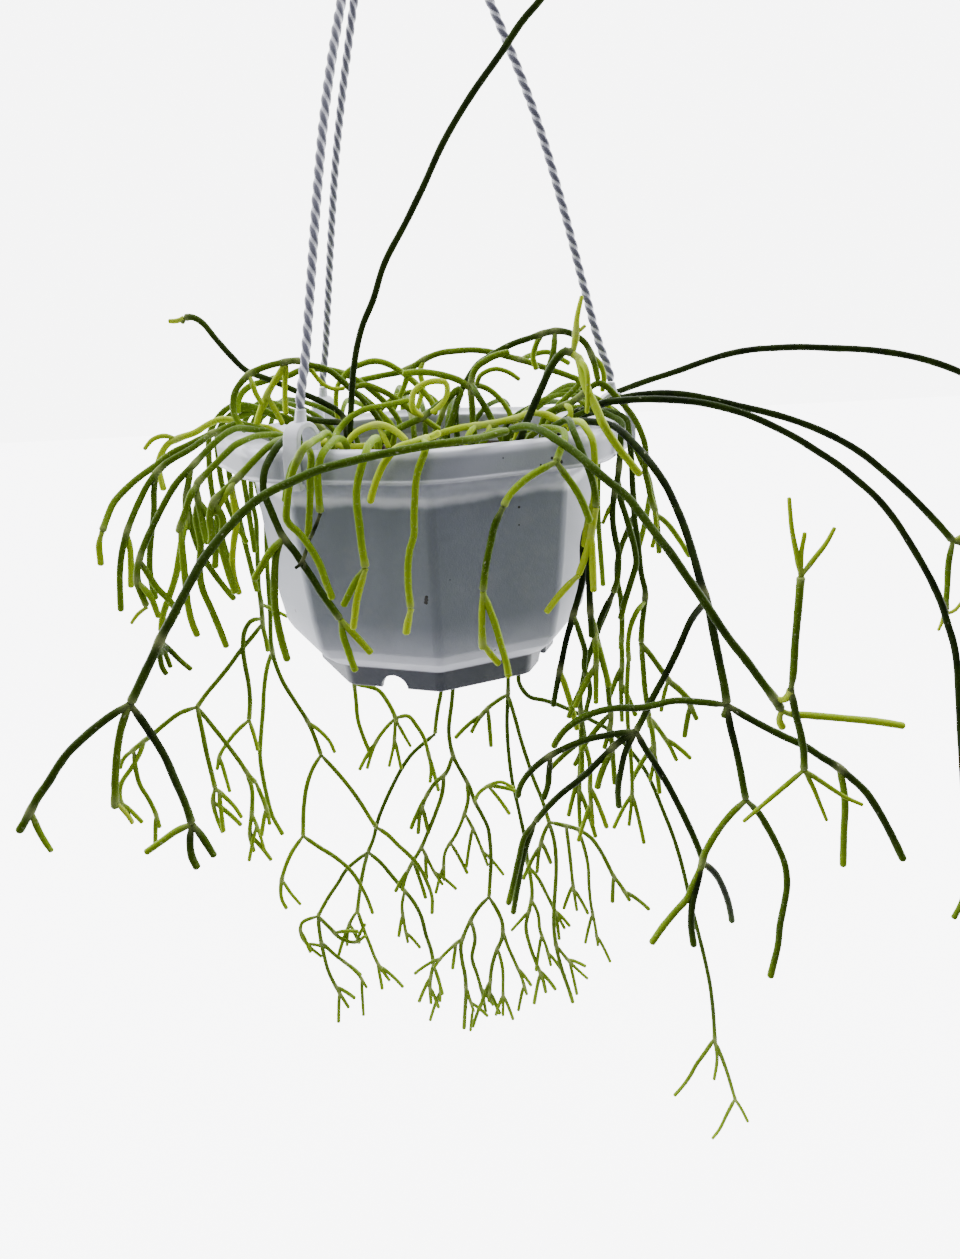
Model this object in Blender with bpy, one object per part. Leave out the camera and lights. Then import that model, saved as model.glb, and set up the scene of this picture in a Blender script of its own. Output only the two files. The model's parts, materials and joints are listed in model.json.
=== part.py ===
"""Potted rhipsalis in a hanging pot.

A moulded octagonal plastic pot hangs by three twisted cords from one hook. Trailing
cactus stems stand in the soil, arch over the rim and hang in the air around it.
Metres, +Z up. The origin is the point of the hook that rests on the rail.
"""
import bpy
import bmesh
import numpy as np
from math import cos, pi, radians, sin, tan
from mathutils import Matrix, Vector

MM = 0.001

# hook and collar
HOOK_BORE = 14.0 * MM            # inner radius of the hook's bend
HOOK_ROD = 5.0 * MM              # rod diameter
HOOK_START = 236.0               # the bend runs from this direction, in degrees,
HOOK_STEP = 20.0                 # by this much from ring to ring
HOOK_RINGS = 14
# the collar that gathers the cords, and the rod above it: height and radius in mm
COLLAR = ((-58.0, 8.5), (-57.2, 9.0), (-50.0, 8.6), (-47.5, 6.2), (-46.0, 3.6), (-44.0, 2.6))
SHANK = (-2.2 * MM, -38.5 * MM)  # where the rod leaves the axis towards the bend: x and z

# pot, heights measured from the rim plane, which lies RIM_DROP below the hook
RIM_DROP = 293.0 * MM
RIM_APOTHEM = 94.5 * MM          # half of the width across two opposite sides
RIM_ROUND = 40.0 * MM            # corner radius of the rim's outline
BODY_ROUND = 7.0 * MM            # corner radius of the body's outline
BODY_WIDEST = 78.0 * MM          # apothem up to which the outline keeps the body's corners
RIM_BEAD = 2.5 * MM              # the bead stands this much above the rim plane
SKIRT_HEIGHT = 10.2 * MM
POT_HEIGHT = 112.0 * MM
FACE_TO_CORNER = cos(pi / 8)     # apothem of an octagon over its corner radius
NOTCH_RADIUS = 6.7 * MM
NOTCH_TURNS = (-112.5, -22.5, 67.5, 157.5)
NOTCH_REACH = (46.0 * MM, 66.0 * MM)
DRAIN_RADIUS = 4.0 * MM
DRAIN_CIRCLE = 30.0 * MM         # four holes on this radius stand round the middle one
DRAIN_LEVELS = (4.0 * MM, 18.0 * MM)

# soil
SOIL_TOP = -15.0 * MM
SOIL_ROUND = 4.9 * MM            # corner radius of the soil's outline
SOIL_RINGS = (1.0, 0.7, 0.35)    # rings of its top, as shares of its width
WALL_AIR = 0.48 * MM             # between the soil and the pot's wall
HOLE_DEPTH = 13.0 * MM
HOLE_ABOVE = 6.0 * MM            # the cutter of a hole stands this much out of the soil
SEAT_GAP = 0.3 * MM

# rim clips and cords
CLIP_TURNS = {"right": 0.5, "back_left": 127.0, "front_left": 237.0}
CLIP_MIDDLE = 91.0 * MM          # the arch stands over the rim at this distance from the axis
CLIP_RADIUS = 7.2 * MM           # outer radius of the clip's arch
CLIP_BAND = 2.4 * MM
CLIP_WIDTH = 7.6 * MM
CLIP_LEAN = 2.5                  # half of the angle that a clip takes up on the rim, in degrees
CLIP_AIR = 0.5 * MM              # between the rim's edge and the clip's outer leg
ARCH_FOOT = 6.4 * MM             # the arch springs this far above the rim plane
LEG_BEND = -0.5 * MM             # the outer leg slants out to the rim's edge down to this height
LEG_BAND = 2.1 * MM
ARCH_STEPS = 8
BARB_REACH = 1.6 * MM            # the outer leg's barb turns in under the skirt
BARB_TOP = -10.95 * MM
BARB_LOW = (-10.0 * MM, -13.0 * MM, -12.4 * MM)
BARB_BEVEL = 0.6 * MM
INNER_FOOT = 0.85 * MM           # the inner leg ends this far above the rim plane
NECK_RADII = (2.9 * MM, 2.3 * MM)
NECK_SHARES = (0.0, 0.25, 0.6, 0.9, 1.0)
# round samples over a clip, for the stems to keep off: out from its middle and up, in mm
CLIP_SAMPLES = ((0.0, 15.0), (0.0, 12.2), (-4.2, 10.4), (4.2, 10.4), (-5.9, 6.0), (-5.9, 2.2),
                (6.0, 6.0))
LEG_SAMPLES = ((0.4, 1.2), (1.0, -3.4), (1.0, -7.6), (0.6, -11.4))   # out from its leg and up
CLIP_SAMPLE_ROWS = (-2.4 * MM, 0.0, 2.4 * MM)
CLIP_SAMPLE_RADIUS = 2.2 * MM
CORD_AIR = 0.2 * MM
CORD_STEP = 11.5 * MM            # spacing of a cord's points, but for one close to each end
CORD_END_STEP = 2.2 * MM
CORD_WIDTH = 4.0 * MM
# the cord's distance from the axis against its height above the rim plane
CORD_ROUTE = ((89.9, 18.5), (89.8, 20.6), (88.2, 26.0), (84.9, 35.0), (77.9, 60.0), (68.5, 95.0),
              (57.5, 131.0), (42.5, 168.0), (26.0, 202.0), (12.6, 221.0), (5.2, 229.0), (4.8, 231.6),
              (4.8, 234.7))

# the view from which the stems' routes were read: a pixel and a depth give a place
EYE = np.array([0.0, -0.467, 0.048 - RIM_DROP])
EYE_TURN = radians(2.69)
EYE_PITCH = radians(17.81)
EYE_ROLL = radians(2.57)
FOCAL_PIXELS = 955.0
MIDDLE_PIXEL = (480.0, 629.5)

# stems
STEP = 3.0 * MM                  # spacing of the points along a stem's route
CHORD_ERROR = 1.1 * MM           # a stem's rings follow its curve this closely
RING_SPACING = 34.0 * MM         # and stand no further apart than this
THICK_STEM = 2.95 * MM           # stems from this diameter have four sides, thinner ones three
CORNER_OUT = 1.25                # a tube's corners over its stem's radius
SHORTEST_TWIG = 24.0 * MM        # shorter twigs are left out
ROOT_RISE = 5.0 * MM             # a stem leaves its hole straight up this far
CLEARANCE = 1.9 * MM             # air kept between one spray and the next
POT_GAP = 0.9 * MM               # and between a stem and the pot
SOIL_AIR = 2.2 * MM              # and between a stem and the soil's mean level
WELL_APOTHEM = 73.2 * MM         # half width of the space inside the rim
DEEP_INSIDE = -30.0 * MM         # a point this far inside the body isn't pushed out of it
CROWD = 0.6                      # share of its neighbours that slows a crowded sample down
NEAREST_STEM = 340.0 * MM        # from the eye
SAME_CROSSING = 5                # samples of one crossing follow each other this closely
BLOCK = 400                      # samples that are compared at a time
SETTLE_ROUNDS = 160
PUSH = 0.5                       # share of an overlap that one round mends
SOFTEN = 0.6                     # how much a round evens out a stem's shift

# short sprays over the back of the rim
FILL_TURNS = (30.0, 97.0, 156.0, 168.0)
FILL_SEED = 7
FILL_ROOT = 50.0 * MM            # their roots' distance from the axis
FILL_BRANCHES = 3
FILL_LENGTHS = (34.0 * MM, 62.0 * MM)
FILL_FIRST = 1.35                # the first branch is longer by this factor
FILL_WIDTHS = (2.6 * MM, 2.0 * MM)
FILL_LEAN = 6.0 * MM             # sideways step from branch to branch
FILL_JOINT = 9                   # the second branch leaves the first near this point

SOLVER = 'EXACT'

# Each spray: where it stands in the soil (mm from the pot's axis), then its branches.
# A branch: diameter at its base and tip (mm), age from 0, old and dark, to 1, new and
# pale, and its route as pixels of the view. A third number is the depth, in mm behind
# the plane of the pot's axis, and it runs evenly to the next one. A branch after the
# first starts on the nearest point of the ones before it.
SPRAYS = {
    "stem_tall": ((-33, -30), (
        (2.7, 2.5, 0.05, (350, 436, -34), (351, 410), (352, 388), (357, 347), (362, 327), (373, 300),
         (383, 267), (407, 220), (423, 187), (443, 143), (470, 97), (503, 50), (523, 20), (540, 0, -42),
         (558, -30), (574, -62, -40)),
        (1.8, 1.4, 0.35, (568, -50), (584, -58, -36), (596, -72)),
    )),
    "stem_upper_left": ((-38, 0), (
        (2.7, 2.4, 0.1, (346, 428, 0), (345, 420), (338, 411), (328, 405), (309, 396), (296, 391),
         (280, 384), (265, 378), (247, 371), (230, 355), (215, 338), (200, 321), (192, 317, 6),
         (184, 318)),
        (2.2, 1.4, 0.9, (185, 318), (177, 321), (168, 321)),
        (2.4, 2.4, 0.2, (186, 317), (182, 324)),
        (2.4, 2.0, 0.1, (345, 423), (334, 422), (308, 419, 8), (297, 417)),
    )),
    "stem_right_high": ((64, 16), (
        (3.0, 3.2, 0.03, (604, 424, 10), (612, 411), (628, 399, 10), (650, 386), (679, 373), (700, 364),
         (726, 355), (750, 350), (774, 348), (800, 347), (830, 348), (870, 350), (905, 355),
         (930, 361), (960, 372, -26), (985, 386), (1006, 404), (1020, 430, -30), (1026, 462)),
        (2.6, 2.0, 0.4, (1008, 408), (1030, 424), (1044, 452, -34)),
    )),
    "stem_right_middle": ((68, 4), (
        (3.1, 3.5, 0.03, (606, 424, -14), (616, 413), (628, 407), (645, 401), (667, 397), (690, 397),
         (715, 401), (738, 406), (765, 412), (790, 419), (817, 429), (840, 440), (860, 452),
         (885, 472), (905, 490), (925, 510), (940, 526), (953, 541, -40)),
        (3.2, 3.0, 0.2, (952, 540), (975, 547), (996, 560, -44)),
        (2.4, 2.0, 0.6, (952, 539), (964, 536), (980, 538)),
        (3.2, 2.8, 0.5, (952, 541), (949, 560), (947, 590), (945, 614, -46)),
        (1.6, 1.0, 0.9, (946, 610), (942, 622), (938, 631)),
        (1.6, 1.0, 0.9, (946, 612), (954, 611), (963, 600)),
    )),
    "stem_right_low": ((66, -14), (
        (3.1, 3.5, 0.03, (600, 436, -28), (610, 421), (630, 412), (655, 406), (679, 404), (705, 405),
         (730, 410), (750, 416), (775, 427), (798, 439), (817, 451), (837, 464), (857, 480),
         (877, 498), (895, 520), (908, 540), (920, 560), (932, 582), (942, 605), (948, 625),
         (954, 645), (957, 665), (959, 700), (961, 740, -62), (964, 790), (967, 850)),
        (2.6, 2.2, 0.2, (967, 846), (966, 880), (962, 902), (953, 919, -64)),
        (2.6, 2.0, 0.5, (967, 846), (978, 872), (984, 905, -66)),
    )),
    "stem_right_front": ((34, -56), (
        (3.2, 3.3, 0.05, (522, 442, -72), (528, 438), (536, 436), (546, 438, -88), (561, 446),
         (577, 456), (594, 470, -108), (611, 484), (626, 496), (640, 513), (655, 533), (670, 552, -128),
         (685, 574), (699, 594), (711, 612), (730, 640), (746, 660), (762, 682), (776, 701),
         (782, 711, -140)),
        (2.6, 2.2, 0.6, (781, 711), (790, 714), (805, 715), (840, 718), (880, 722), (905, 726, -142)),
        (2.6, 2.4, 0.7, (781, 711), (779, 720), (784, 729)),
        (2.4, 2.2, 0.75, (775, 700), (783, 700), (789, 695), (791, 689, -144)),
        (2.0, 2.0, 0.15, (791, 691), (793, 675), (795, 645), (799, 600), (801, 576, -148)),
        (1.6, 1.0, 0.6, (801, 578), (797, 556), (792, 530), (789, 497)),
        (1.6, 1.0, 0.6, (801, 578), (801, 556), (805, 532)),
        (1.6, 1.0, 0.6, (801, 578), (814, 559), (827, 542), (835, 527)),
        (2.3, 2.3, 0.25, (790, 690), (796, 715), (801, 735), (804, 755), (804, 770, -140)),
        (1.6, 1.1, 0.5, (804, 768), (785, 786), (765, 803), (743, 822)),
        (1.5, 1.0, 0.5, (804, 768), (813, 787), (820, 804), (827, 821)),
        (1.6, 1.1, 0.5, (804, 768), (825, 784), (845, 797), (863, 805)),
    )),
    "stem_right_drop": ((60, -33), (
        (3.0, 3.4, 0.02, (590, 436, -52), (600, 439), (612, 443, -64), (624, 450), (638, 460),
         (651, 472, -84), (664, 488), (674, 506), (682, 523), (690, 545), (696, 565), (702, 587, -112),
         (708, 605), (713, 630), (719, 660), (725, 690), (727, 705, -126)),
        (2.8, 2.8, 0.1, (727, 702), (725, 712), (723, 718)),
        (2.8, 2.6, 0.15, (726, 703), (700, 702), (672, 701), (655, 705), (638, 708), (618, 708),
         (600, 711), (582, 718), (566, 729), (556, 742), (553, 748, -118)),
        (3.0, 3.2, 0.08, (727, 703), (745, 716), (765, 727), (785, 737), (805, 746), (820, 756),
         (838, 767, -134), (850, 777), (865, 791), (878, 810), (890, 832), (904, 861, -138)),
        (3.0, 2.8, 0.35, (838, 767), (843, 785), (845, 803), (844, 830), (843, 867)),
        (3.0, 3.0, 0.05, (727, 703), (730, 725), (735, 745), (740, 768), (744, 790), (746, 800, -130)),
        (2.8, 2.0, 0.45, (746, 799), (733, 812), (722, 825), (712, 840), (705, 853), (700, 870),
         (693, 885), (688, 897), (675, 912), (662, 928), (651, 944, -126)),
        (2.9, 2.4, 0.2, (746, 799), (758, 812), (768, 828), (777, 845), (785, 865), (787, 885),
         (784, 905), (780, 925), (778, 945), (774, 962), (770, 978, -134)),
        (3.0, 3.0, 0.03, (698, 600), (690, 622, -104), (680, 645), (668, 670), (657, 690), (649, 705),
         (642, 720), (636, 731, -100)),
        (3.0, 3.0, 0.03, (637, 730), (645, 748), (656, 765), (668, 785), (680, 808), (692, 833),
         (701, 855), (704, 864, -108)),
        (3.1, 3.0, 0.03, (704, 862), (698, 880), (693, 900), (691, 922), (694, 947)),
        (3.0, 2.8, 0.03, (704, 862), (714, 872), (724, 890), (731, 915), (732, 922, -112)),
        (2.9, 2.8, 0.08, (637, 730), (620, 733), (603, 736), (585, 740), (567, 747), (548, 757),
         (535, 767), (525, 778), (519, 790), (518, 798, -92)),
        (2.6, 2.6, 0.08, (548, 757), (549, 773), (548, 785), (543, 800)),
        (3.0, 2.9, 0.06, (637, 730), (618, 743), (603, 757), (585, 775), (560, 795), (545, 810),
         (535, 822, -90)),
        (2.8, 2.6, 0.3, (535, 821), (524, 838), (519, 858), (514, 880), (508, 905)),
        (2.8, 2.6, 0.2, (535, 821), (529, 838), (523, 858), (518, 885), (513, 914, -84)),
        (2.6, 2.4, 0.06, (636, 731), (626, 750), (621, 770), (618, 790), (619, 808, -94)),
        (2.4, 2.2, 0.3, (612, 749), (606, 762), (600, 777), (597, 789)),
    )),
    "stem_riser": ((26, -47), (
        (3.2, 3.2, 0.03, (522, 444, -62), (525, 436), (531, 420), (536, 407), (543, 390), (550, 373),
         (558, 360), (566, 353, -76), (573, 356)),
        (2.2, 1.2, 0.8, (572, 354), (576, 338), (577, 320), (582, 296, -72)),
        (1.6, 1.0, 0.8, (576, 336), (582, 330), (586, 326)),
        (3.6, 3.0, 0.85, (571, 355), (579, 360), (582, 372), (585, 384), (590, 396), (597, 410),
         (603, 424, -88), (609, 434), (617, 446), (628, 460), (641, 476, -86)),
        (1.8, 1.2, 0.7, (579, 360), (587, 372, -84), (588, 395), (587, 414)),
    )),
    "stem_left_front": ((22, -62), (
        (3.0, 3.3, 0.12, (512, 443, -84), (488, 445), (458, 446, -101), (430, 448), (400, 452, -108),
         (382, 455), (349, 462, -112), (316, 471, -114), (293, 481, -117), (266, 494), (243, 512, -124),
         (228, 528), (214, 545), (201, 563), (191, 581), (180, 602, -140), (172, 618), (162, 636),
         (153, 656), (143, 677), (136, 692), (130, 704, -150)),
        (3.0, 3.0, 0.1, (131, 702), (112, 715), (96, 727), (80, 741), (67, 754), (57, 768), (48, 783),
         (38, 797), (30, 812), (24, 823), (18, 833, -160)),
        (1.8, 1.3, 0.3, (31, 812), (40, 833), (52, 852)),
        (2.9, 2.6, 0.35, (130, 703), (122, 725), (118, 745), (116, 765), (115, 785), (115, 809)),
        (1.4, 1.0, 0.8, (115, 800), (125, 812), (133, 824)),
        (3.0, 3.0, 0.06, (131, 702), (143, 722), (155, 740), (165, 757), (175, 780), (185, 803),
         (192, 824, -142)),
        (2.0, 1.8, 0.4, (192, 822), (178, 830), (162, 841), (145, 853)),
        (2.4, 2.0, 0.1, (192, 822), (190, 840), (192, 857), (198, 869)),
        (2.2, 1.8, 0.1, (192, 822), (201, 835), (208, 846), (215, 857)),
        (1.7, 1.3, 0.15, (160, 641), (170, 650, -134), (182, 662), (192, 670)),
        (1.7, 1.3, 0.15, (159, 643), (160, 656, -136), (162, 667), (167, 675)),
        (1.5, 1.3, 0.2, (161, 640), (166, 655, -132), (171, 668)),
    )),
    "stem_front_left_dark": ((-46, -44), (
        (2.9, 3.0, 0.03, (300, 444, -70), (293, 446), (286, 454, -84), (279, 463), (272, 474, -90),
         (269, 487), (269, 496), (273, 508), (278, 522), (282, 532), (286, 540, -94), (295, 551),
         (302, 562), (312, 577), (321, 592), (331, 606), (341, 620, -98)),
        (2.6, 2.4, 0.5, (340, 618), (343, 635), (348, 650), (352, 662), (356, 672)),
        (2.4, 2.2, 0.5, (341, 619), (352, 632), (362, 643), (372, 654)),
        (3.0, 3.1, 0.25, (285, 537), (279, 550), (276, 565), (275, 585), (275, 600), (277, 618),
         (281, 638), (288, 662, -102)),
        (2.2, 2.0, 0.4, (281, 540), (270, 555, -98), (262, 568), (254, 581)),
    )),
    "stem_front_left_green": ((-41, -50), (
        (2.8, 2.9, 0.45, (326, 438, -66), (319, 440, -80), (311, 444, -93), (303, 450, -99), (297, 461),
         (292, 474), (289, 488),
         (287, 505), (287, 521, -101), (299, 533), (311, 549), (320, 565), (326, 582), (333, 600, -104)),
        (2.6, 2.6, 0.3, (298, 459), (291, 470, -92), (287, 488), (285, 503)),
        (2.8, 2.7, 0.5, (308, 447), (311, 458, -90), (310, 475), (310, 496), (309, 520), (308, 538)),
    )),
    "stem_front_twig": ((-33, -54), (
        (2.6, 2.4, 0.3, (334, 448, -74), (328, 452, -84), (320, 463, -92), (317, 478), (318, 495),
         (320, 517, -94)),
        (1.2, 1.0, 0.0, (320, 516), (316, 528), (310, 541)),
        (1.1, 0.9, 0.0, (311, 539), (305, 556, -97), (302, 564), (295, 570)),
        (1.0, 0.8, 0.0, (303, 563), (305, 570)),
    )),
    "stem_front_a": ((-21, -60), (
        (3.0, 3.1, 0.5, (374, 448, -84), (371, 451, -92), (366, 463, -99), (361, 478), (358, 492),
         (358, 508), (360, 525), (362, 545), (366, 569, -102)),
        (2.9, 2.8, 0.75, (366, 567), (361, 585), (357, 600), (355, 615), (353, 630)),
        (2.2, 2.0, 0.4, (365, 566), (356, 582, -100), (349, 595), (343, 607)),
    )),
    "stem_front_b": ((-6, -66), (
        (2.9, 2.8, 0.8, (424, 448, -92), (411, 450, -99), (399, 453), (390, 460, -104), (383, 470),
         (377, 483), (373, 495), (370, 507, -104)),
        (2.7, 2.8, 0.55, (422, 449), (426, 452, -101), (424, 460, -105), (419, 472), (416, 485),
         (415, 500), (414, 520), (414, 536), (410, 550), (408, 565), (408, 580), (409, 595),
         (411, 609, -106)),
        (2.4, 2.2, 0.8, (411, 607), (408, 622), (406, 635)),
        (2.6, 2.4, 0.9, (425, 449), (432, 447), (440, 443, -86)),
    )),
    "stem_front_d": ((42, -50), (
        (2.6, 2.6, 0.35, (562, 443, -78), (562, 449, -86), (557, 459, -93), (553, 470, -96)),
        (2.5, 2.7, 0.45, (553, 469), (540, 475), (528, 481), (516, 490), (507, 500), (502, 510, -104)),
        (2.8, 2.9, 0.2, (502, 508), (494, 527), (490, 545), (486, 565), (484, 580), (483, 592, -105)),
        (2.8, 2.4, 0.6, (483, 590), (482, 612), (482, 630), (483, 650)),
        (2.8, 2.6, 0.65, (483, 590), (489, 608), (495, 624), (501, 645), (506, 662), (509, 678, -106)),
        (2.0, 1.8, 0.7, (483, 646), (492, 656), (500, 665)),
        (2.5, 2.4, 0.35, (553, 469), (562, 480), (571, 490), (578, 500), (584, 512), (589, 526, -94)),
    )),
    "stem_left_bunch_high": ((-70, -8), (
        (3.0, 3.0, 0.15, (240, 432, -14), (232, 430, -18), (222, 433), (206, 439), (190, 446), (172, 454),
         (156, 466, -30), (140, 477), (125, 490), (113, 504), (107, 518), (102, 532, -52)),
        (2.7, 2.4, 0.45, (102, 531), (99, 545), (100, 556), (101, 566)),
        (2.6, 2.8, 0.1, (206, 439), (188, 452, -30), (165, 465), (155, 475), (147, 486), (140, 500),
         (132, 518), (126, 535, -50), (122, 552), (120, 570), (120, 590), (121, 612, -54)),
        (2.6, 2.4, 0.55, (128, 531), (130, 548, -48), (131, 566), (131, 588)),
        (2.7, 2.6, 0.1, (154, 474), (154, 490, -38), (154, 510), (152, 530), (150, 550), (150, 570),
         (152, 585), (156, 600, -46)),
    )),
    "stem_left_bunch_low": ((-63, -18), (
        (2.9, 2.8, 0.1, (244, 438, -26), (232, 436, -34), (220, 442, -40), (205, 455), (190, 470, -52),
         (178, 482), (168, 497), (160, 512), (152, 528), (145, 543), (140, 557), (137, 572, -66),
         (138, 585), (143, 598), (147, 607)),
        (2.2, 2.0, 0.2, (140, 558), (148, 574, -62), (158, 589), (169, 600), (179, 615)),
        (2.0, 1.8, 0.3, (140, 580), (150, 596, -68), (159, 618)),
        (1.5, 1.0, 0.5, (146, 604), (137, 615), (131, 624)),
        (2.7, 2.5, 0.1, (192, 468), (188, 485, -54), (186, 500), (186, 515), (188, 531)),
        (2.7, 2.6, 0.15, (187, 498), (191, 525, -52), (197, 545), (205, 560), (215, 575), (225, 588),
         (235, 600, -58)),
        (2.2, 2.0, 0.4, (186, 520), (181, 545, -60), (176, 575), (168, 600), (163, 615), (161, 632)),
    )),
    "stem_left_bunch_near": ((-57, -28), (
        (2.8, 2.8, 0.1, (262, 446, -48), (252, 452, -56), (237, 461, -62), (222, 472), (210, 481),
         (202, 489, -72), (203, 505), (206, 525), (210, 546, -76)),
        (2.6, 2.5, 0.15, (205, 503), (211, 516, -74), (217, 531), (217, 550), (216, 569)),
        (2.7, 2.6, 0.1, (203, 487), (195, 498, -76), (190, 510), (184, 525), (181, 535)),
        (2.4, 2.0, 0.3, (183, 528), (184, 556, -78), (186, 584), (188, 604), (192, 622), (198, 637)),
        (2.4, 2.0, 0.2, (200, 500), (199, 520, -70), (202, 545), (200, 570), (203, 590), (210, 606),
         (218, 625), (227, 648, -72)),
    )),
    "stem_left_bunch_front": ((-52, -36), (
        (2.6, 2.7, 0.2, (282, 446, -62), (274, 452, -74), (258, 465, -80), (245, 477), (230, 490),
         (215, 504, -88), (211, 520), (213, 538), (211, 546)),
        (1.8, 1.6, 0.4, (240, 481), (232, 492, -86), (223, 505), (216, 516)),
        (2.0, 1.7, 0.8, (234, 488), (236, 505, -82), (238, 522), (235, 540), (233, 560), (234, 575),
         (240, 595)),
        (2.2, 2.0, 0.3, (217, 503), (224, 520, -86), (222, 545), (228, 570), (236, 594)),
    )),
    "stem_left_pale": ((-61, 3), (
        (2.4, 2.2, 0.85, (262, 428, 4), (250, 428, 0), (235, 422), (222, 420, -8), (208, 425), (195, 433),
         (180, 438), (168, 444, -16), (161, 455), (158, 466), (160, 476), (164, 491, -22)),
        (1.8, 1.3, 0.7, (178, 439), (166, 436), (152, 440), (144, 450, -20)),
    )),
    "stem_back_left": ((-44, 40), (
        (2.8, 2.7, 0.3, (290, 404, 50), (274, 404, 60), (263, 414, 68), (255, 440, 72), (251, 470, 76),
         (252, 500), (256, 520), (257, 545), (258, 568), (259, 590), (261, 603, 76), (262, 615),
         (263, 627), (266, 640), (268, 652, 76)),
        (1.8, 1.5, 0.4, (261, 602), (272, 609, 80), (288, 617)),
        (2.5, 2.5, 0.3, (262, 618), (251, 621, 70), (245, 630), (243, 645), (245, 665), (248, 680),
         (250, 700), (249, 720, 68)),
        (2.0, 1.6, 0.5, (249, 719), (238, 730), (228, 742), (220, 755), (217, 770)),
        (2.0, 1.8, 0.5, (249, 719), (254, 735), (258, 751)),
        (2.7, 2.6, 0.3, (262, 626), (252, 637, 72), (241, 650), (230, 665), (218, 680), (207, 693),
         (197, 707, 58)),
        (2.4, 2.2, 0.35, (198, 706), (180, 713), (165, 724, 54), (152, 735), (140, 744), (130, 753)),
        (2.0, 1.6, 0.4, (132, 751), (124, 758), (120, 769)),
        (2.2, 1.8, 0.4, (132, 751), (136, 770), (140, 785), (148, 798), (155, 812), (160, 828)),
        (2.2, 1.7, 0.5, (145, 740), (138, 757), (130, 770), (122, 782), (120, 797), (133, 823)),
        (2.4, 2.2, 0.35, (198, 706), (202, 730, 56), (207, 755), (212, 775), (215, 788)),
        (2.1, 1.7, 0.5, (215, 786), (213, 800), (217, 818), (223, 833)),
        (2.1, 1.7, 0.5, (215, 786), (225, 797), (234, 806), (242, 818)),
        (2.5, 2.4, 0.35, (198, 707), (210, 723, 62), (225, 742), (240, 762), (248, 774), (256, 783)),
        (2.1, 1.7, 0.45, (255, 782), (262, 797), (267, 811), (270, 825)),
        (2.2, 1.8, 0.45, (248, 772), (252, 790, 66), (252, 810), (250, 835), (254, 852)),
        (1.8, 1.4, 0.5, (252, 814), (259, 832), (265, 851)),
    )),
    "stem_back_left_long": ((-36, 47), (
        (2.7, 2.7, 0.3, (294, 400, 62), (282, 401, 70), (274, 414, 76), (268, 440, 82), (266, 480, 86),
         (266, 510), (267, 560), (270, 610), (273, 655, 86), (282, 680), (296, 703), (308, 722),
         (315, 738), (321, 755, 86)),
        (2.6, 2.3, 0.4, (272, 650), (267, 668, 90), (264, 690), (263, 710), (261, 735), (260, 755),
         (262, 772), (266, 792), (272, 815), (283, 835)),
        (1.9, 1.7, 0.45, (308, 722), (320, 731), (330, 742), (335, 753)),
        (2.5, 2.3, 0.4, (321, 753), (313, 768), (307, 785), (304, 805), (303, 836)),
        (2.2, 1.8, 0.45, (303, 834), (292, 852), (285, 868), (281, 885), (282, 900), (287, 909)),
        (1.7, 1.5, 0.5, (282, 880), (290, 892), (301, 905)),
        (2.2, 1.8, 0.4, (303, 835), (319, 847), (335, 857), (345, 865), (355, 876), (361, 886),
         (367, 898), (373, 914)),
        (2.5, 2.3, 0.35, (321, 754), (335, 770), (350, 788), (362, 805), (370, 818), (376, 827)),
        (2.2, 1.8, 0.4, (376, 825), (388, 835), (398, 845), (408, 854), (418, 865), (426, 880),
         (432, 897), (432, 914)),
    )),
    "stem_back_left_centre": ((-19, 62), (
        (2.6, 2.6, 0.35, (352, 402, 80), (346, 402, 90), (342, 413, 98), (340, 440, 104), (342, 510),
         (346, 570), (350, 630), (353, 672, 106), (356, 700), (358, 720), (363, 736), (370, 753, 102)),
        (2.3, 2.2, 0.35, (354, 684), (366, 686, 102), (378, 690), (387, 701), (393, 712), (397, 722)),
        (2.0, 1.6, 0.4, (396, 720), (385, 729), (376, 742), (371, 755), (367, 769)),
        (1.8, 1.5, 0.4, (396, 720), (394, 743), (389, 767)),
        (1.9, 1.5, 0.4, (397, 722), (404, 735), (411, 747)),
        (2.1, 1.7, 0.4, (396, 719), (408, 716), (416, 725), (424, 738), (428, 752), (431, 768),
         (430, 783)),
    )),
    "stem_back_centre_left": ((0, 67), (
        (2.8, 2.8, 0.3, (420, 402, 88), (420, 402, 101), (421, 412, 108), (424, 440, 114), (430, 540),
         (436, 600), (441, 660, 114), (441, 692), (438, 708), (436, 722), (435, 734, 112)),
        (2.6, 2.6, 0.25, (435, 732), (424, 743), (412, 754), (402, 768), (393, 785), (385, 802),
         (378, 820), (373, 840), (368, 852, 104)),
        (2.6, 2.4, 0.3, (368, 850), (356, 861), (347, 869), (338, 883), (328, 898), (318, 916)),
        (1.9, 1.5, 0.4, (318, 914), (302, 923), (301, 935), (309, 946), (322, 957)),
        (2.2, 1.7, 0.35, (318, 915), (320, 935), (324, 955), (328, 970), (335, 985), (349, 1008)),
        (2.1, 1.6, 0.35, (318, 915), (330, 928), (342, 939), (356, 942), (366, 935)),
        (1.9, 1.5, 0.35, (321, 940), (334, 954), (347, 964), (358, 974), (367, 988)),
        (2.3, 2.1, 0.35, (368, 850), (364, 867, 108), (361, 882), (359, 897), (357, 914)),
        (1.9, 1.6, 0.4, (357, 910), (349, 925), (347, 946)),
        (2.1, 1.6, 0.4, (357, 911), (364, 930), (370, 945), (376, 960), (382, 970), (390, 981)),
        (2.5, 2.2, 0.3, (368, 850), (380, 862, 100), (392, 876), (403, 889), (413, 901), (421, 916),
         (426, 935), (431, 950), (434, 966)),
        (2.0, 1.7, 0.4, (433, 964), (430, 984), (431, 1004)),
        (1.9, 1.6, 0.4, (434, 965), (440, 985), (440, 1002)),
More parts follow.
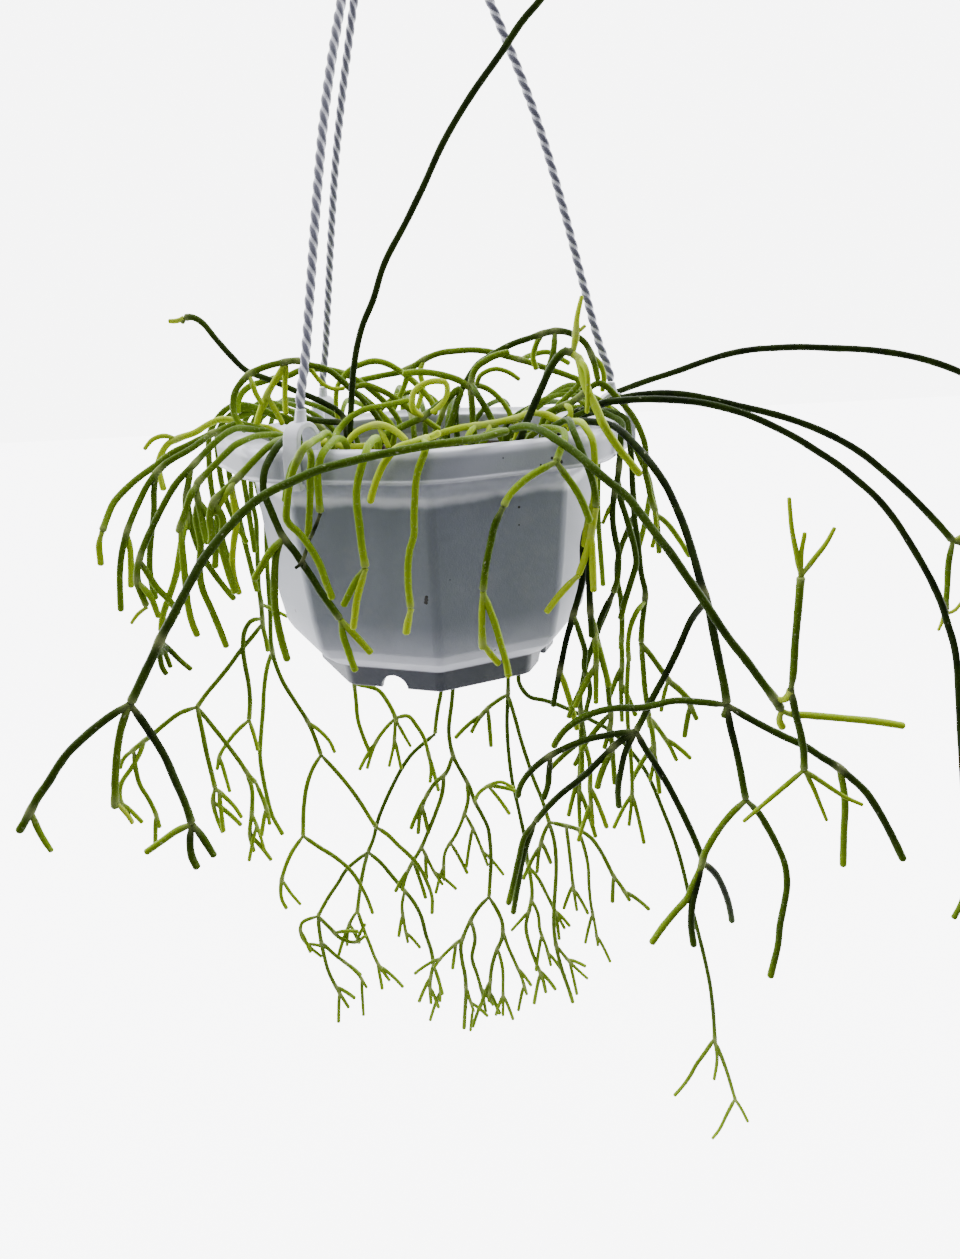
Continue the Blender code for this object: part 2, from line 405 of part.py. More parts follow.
        (1.8, 1.6, 0.4, (403, 891), (402, 906), (404, 922), (408, 943)),
    )),
    "stem_back_centre_right": ((12, 63), (
        (2.8, 2.8, 0.3, (454, 402, 84), (457, 403, 96), (459, 413, 103), (460, 440, 106), (460, 530),
         (458, 590),
         (456, 650, 98), (452, 700), (449, 735), (454, 758), (462, 773), (470, 788), (475, 802),
         (482, 815), (488, 828), (490, 842), (491, 862), (490, 880), (489, 897, 88)),
        (2.2, 1.9, 0.35, (453, 756), (446, 773, 92), (435, 783), (427, 795), (421, 810), (418, 834)),
        (2.2, 1.8, 0.35, (444, 776), (442, 794), (436, 812), (428, 832), (420, 850), (412, 863),
         (406, 876), (402, 891)),
        (1.8, 1.5, 0.4, (421, 848), (429, 862), (436, 875), (443, 885)),
        (2.0, 1.6, 0.4, (466, 782), (468, 800, 94), (463, 818), (455, 836), (446, 850), (444, 881)),
        (1.8, 1.5, 0.4, (466, 812), (475, 833), (482, 850), (488, 866)),
        (2.0, 1.6, 0.5, (475, 800), (480, 792, 86), (488, 786), (500, 782), (514, 788)),
        (2.4, 2.1, 0.35, (489, 895), (480, 906), (472, 918), (466, 930), (461, 945), (462, 960),
         (465, 975), (466, 992), (465, 1010), (464, 1029)),
        (1.9, 1.5, 0.4, (463, 938), (451, 948), (441, 958), (434, 968)),
        (1.9, 1.5, 0.4, (466, 984), (470, 1000), (474, 1012)),
        (2.2, 1.7, 0.35, (472, 918), (475, 940, 92), (472, 958), (477, 974), (482, 992), (486, 1012)),
        (2.2, 1.9, 0.35, (489, 896), (497, 910, 84), (502, 922), (502, 938), (496, 952), (492, 966),
         (490, 985), (489, 1002)),
        (1.9, 1.6, 0.4, (501, 930), (507, 944), (514, 960), (521, 976), (527, 995)),
        (1.9, 1.5, 0.4, (498, 948), (502, 965, 80), (503, 990), (503, 1016)),
    )),
    "stem_back_right": ((25, 60), (
        (2.8, 2.8, 0.25, (500, 404, 74), (507, 408, 86), (511, 422, 96), (513, 450, 100), (511, 540),
         (509, 600),
         (508, 650, 108), (508, 694), (507, 720), (508, 745), (510, 765), (513, 785), (517, 802),
         (521, 820), (525, 840), (528, 866, 102)),
        (2.6, 2.4, 0.3, (508, 694), (515, 718, 100), (521, 740), (528, 762), (534, 780), (541, 797),
         (546, 812), (549, 822, 94)),
        (2.1, 1.8, 0.35, (549, 820), (543, 836), (539, 852), (537, 873)),
        (2.4, 2.1, 0.35, (549, 820), (554, 840), (556, 858), (556, 876), (555, 892), (554, 910),
         (554, 930), (557, 950), (562, 970), (569, 990), (573, 1003)),
        (1.8, 1.5, 0.4, (556, 946), (567, 959), (578, 970), (588, 979)),
        (2.3, 2.0, 0.35, (549, 820), (562, 825), (577, 829), (590, 837), (600, 850), (607, 863),
         (613, 875), (621, 886), (630, 901)),
        (2.0, 1.6, 0.4, (564, 826), (568, 840), (570, 857), (573, 885), (577, 911)),
        (1.9, 1.5, 0.4, (577, 829), (584, 847), (588, 865), (589, 885), (591, 905), (595, 925),
         (598, 946)),
        (2.2, 1.9, 0.4, (528, 864), (531, 880), (532, 896), (529, 911), (526, 925), (530, 946),
         (537, 965), (543, 980), (546, 993)),
        (1.9, 1.6, 0.4, (532, 898), (538, 914), (540, 930), (546, 946), (551, 966)),
        (2.0, 1.6, 0.4, (528, 864), (538, 878, 98), (546, 893), (555, 911), (565, 929)),
        (1.8, 1.5, 0.4, (529, 910), (520, 921), (511, 931)),
        (2.2, 2.0, 0.35, (508, 694), (497, 701), (487, 709, 112), (478, 720), (471, 733)),
    )),
    "stem_back_arc": ((42, 52), (
        (2.8, 2.8, 0.2, (545, 410, 52), (558, 412, 62), (566, 424, 70), (568, 450, 76), (556, 520),
         (540, 590),
         (524, 650, 82), (520, 685), (530, 697), (543, 700), (556, 704), (568, 709), (583, 716),
         (597, 723), (611, 731), (623, 742), (634, 755, 76), (645, 770), (653, 786), (662, 808),
         (672, 833), (680, 858), (686, 882), (691, 905, 62), (697, 928), (704, 956), (710, 985),
         (713, 1010), (715, 1042, 56)),
        (2.2, 1.7, 0.35, (715, 1040), (704, 1054), (696, 1065), (690, 1076), (682, 1087), (674, 1096)),
        (1.9, 1.6, 0.4, (715, 1040), (717, 1060), (714, 1080)),
        (2.1, 1.7, 0.35, (715, 1040), (722, 1058), (728, 1075), (733, 1092), (736, 1102)),
        (1.9, 1.5, 0.4, (735, 1098), (726, 1116), (719, 1130), (712, 1139)),
        (1.8, 1.5, 0.4, (735, 1098), (742, 1110), (748, 1122)),
    )),
    "stem_curtain_inner": ((48, -46), (
        (2.6, 2.6, 0.1, (566, 426, -60), (573, 438, -76), (583, 462, -82), (590, 480), (594, 497),
         (595, 510, -82)),
        (2.2, 2.0, 0.85, (595, 508), (592, 525), (589, 540), (585, 556), (578, 576, -84)),
        (2.4, 2.3, 0.05, (595, 509), (592, 528, -78), (590, 548), (589, 575), (590, 605), (592, 638)),
        (1.9, 1.6, 0.2, (590, 610), (594, 628), (600, 650, -76), (604, 665), (607, 680), (609, 700),
         (611, 720), (608, 735), (604, 749)),
        (1.9, 1.6, 0.3, (594, 628), (596, 655, -80), (596, 675), (596, 704)),
    )),
    "stem_curtain_middle": ((64, -23), (
        (2.7, 2.6, 0.05, (592, 424, -32), (600, 436, -36), (604, 455, -46), (606, 470), (607, 485),
         (606, 500), (606, 510, -48), (608, 525), (612, 540), (616, 553), (617, 566), (616, 581),
         (612, 594, -50)),
        (2.2, 2.0, 0.1, (613, 592), (606, 606), (600, 620), (597, 634)),
        (2.0, 1.7, 0.15, (611, 595), (605, 613, -46), (598, 630), (592, 647), (587, 662), (583, 680),
         (580, 698), (582, 720), (584, 740), (580, 755), (574, 766)),
        (1.8, 1.5, 0.3, (582, 714), (581, 742, -44), (580, 770), (579, 800), (580, 827)),
        (1.8, 1.5, 0.4, (584, 738), (590, 765, -48), (590, 789), (593, 825)),
        (2.4, 2.2, 0.1, (606, 488), (614, 504, -42), (622, 520), (628, 535), (633, 550), (635, 564),
         (631, 580, -40), (626, 597), (620, 620)),
        (1.6, 1.2, 0.4, (606, 505), (600, 518), (596, 528)),
    )),
    "stem_curtain_outer": ((66, -5), (
        (2.7, 2.6, 0.05, (602, 424, -16), (608, 434, -24), (614, 450, -30), (620, 468), (624, 485),
         (628, 503), (631, 520, -30), (635, 537), (638, 555), (641, 575), (645, 592), (644, 608),
         (642, 625), (641, 643, -32)),
        (2.1, 1.8, 0.2, (642, 641), (643, 665), (645, 690), (648, 710), (650, 728)),
        (1.9, 1.5, 0.3, (649, 716), (653, 738, -36), (654, 760), (650, 781)),
        (1.9, 1.5, 0.3, (649, 718), (660, 731, -28), (668, 743), (677, 761)),
        (2.1, 1.8, 0.2, (642, 641), (652, 657), (662, 671), (671, 683), (682, 693), (690, 705),
         (697, 720)),
        (1.7, 1.4, 0.3, (668, 680), (664, 695), (661, 712)),
        (2.2, 1.9, 0.15, (630, 518), (625, 534, -22), (620, 548), (617, 562), (617, 580), (621, 600),
         (622, 625), (621, 650)),
        (1.9, 1.6, 0.2, (621, 640), (622, 665, -20), (621, 690), (622, 722)),
        (1.9, 1.6, 0.3, (643, 600), (636, 613, -38), (631, 625), (628, 645), (629, 662)),
        (1.7, 1.4, 0.3, (629, 655), (627, 690, -42), (628, 725), (631, 760), (632, 795), (629, 826)),
    )),
    "stem_curtain_far": ((60, 26), (
        (2.4, 2.4, 0.3, (588, 422, 26), (603, 424, 20), (614, 430, 16), (626, 446), (636, 463), (645, 478),
         (650, 494), (654, 509), (657, 526), (658, 540), (659, 554, 12)),
        (2.2, 2.0, 0.4, (657, 516), (668, 525, 16), (680, 541), (690, 557)),
        (2.2, 2.0, 0.45, (651, 494), (646, 515, 10), (643, 530), (637, 553)),
    )),
    "stem_curtain_light": ((54, -40), (
        (2.6, 2.4, 0.75, (580, 428, -62), (586, 434, -74), (592, 446, -78), (594, 462), (594, 482),
         (594, 498),
         (590, 516), (586, 532), (584, 548, -72)),
        (2.2, 1.8, 0.6, (589, 520), (583, 545, -68), (583, 563), (582, 582), (577, 602), (572, 620),
         (567, 637), (562, 660), (559, 675), (556, 690), (553, 707)),
        (1.9, 1.5, 0.3, (574, 612), (580, 634, -74), (585, 652), (584, 668), (589, 682), (590, 694),
         (587, 706), (585, 721)),
    )),
    "stem_top_left": ((-30, 10), (
        (2.6, 2.4, 0.25, (384, 432, 6), (379, 420), (372, 410, 2), (360, 397), (350, 388), (340, 379),
         (330, 371), (320, 367), (310, 365), (300, 361), (291, 361), (280, 363), (265, 367, -10),
         (250, 374), (240, 384), (234, 395), (233, 405), (235, 416), (240, 424), (246, 432, -18)),
        (2.2, 2.0, 0.85, (285, 363), (278, 376, -6), (270, 389), (264, 401), (259, 415), (255, 430)),
        (2.0, 1.8, 0.8, (284, 363), (285, 384, -2), (285, 400), (286, 415)),
        (2.0, 1.8, 0.7, (268, 393), (271, 403), (277, 413), (283, 425)),
        (1.8, 1.6, 0.6, (252, 374), (253, 386, -14), (257, 396), (263, 405)),
        (1.8, 1.4, 0.7, (300, 361), (312, 371, 6), (322, 383), (334, 389), (345, 388)),
    )),
    "stem_top_left_back": ((-24, 22), (
        (2.4, 2.2, 0.3, (400, 424, 20), (390, 408), (376, 394, 18), (360, 382), (345, 374), (330, 370),
         (312, 369, 14), (298, 371), (290, 375), (276, 378), (262, 382), (250, 386), (242, 393),
         (238, 402, 10), (238, 414)),
        (1.9, 1.6, 0.6, (276, 378), (270, 390, 16), (266, 403), (260, 412)),
        (1.9, 1.6, 0.5, (345, 374), (337, 388, 22), (336, 405), (338, 420)),
    )),
    "stem_top_arch_low": ((-17, 15), (
        (2.3, 2.2, 0.5, (394, 430, 14), (380, 413, 16), (364, 398), (350, 388), (343, 380), (350, 370),
         (362, 364), (375, 361), (388, 364), (400, 371), (412, 380), (423, 391), (432, 403, 8),
         (436, 415)),
        (2.2, 1.9, 0.15, (352, 388), (366, 385, 12), (378, 389), (390, 395), (400, 402), (411, 410),
         (424, 419), (440, 430)),
    )),
    "stem_top_arch_wide": ((26, 20), (
        (2.4, 2.2, 0.35, (548, 424, 16), (556, 408), (572, 392), (580, 382, 14), (569, 376), (555, 371),
         (540, 366), (525, 361), (510, 357), (495, 353), (475, 350), (455, 351), (440, 353),
         (425, 359), (412, 367), (400, 372), (385, 375), (366, 379), (350, 383, 24)),
        (2.0, 1.7, 0.4, (520, 360), (535, 354, 22), (548, 352), (560, 358), (570, 364)),
        (2.0, 1.7, 0.6, (425, 359), (420, 372), (423, 386), (420, 400), (416, 411, 12)),
        (2.0, 1.7, 0.5, (410, 368), (405, 384), (399, 398), (393, 411)),
    )),
    "stem_top_arch_high": ((14, -12), (
        (2.8, 2.5, 0.15, (457, 434, -14), (456, 422), (456, 410), (458, 399), (463, 387), (470, 375),
         (478, 364), (490, 356), (502, 349), (515, 343), (530, 338), (545, 333), (556, 331), (566, 332),
         (576, 336), (585, 343), (591, 354), (595, 366), (598, 381, -20)),
        (2.1, 1.8, 0.2, (545, 333), (536, 345, -8), (533, 357), (537, 370)),
        (2.1, 1.8, 0.25, (558, 331), (553, 354, -22), (547, 372), (540, 391)),
        (1.9, 1.6, 0.6, (591, 354), (600, 364), (604, 377), (602, 392)),
    )),
    "stem_top_loop": ((18, -26), (
        (2.6, 2.3, 0.2, (474, 436, -30), (473, 424), (472, 405), (471, 390), (472, 378), (476, 368),
         (485, 361), (497, 355, -26), (510, 352)),
        (2.3, 2.1, 0.3, (472, 388), (462, 382), (450, 377), (438, 374), (420, 372), (402, 374, -34)),
        (2.2, 2.0, 0.15, (472, 386), (480, 399, -38), (488, 412), (495, 426), (503, 442)),
    )),
    "stem_top_dark": ((-8, -34), (
        (2.5, 2.2, 0.05, (442, 440, -40), (450, 424), (456, 406), (461, 388, -34), (449, 397), (436, 407),
         (424, 416), (410, 423), (395, 430), (380, 436, -48)),
        (2.0, 1.6, 0.9, (424, 416), (412, 404, -52), (414, 392), (424, 384), (437, 381), (446, 383),
         (447, 394), (441, 405), (431, 413)),
    )),
    "stem_top_lime": ((4, -46), (
        (2.6, 2.8, 0.8, (420, 448, -58), (421, 441), (431, 437), (445, 432), (460, 428, -62), (475, 426),
         (490, 424), (504, 421, -58), (517, 418), (527, 414), (537, 412, -50)),
        (3.2, 3.3, 0.95, (534, 412), (545, 420, -54), (555, 430), (566, 440), (573, 446, -64)),
        (2.0, 1.6, 0.8, (516, 418), (518, 431), (514, 442)),
        (2.0, 1.6, 0.7, (490, 424), (488, 434, -66), (484, 443)),
        (1.9, 1.6, 0.5, (476, 426), (468, 436, -68), (464, 446)),
    )),
    "stem_top_right": ((34, -20), (
        (2.6, 2.3, 0.15, (540, 428, -22), (546, 414), (560, 407), (572, 402), (583, 394), (591, 387),
         (599, 383), (607, 387), (614, 394), (623, 404), (632, 415), (640, 430, -18), (645, 445),
         (646, 458), (645, 470), (648, 484), (651, 499), (656, 512)),
        (2.0, 1.7, 0.6, (566, 404), (578, 418, -30), (582, 434), (586, 450)),
        (2.0, 1.7, 0.4, (577, 398), (586, 412, -14), (595, 423), (604, 430)),
        (1.9, 1.6, 0.3, (584, 393), (592, 402, -8), (604, 412), (614, 426)),
        (1.8, 1.5, 0.4, (655, 508), (656, 530), (652, 548)),
    )),
    "stem_top_bright": ((-46, -26), (
        (2.4, 2.2, 0.9, (322, 452, -46), (316, 450), (318, 445), (324, 442), (332, 442), (340, 445),
         (352, 447, -52), (366, 446), (380, 444)),
        (2.2, 2.0, 0.9, (344, 446), (351, 438), (359, 431), (368, 427), (378, 425), (388, 427),
         (398, 433), (407, 442, -58)),
        (1.8, 1.5, 0.7, (379, 425), (384, 437, -56), (389, 448)),
        (2.0, 1.7, 0.3, (330, 442), (340, 428, -40), (352, 416), (366, 409), (382, 406), (396, 403),
         (410, 400, -36)),
    )),
    "stem_top_back": ((4, 46), (
        (2.2, 2.0, 0.4, (440, 420, 44), (446, 404), (456, 392), (470, 385), (486, 388), (498, 397),
         (508, 410, 50), (514, 424)),
        (2.0, 1.7, 0.4, (442, 412), (432, 398, 50), (418, 392), (402, 394), (388, 402), (378, 414)),
        (1.9, 1.6, 0.5, (478, 386), (482, 374, 40), (494, 369), (508, 372), (520, 380)),
    )),
}

# pot outline: half width across faces and height above the rim plane, in mm
UNDERSIDE = ((51.5, -104.0), (52.8, -112.0))
OUTSIDE = ((55.4, -112.0), (56.8, -101.6), (61.5, -99.5), (67.0, -95.0), (69.8, -90.0), (72.2, -77.0),
           (74.8, -55.0), (77.7, -18.5), (75.9, -16.3), (75.2, -13.0), (75.2, -1.7))
RIM = ((92.0, -1.7), (92.4, -10.2), (94.3, -10.6), (94.5, -0.5), (93.4, 1.6), (90.3, 2.5), (87.0, 0.5))
INSIDE = ((73.4, 0.5), (73.0, -40.0), (70.0, -77.0), (67.2, -90.0), (64.0, -95.5), (55.0, -101.0))
CORNER_STEPS = 3                 # points round each corner of an outline


def clear_scene():
    """Empty the file that the script is run in."""
    for thing in list(bpy.data.objects):
        bpy.data.objects.remove(thing, do_unlink=True)


def material(name, colour, roughness, metallic=0.0):
    """A plain material of one colour."""
    made = bpy.data.materials.new(name)
    made.use_nodes = True
    shader = made.node_tree.nodes["Principled BSDF"]
    shader.inputs["Base Color"].default_value = (*colour, 1.0)
    shader.inputs["Roughness"].default_value = roughness
    shader.inputs["Metallic"].default_value = metallic
    made.diffuse_color = (*colour, 1.0)
    return made


def put_object(name, points, faces, finish, smooth_angle=35):
    """One mesh object, shaded smooth where its faces meet at less than the angle."""
    mesh = bpy.data.meshes.new(name)
    mesh.from_pydata([tuple(point) for point in points], [], faces)
    mesh.validate()
    shell = bmesh.new()
    shell.from_mesh(mesh)
    bmesh.ops.recalc_face_normals(shell, faces=shell.faces)
    shell.to_mesh(mesh)
    shell.free()
    mesh.shade_smooth()
    mesh.set_sharp_from_angle(angle=radians(smooth_angle))
    thing = bpy.data.objects.new(name, mesh)
    bpy.context.collection.objects.link(thing)
    if finish:
        mesh.materials.append(finish)
    return thing


def skin(rings):
    """Faces over a stack of rings of equal count, closed with a cap at both ends."""
    count = len(rings[0])
    faces = [list(range(count))]
    for level in range(len(rings) - 1):
        low = level * count
        high = low + count
        for side in range(count):
            following = (side + 1) % count
            faces.append([low + side, low + following, high + following, high + side])
    last = (len(rings) - 1) * count
    faces.append([last + side for side in range(count)])
    return np.concatenate(rings), faces


def octagon(half_width, rounding, height):
    """A ring of points: a regular octagon with round corners, a corner towards -Y."""
    reach = (half_width - rounding) / FACE_TO_CORNER
    points = []
    for corner in range(8):
        middle = -pi / 2 + corner * pi / 4
        for step in range(CORNER_STEPS):
            turn = middle + (step / (CORNER_STEPS - 1) - 0.5) * pi / 4
            points.append((reach * cos(middle) + rounding * cos(turn),
                           reach * sin(middle) + rounding * sin(turn), height))
    return np.array(points)


def outline_rounding(half_width):
    """The corners turn from tight on the body to wide on the rim."""
    share = min(max((half_width * MM - BODY_WIDEST) / (RIM_APOTHEM - BODY_WIDEST), 0.0), 1.0)
    return BODY_ROUND + (RIM_ROUND - BODY_ROUND) * share


def cut(target, cutters, kind="DIFFERENCE"):
    """Apply one Boolean with all the given objects, and remove them."""
    group = bpy.data.collections.new("cutters")
    bpy.context.scene.collection.children.link(group)
    for tool in cutters:
        for home in list(tool.users_collection):
            home.objects.unlink(tool)
        group.objects.link(tool)
        tool.hide_render = True
        tool.display_type = 'WIRE'
    change = target.modifiers.new("cut", 'BOOLEAN')
    change.operation = kind
    change.solver = SOLVER
    change.operand_type = 'COLLECTION'
    change.collection = group
    bpy.context.view_layer.objects.active = target
    bpy.ops.object.modifier_apply(modifier=change.name)
    for tool in cutters:
        bpy.data.objects.remove(tool, do_unlink=True)
    bpy.data.collections.remove(group)


def rod(name, start, end, radius, sides=12, finish=None):
    """A straight round bar between two points."""
    start = Vector(start)
    axis = Vector(end) - start
    frame = axis.to_track_quat('Z', 'Y').to_matrix()
    rings = []
    for place in (start, Vector(end)):
        turns = [2 * pi * (side + 0.5) / sides for side in range(sides)]
        rings.append(np.array([place + frame @ Vector((radius * cos(turn), radius * sin(turn), 0))
                               for turn in turns]))
    return put_object(name, *skin(rings), finish)


def make_pot(finish):
    """A thin octagonal shell with a hanging skirt round its rim, a foot ring and drain holes."""
    profile = UNDERSIDE + OUTSIDE + RIM + INSIDE
    rings = []
    for half_width, height in profile:
        rounding = outline_rounding(half_width)
        rings.append(octagon(half_width * MM, rounding, height * MM - RIM_DROP))
    pot = put_object("pot", *skin(rings), finish)
    cutters = []
    foot = -POT_HEIGHT - RIM_DROP
    for turn in NOTCH_TURNS:
        way = Vector((cos(radians(turn)), sin(radians(turn)), 0))
        low = Vector((0, 0, foot))
        cutters.append(rod("notch", way * NOTCH_REACH[0] + low, way * NOTCH_REACH[1] + low, NOTCH_RADIUS))
    for number in range(5):
        reach = 0.0 if number == 0 else DRAIN_CIRCLE
        place = Vector((reach * cos(number * pi / 2), reach * sin(number * pi / 2), foot))
        ends = [place + Vector((0, 0, level)) for level in DRAIN_LEVELS]
        cutters.append(rod("drain", *ends, DRAIN_RADIUS, 10))
    cut(pot, cutters)
    return pot


def make_soil(finish, holes):
    """Compost that fills the pot to below the rim, with a hole for each spray."""
    wall = [(width * MM - WALL_AIR, height * MM) for width, height in INSIDE[1:]]
    wall[-1] = (wall[-1][0], wall[-1][1] + SEAT_GAP)
    rings = []
    for width, height in reversed(wall):
        rings.append(octagon(width, SOIL_ROUND, height - RIM_DROP))
    top_width = wall[0][0]
    for share in SOIL_RINGS:
        ring = octagon(top_width * share, SOIL_ROUND * share, 0.0)
        ring[:, 2] = soil_height(ring[:, 0], ring[:, 1])
        rings.append(ring)
    soil = put_object("soil", *skin(rings), finish)
    cutters = []
    for (x, y), radius in holes:
        wide = (radius * CORNER_OUT * 1.02 + SEAT_GAP) / cos(pi / 4)
        cutters.append(rod("hole", (x, y, SOIL_TOP - HOLE_DEPTH - RIM_DROP),
                           (x, y, SOIL_TOP + HOLE_ABOVE - RIM_DROP), wide, 4))
    cut(soil, cutters)
    return soil


def soil_height(x, y):
    """The surface rolls by about a millimetre, as two crossed waves."""
    roll = 0.8 * MM * np.sin(x * 95 + 0.6) * np.cos(y * 80) + 0.4 * MM * np.sin(x * 170 - y * 130)
    return SOIL_TOP - RIM_DROP + roll


def make_hook(finish):
    """A bent rod that widens into the collar that gathers the cords."""
    centre = Vector((0, 0, -HOOK_BORE))
    bend = HOOK_BORE + HOOK_ROD / 2
    path = []
    for height, radius in COLLAR:
        path.append((Vector((0, 0, height * MM)), radius * MM))
    path.append((Vector((SHANK[0], 0, SHANK[1])), HOOK_ROD / 2))
    for step in range(HOOK_RINGS):
        turn = radians(HOOK_START - step * HOOK_STEP)
        place = centre + bend * Vector((cos(turn), 0, sin(turn)))
        tip = 0.7 if step == HOOK_RINGS - 1 else 1.0
        path.append((place, HOOK_ROD / 2 * tip))
    rings = []
    for number, (place, radius) in enumerate(path):
        before = path[max(number - 1, 0)][0]
        after = path[min(number + 1, len(path) - 1)][0]
        along = (after - before).normalized()
        out = along.cross(Vector((0, 1, 0))).normalized()
        turns = [2 * pi * side / 8 for side in range(8)]
        rings.append(np.array([place + radius * (out * cos(turn) + Vector((0, 1, 0)) * sin(turn))
                               for turn in turns]))
    return put_object("hanger_hook", *skin(rings), finish)


def rim_reach(turn):
    """Distance of the rim's outer edge from the pot's axis, in the given direction."""
    off = radians((turn + 90 + 22.5) % 45 - 22.5)
    middle = (RIM_APOTHEM - RIM_ROUND) / FACE_TO_CORNER
    return middle * cos(off) + (RIM_ROUND ** 2 - (middle * sin(off)) ** 2) ** 0.5


def clip_leg(turn):
    """Distance of a clip's outer leg from the axis: clear of the rim over the clip's width."""
    leans = (-CLIP_LEAN, 0.0, CLIP_LEAN)
    return CLIP_AIR + max(rim_reach(turn + lean) * cos(radians(lean)) for lean in leans)


def make_clip(name, turn, finish):
    """An arched band that hooks under the rim's skirt, with a neck for the cord."""
    outer_leg = clip_leg(turn)
    inner = CLIP_RADIUS - CLIP_BAND
    middle = CLIP_MIDDLE
    outer = outer_leg + LEG_BAND
    barb = outer_leg - BARB_REACH
    angles = [pi * step / ARCH_STEPS for step in range(1, ARCH_STEPS)]
    outline = [(barb, BARB_TOP), (outer_leg, BARB_TOP), (outer_leg, LEG_BEND), (middle + inner, ARCH_FOOT)]
    outline += [(middle + inner * cos(angle), ARCH_FOOT + inner * sin(angle)) for angle in angles]
    outline += [(middle - inner, ARCH_FOOT), (middle - inner, INNER_FOOT),
                (middle - CLIP_RADIUS, INNER_FOOT), (middle - CLIP_RADIUS, ARCH_FOOT)]
    outline += [(middle + CLIP_RADIUS * cos(angle), ARCH_FOOT + CLIP_RADIUS * sin(angle))
                for angle in reversed(angles)]
    outline += [(middle + CLIP_RADIUS, ARCH_FOOT), (outer, LEG_BEND), (outer, BARB_LOW[0]),
                (outer - BARB_BEVEL, BARB_LOW[1]), (barb, BARB_LOW[2])]
    half = CLIP_WIDTH / 2
    rings = [np.array([(reach, side, height) for reach, height in outline]) for side in (-half, half)]
    clip = put_object(name, *skin(rings), finish)
    top = ARCH_FOOT + CLIP_RADIUS - CLIP_BAND * 0.6
    start_reach, start_height = CORD_ROUTE[0]
    rings = []
    for share in NECK_SHARES:
        height = top + (start_height * MM - SEAT_GAP - top) * share
        wide = NECK_RADII[0] + (NECK_RADII[1] - NECK_RADII[0]) * share ** 0.7
        reach = middle + (start_reach * MM - middle) * share
        rings.append(np.array([(reach + wide * cos(side * pi / 5), wide * sin(side * pi / 5), height)
                               for side in range(10)]))
    neck = put_object("neck", *skin(rings), finish)
    cut(clip, [neck], 'UNION')
    place = Matrix.Translation((0, 0, -RIM_DROP)) @ Matrix.Rotation(radians(turn), 4, 'Z')
    clip.data.transform(place)
    return clip


def cord_points(turn, spacing=CORD_STEP):
    """The cord's centreline, at even steps along a smooth curve through CORD_ROUTE."""
    way = np.array([cos(radians(turn)), sin(radians(turn))])
    route = [(reach * MM * way[0], reach * MM * way[1], height * MM - RIM_DROP)
             for reach, height in CORD_ROUTE]
    curve = smooth_curve(np.array(route))
    points = even_steps(curve, spacing)
    near_ends = even_steps(curve, CORD_END_STEP)
    return np.concatenate([points[:1], near_ends[1:2], points[1:-1], near_ends[-2:-1], points[-1:]])


def make_cord(name, turn, finish):
    """A cord as a curve with a round section and closed ends."""
    points = cord_points(turn)
    curve = bpy.data.curves.new(name, 'CURVE')
    curve.dimensions = '3D'
    line = curve.splines.new('POLY')
    line.points.add(len(points) - 1)
    for knot, point in zip(line.points, points):
        knot.co = (*point, 1.0)
    curve.bevel_depth = CORD_WIDTH / 2
    curve.bevel_resolution = 2
    curve.use_fill_caps = True
    curve.materials.append(finish)
    cord = bpy.data.objects.new(name, curve)
    bpy.context.collection.objects.link(cord)
    return cord


def smooth_curve(points, per_span=12):
    """A curve through the points whose direction turns evenly with their spacing."""
    gaps = np.maximum(np.linalg.norm(np.diff(points, axis=0), axis=1), 1e-6)
    slopes = np.diff(points, axis=0) / gaps[:, None]
    inner = (slopes[:-1] * gaps[1:, None] + slopes[1:] * gaps[:-1, None]) / (gaps[1:] + gaps[:-1])[:, None]
    tangents = np.concatenate([slopes[:1], inner, slopes[-1:]])
    share = np.linspace(0, 1, per_span, endpoint=False)[None, :, None]
    start = points[:-1, None] * (2 * share ** 3 - 3 * share ** 2 + 1)
    end = points[1:, None] * (3 * share ** 2 - 2 * share ** 3)
    leave = tangents[:-1, None] * gaps[:, None, None] * (share ** 3 - 2 * share ** 2 + share)
    arrive = tangents[1:, None] * gaps[:, None, None] * (share ** 3 - share ** 2)
    curve = (start + end + leave + arrive).reshape(-1, points.shape[1])
    return np.concatenate([curve, points[-1:]])


def even_steps(curve, spacing):
    """The same curve as points at even distances along it."""
    along = np.concatenate([[0], np.cumsum(np.linalg.norm(np.diff(curve, axis=0), axis=1))])
    count = max(int(round(along[-1] / spacing)), 2) + 1
    places = np.linspace(0, along[-1], count)
    return np.stack([np.interp(places, along, curve[:, axis]) for axis in range(curve.shape[1])], axis=1)


def sight_axes():
    """Forward, right and up of the view, as unit vectors."""
    forward = np.array([sin(EYE_TURN) * cos(EYE_PITCH), cos(EYE_TURN) * cos(EYE_PITCH), -sin(EYE_PITCH)])
    level = np.array([cos(EYE_TURN), -sin(EYE_TURN), 0.0])
    above = np.cross(level, forward)
    right = level * cos(EYE_ROLL) - above * sin(EYE_ROLL)
    up = level * sin(EYE_ROLL) + above * cos(EYE_ROLL)
    return forward, right, up


def spots(pixels, depths):
    """The places where the sight lines through the pixels meet the planes y = depth."""
    forward, right, up = sight_axes()
    across = (pixels[:, 0] - MIDDLE_PIXEL[0]) / FOCAL_PIXELS
    down = (pixels[:, 1] - MIDDLE_PIXEL[1]) / FOCAL_PIXELS
    rays = forward + right * across[:, None] - up * down[:, None]
    return EYE + rays * ((depths - EYE[1]) / rays[:, 1])[:, None]


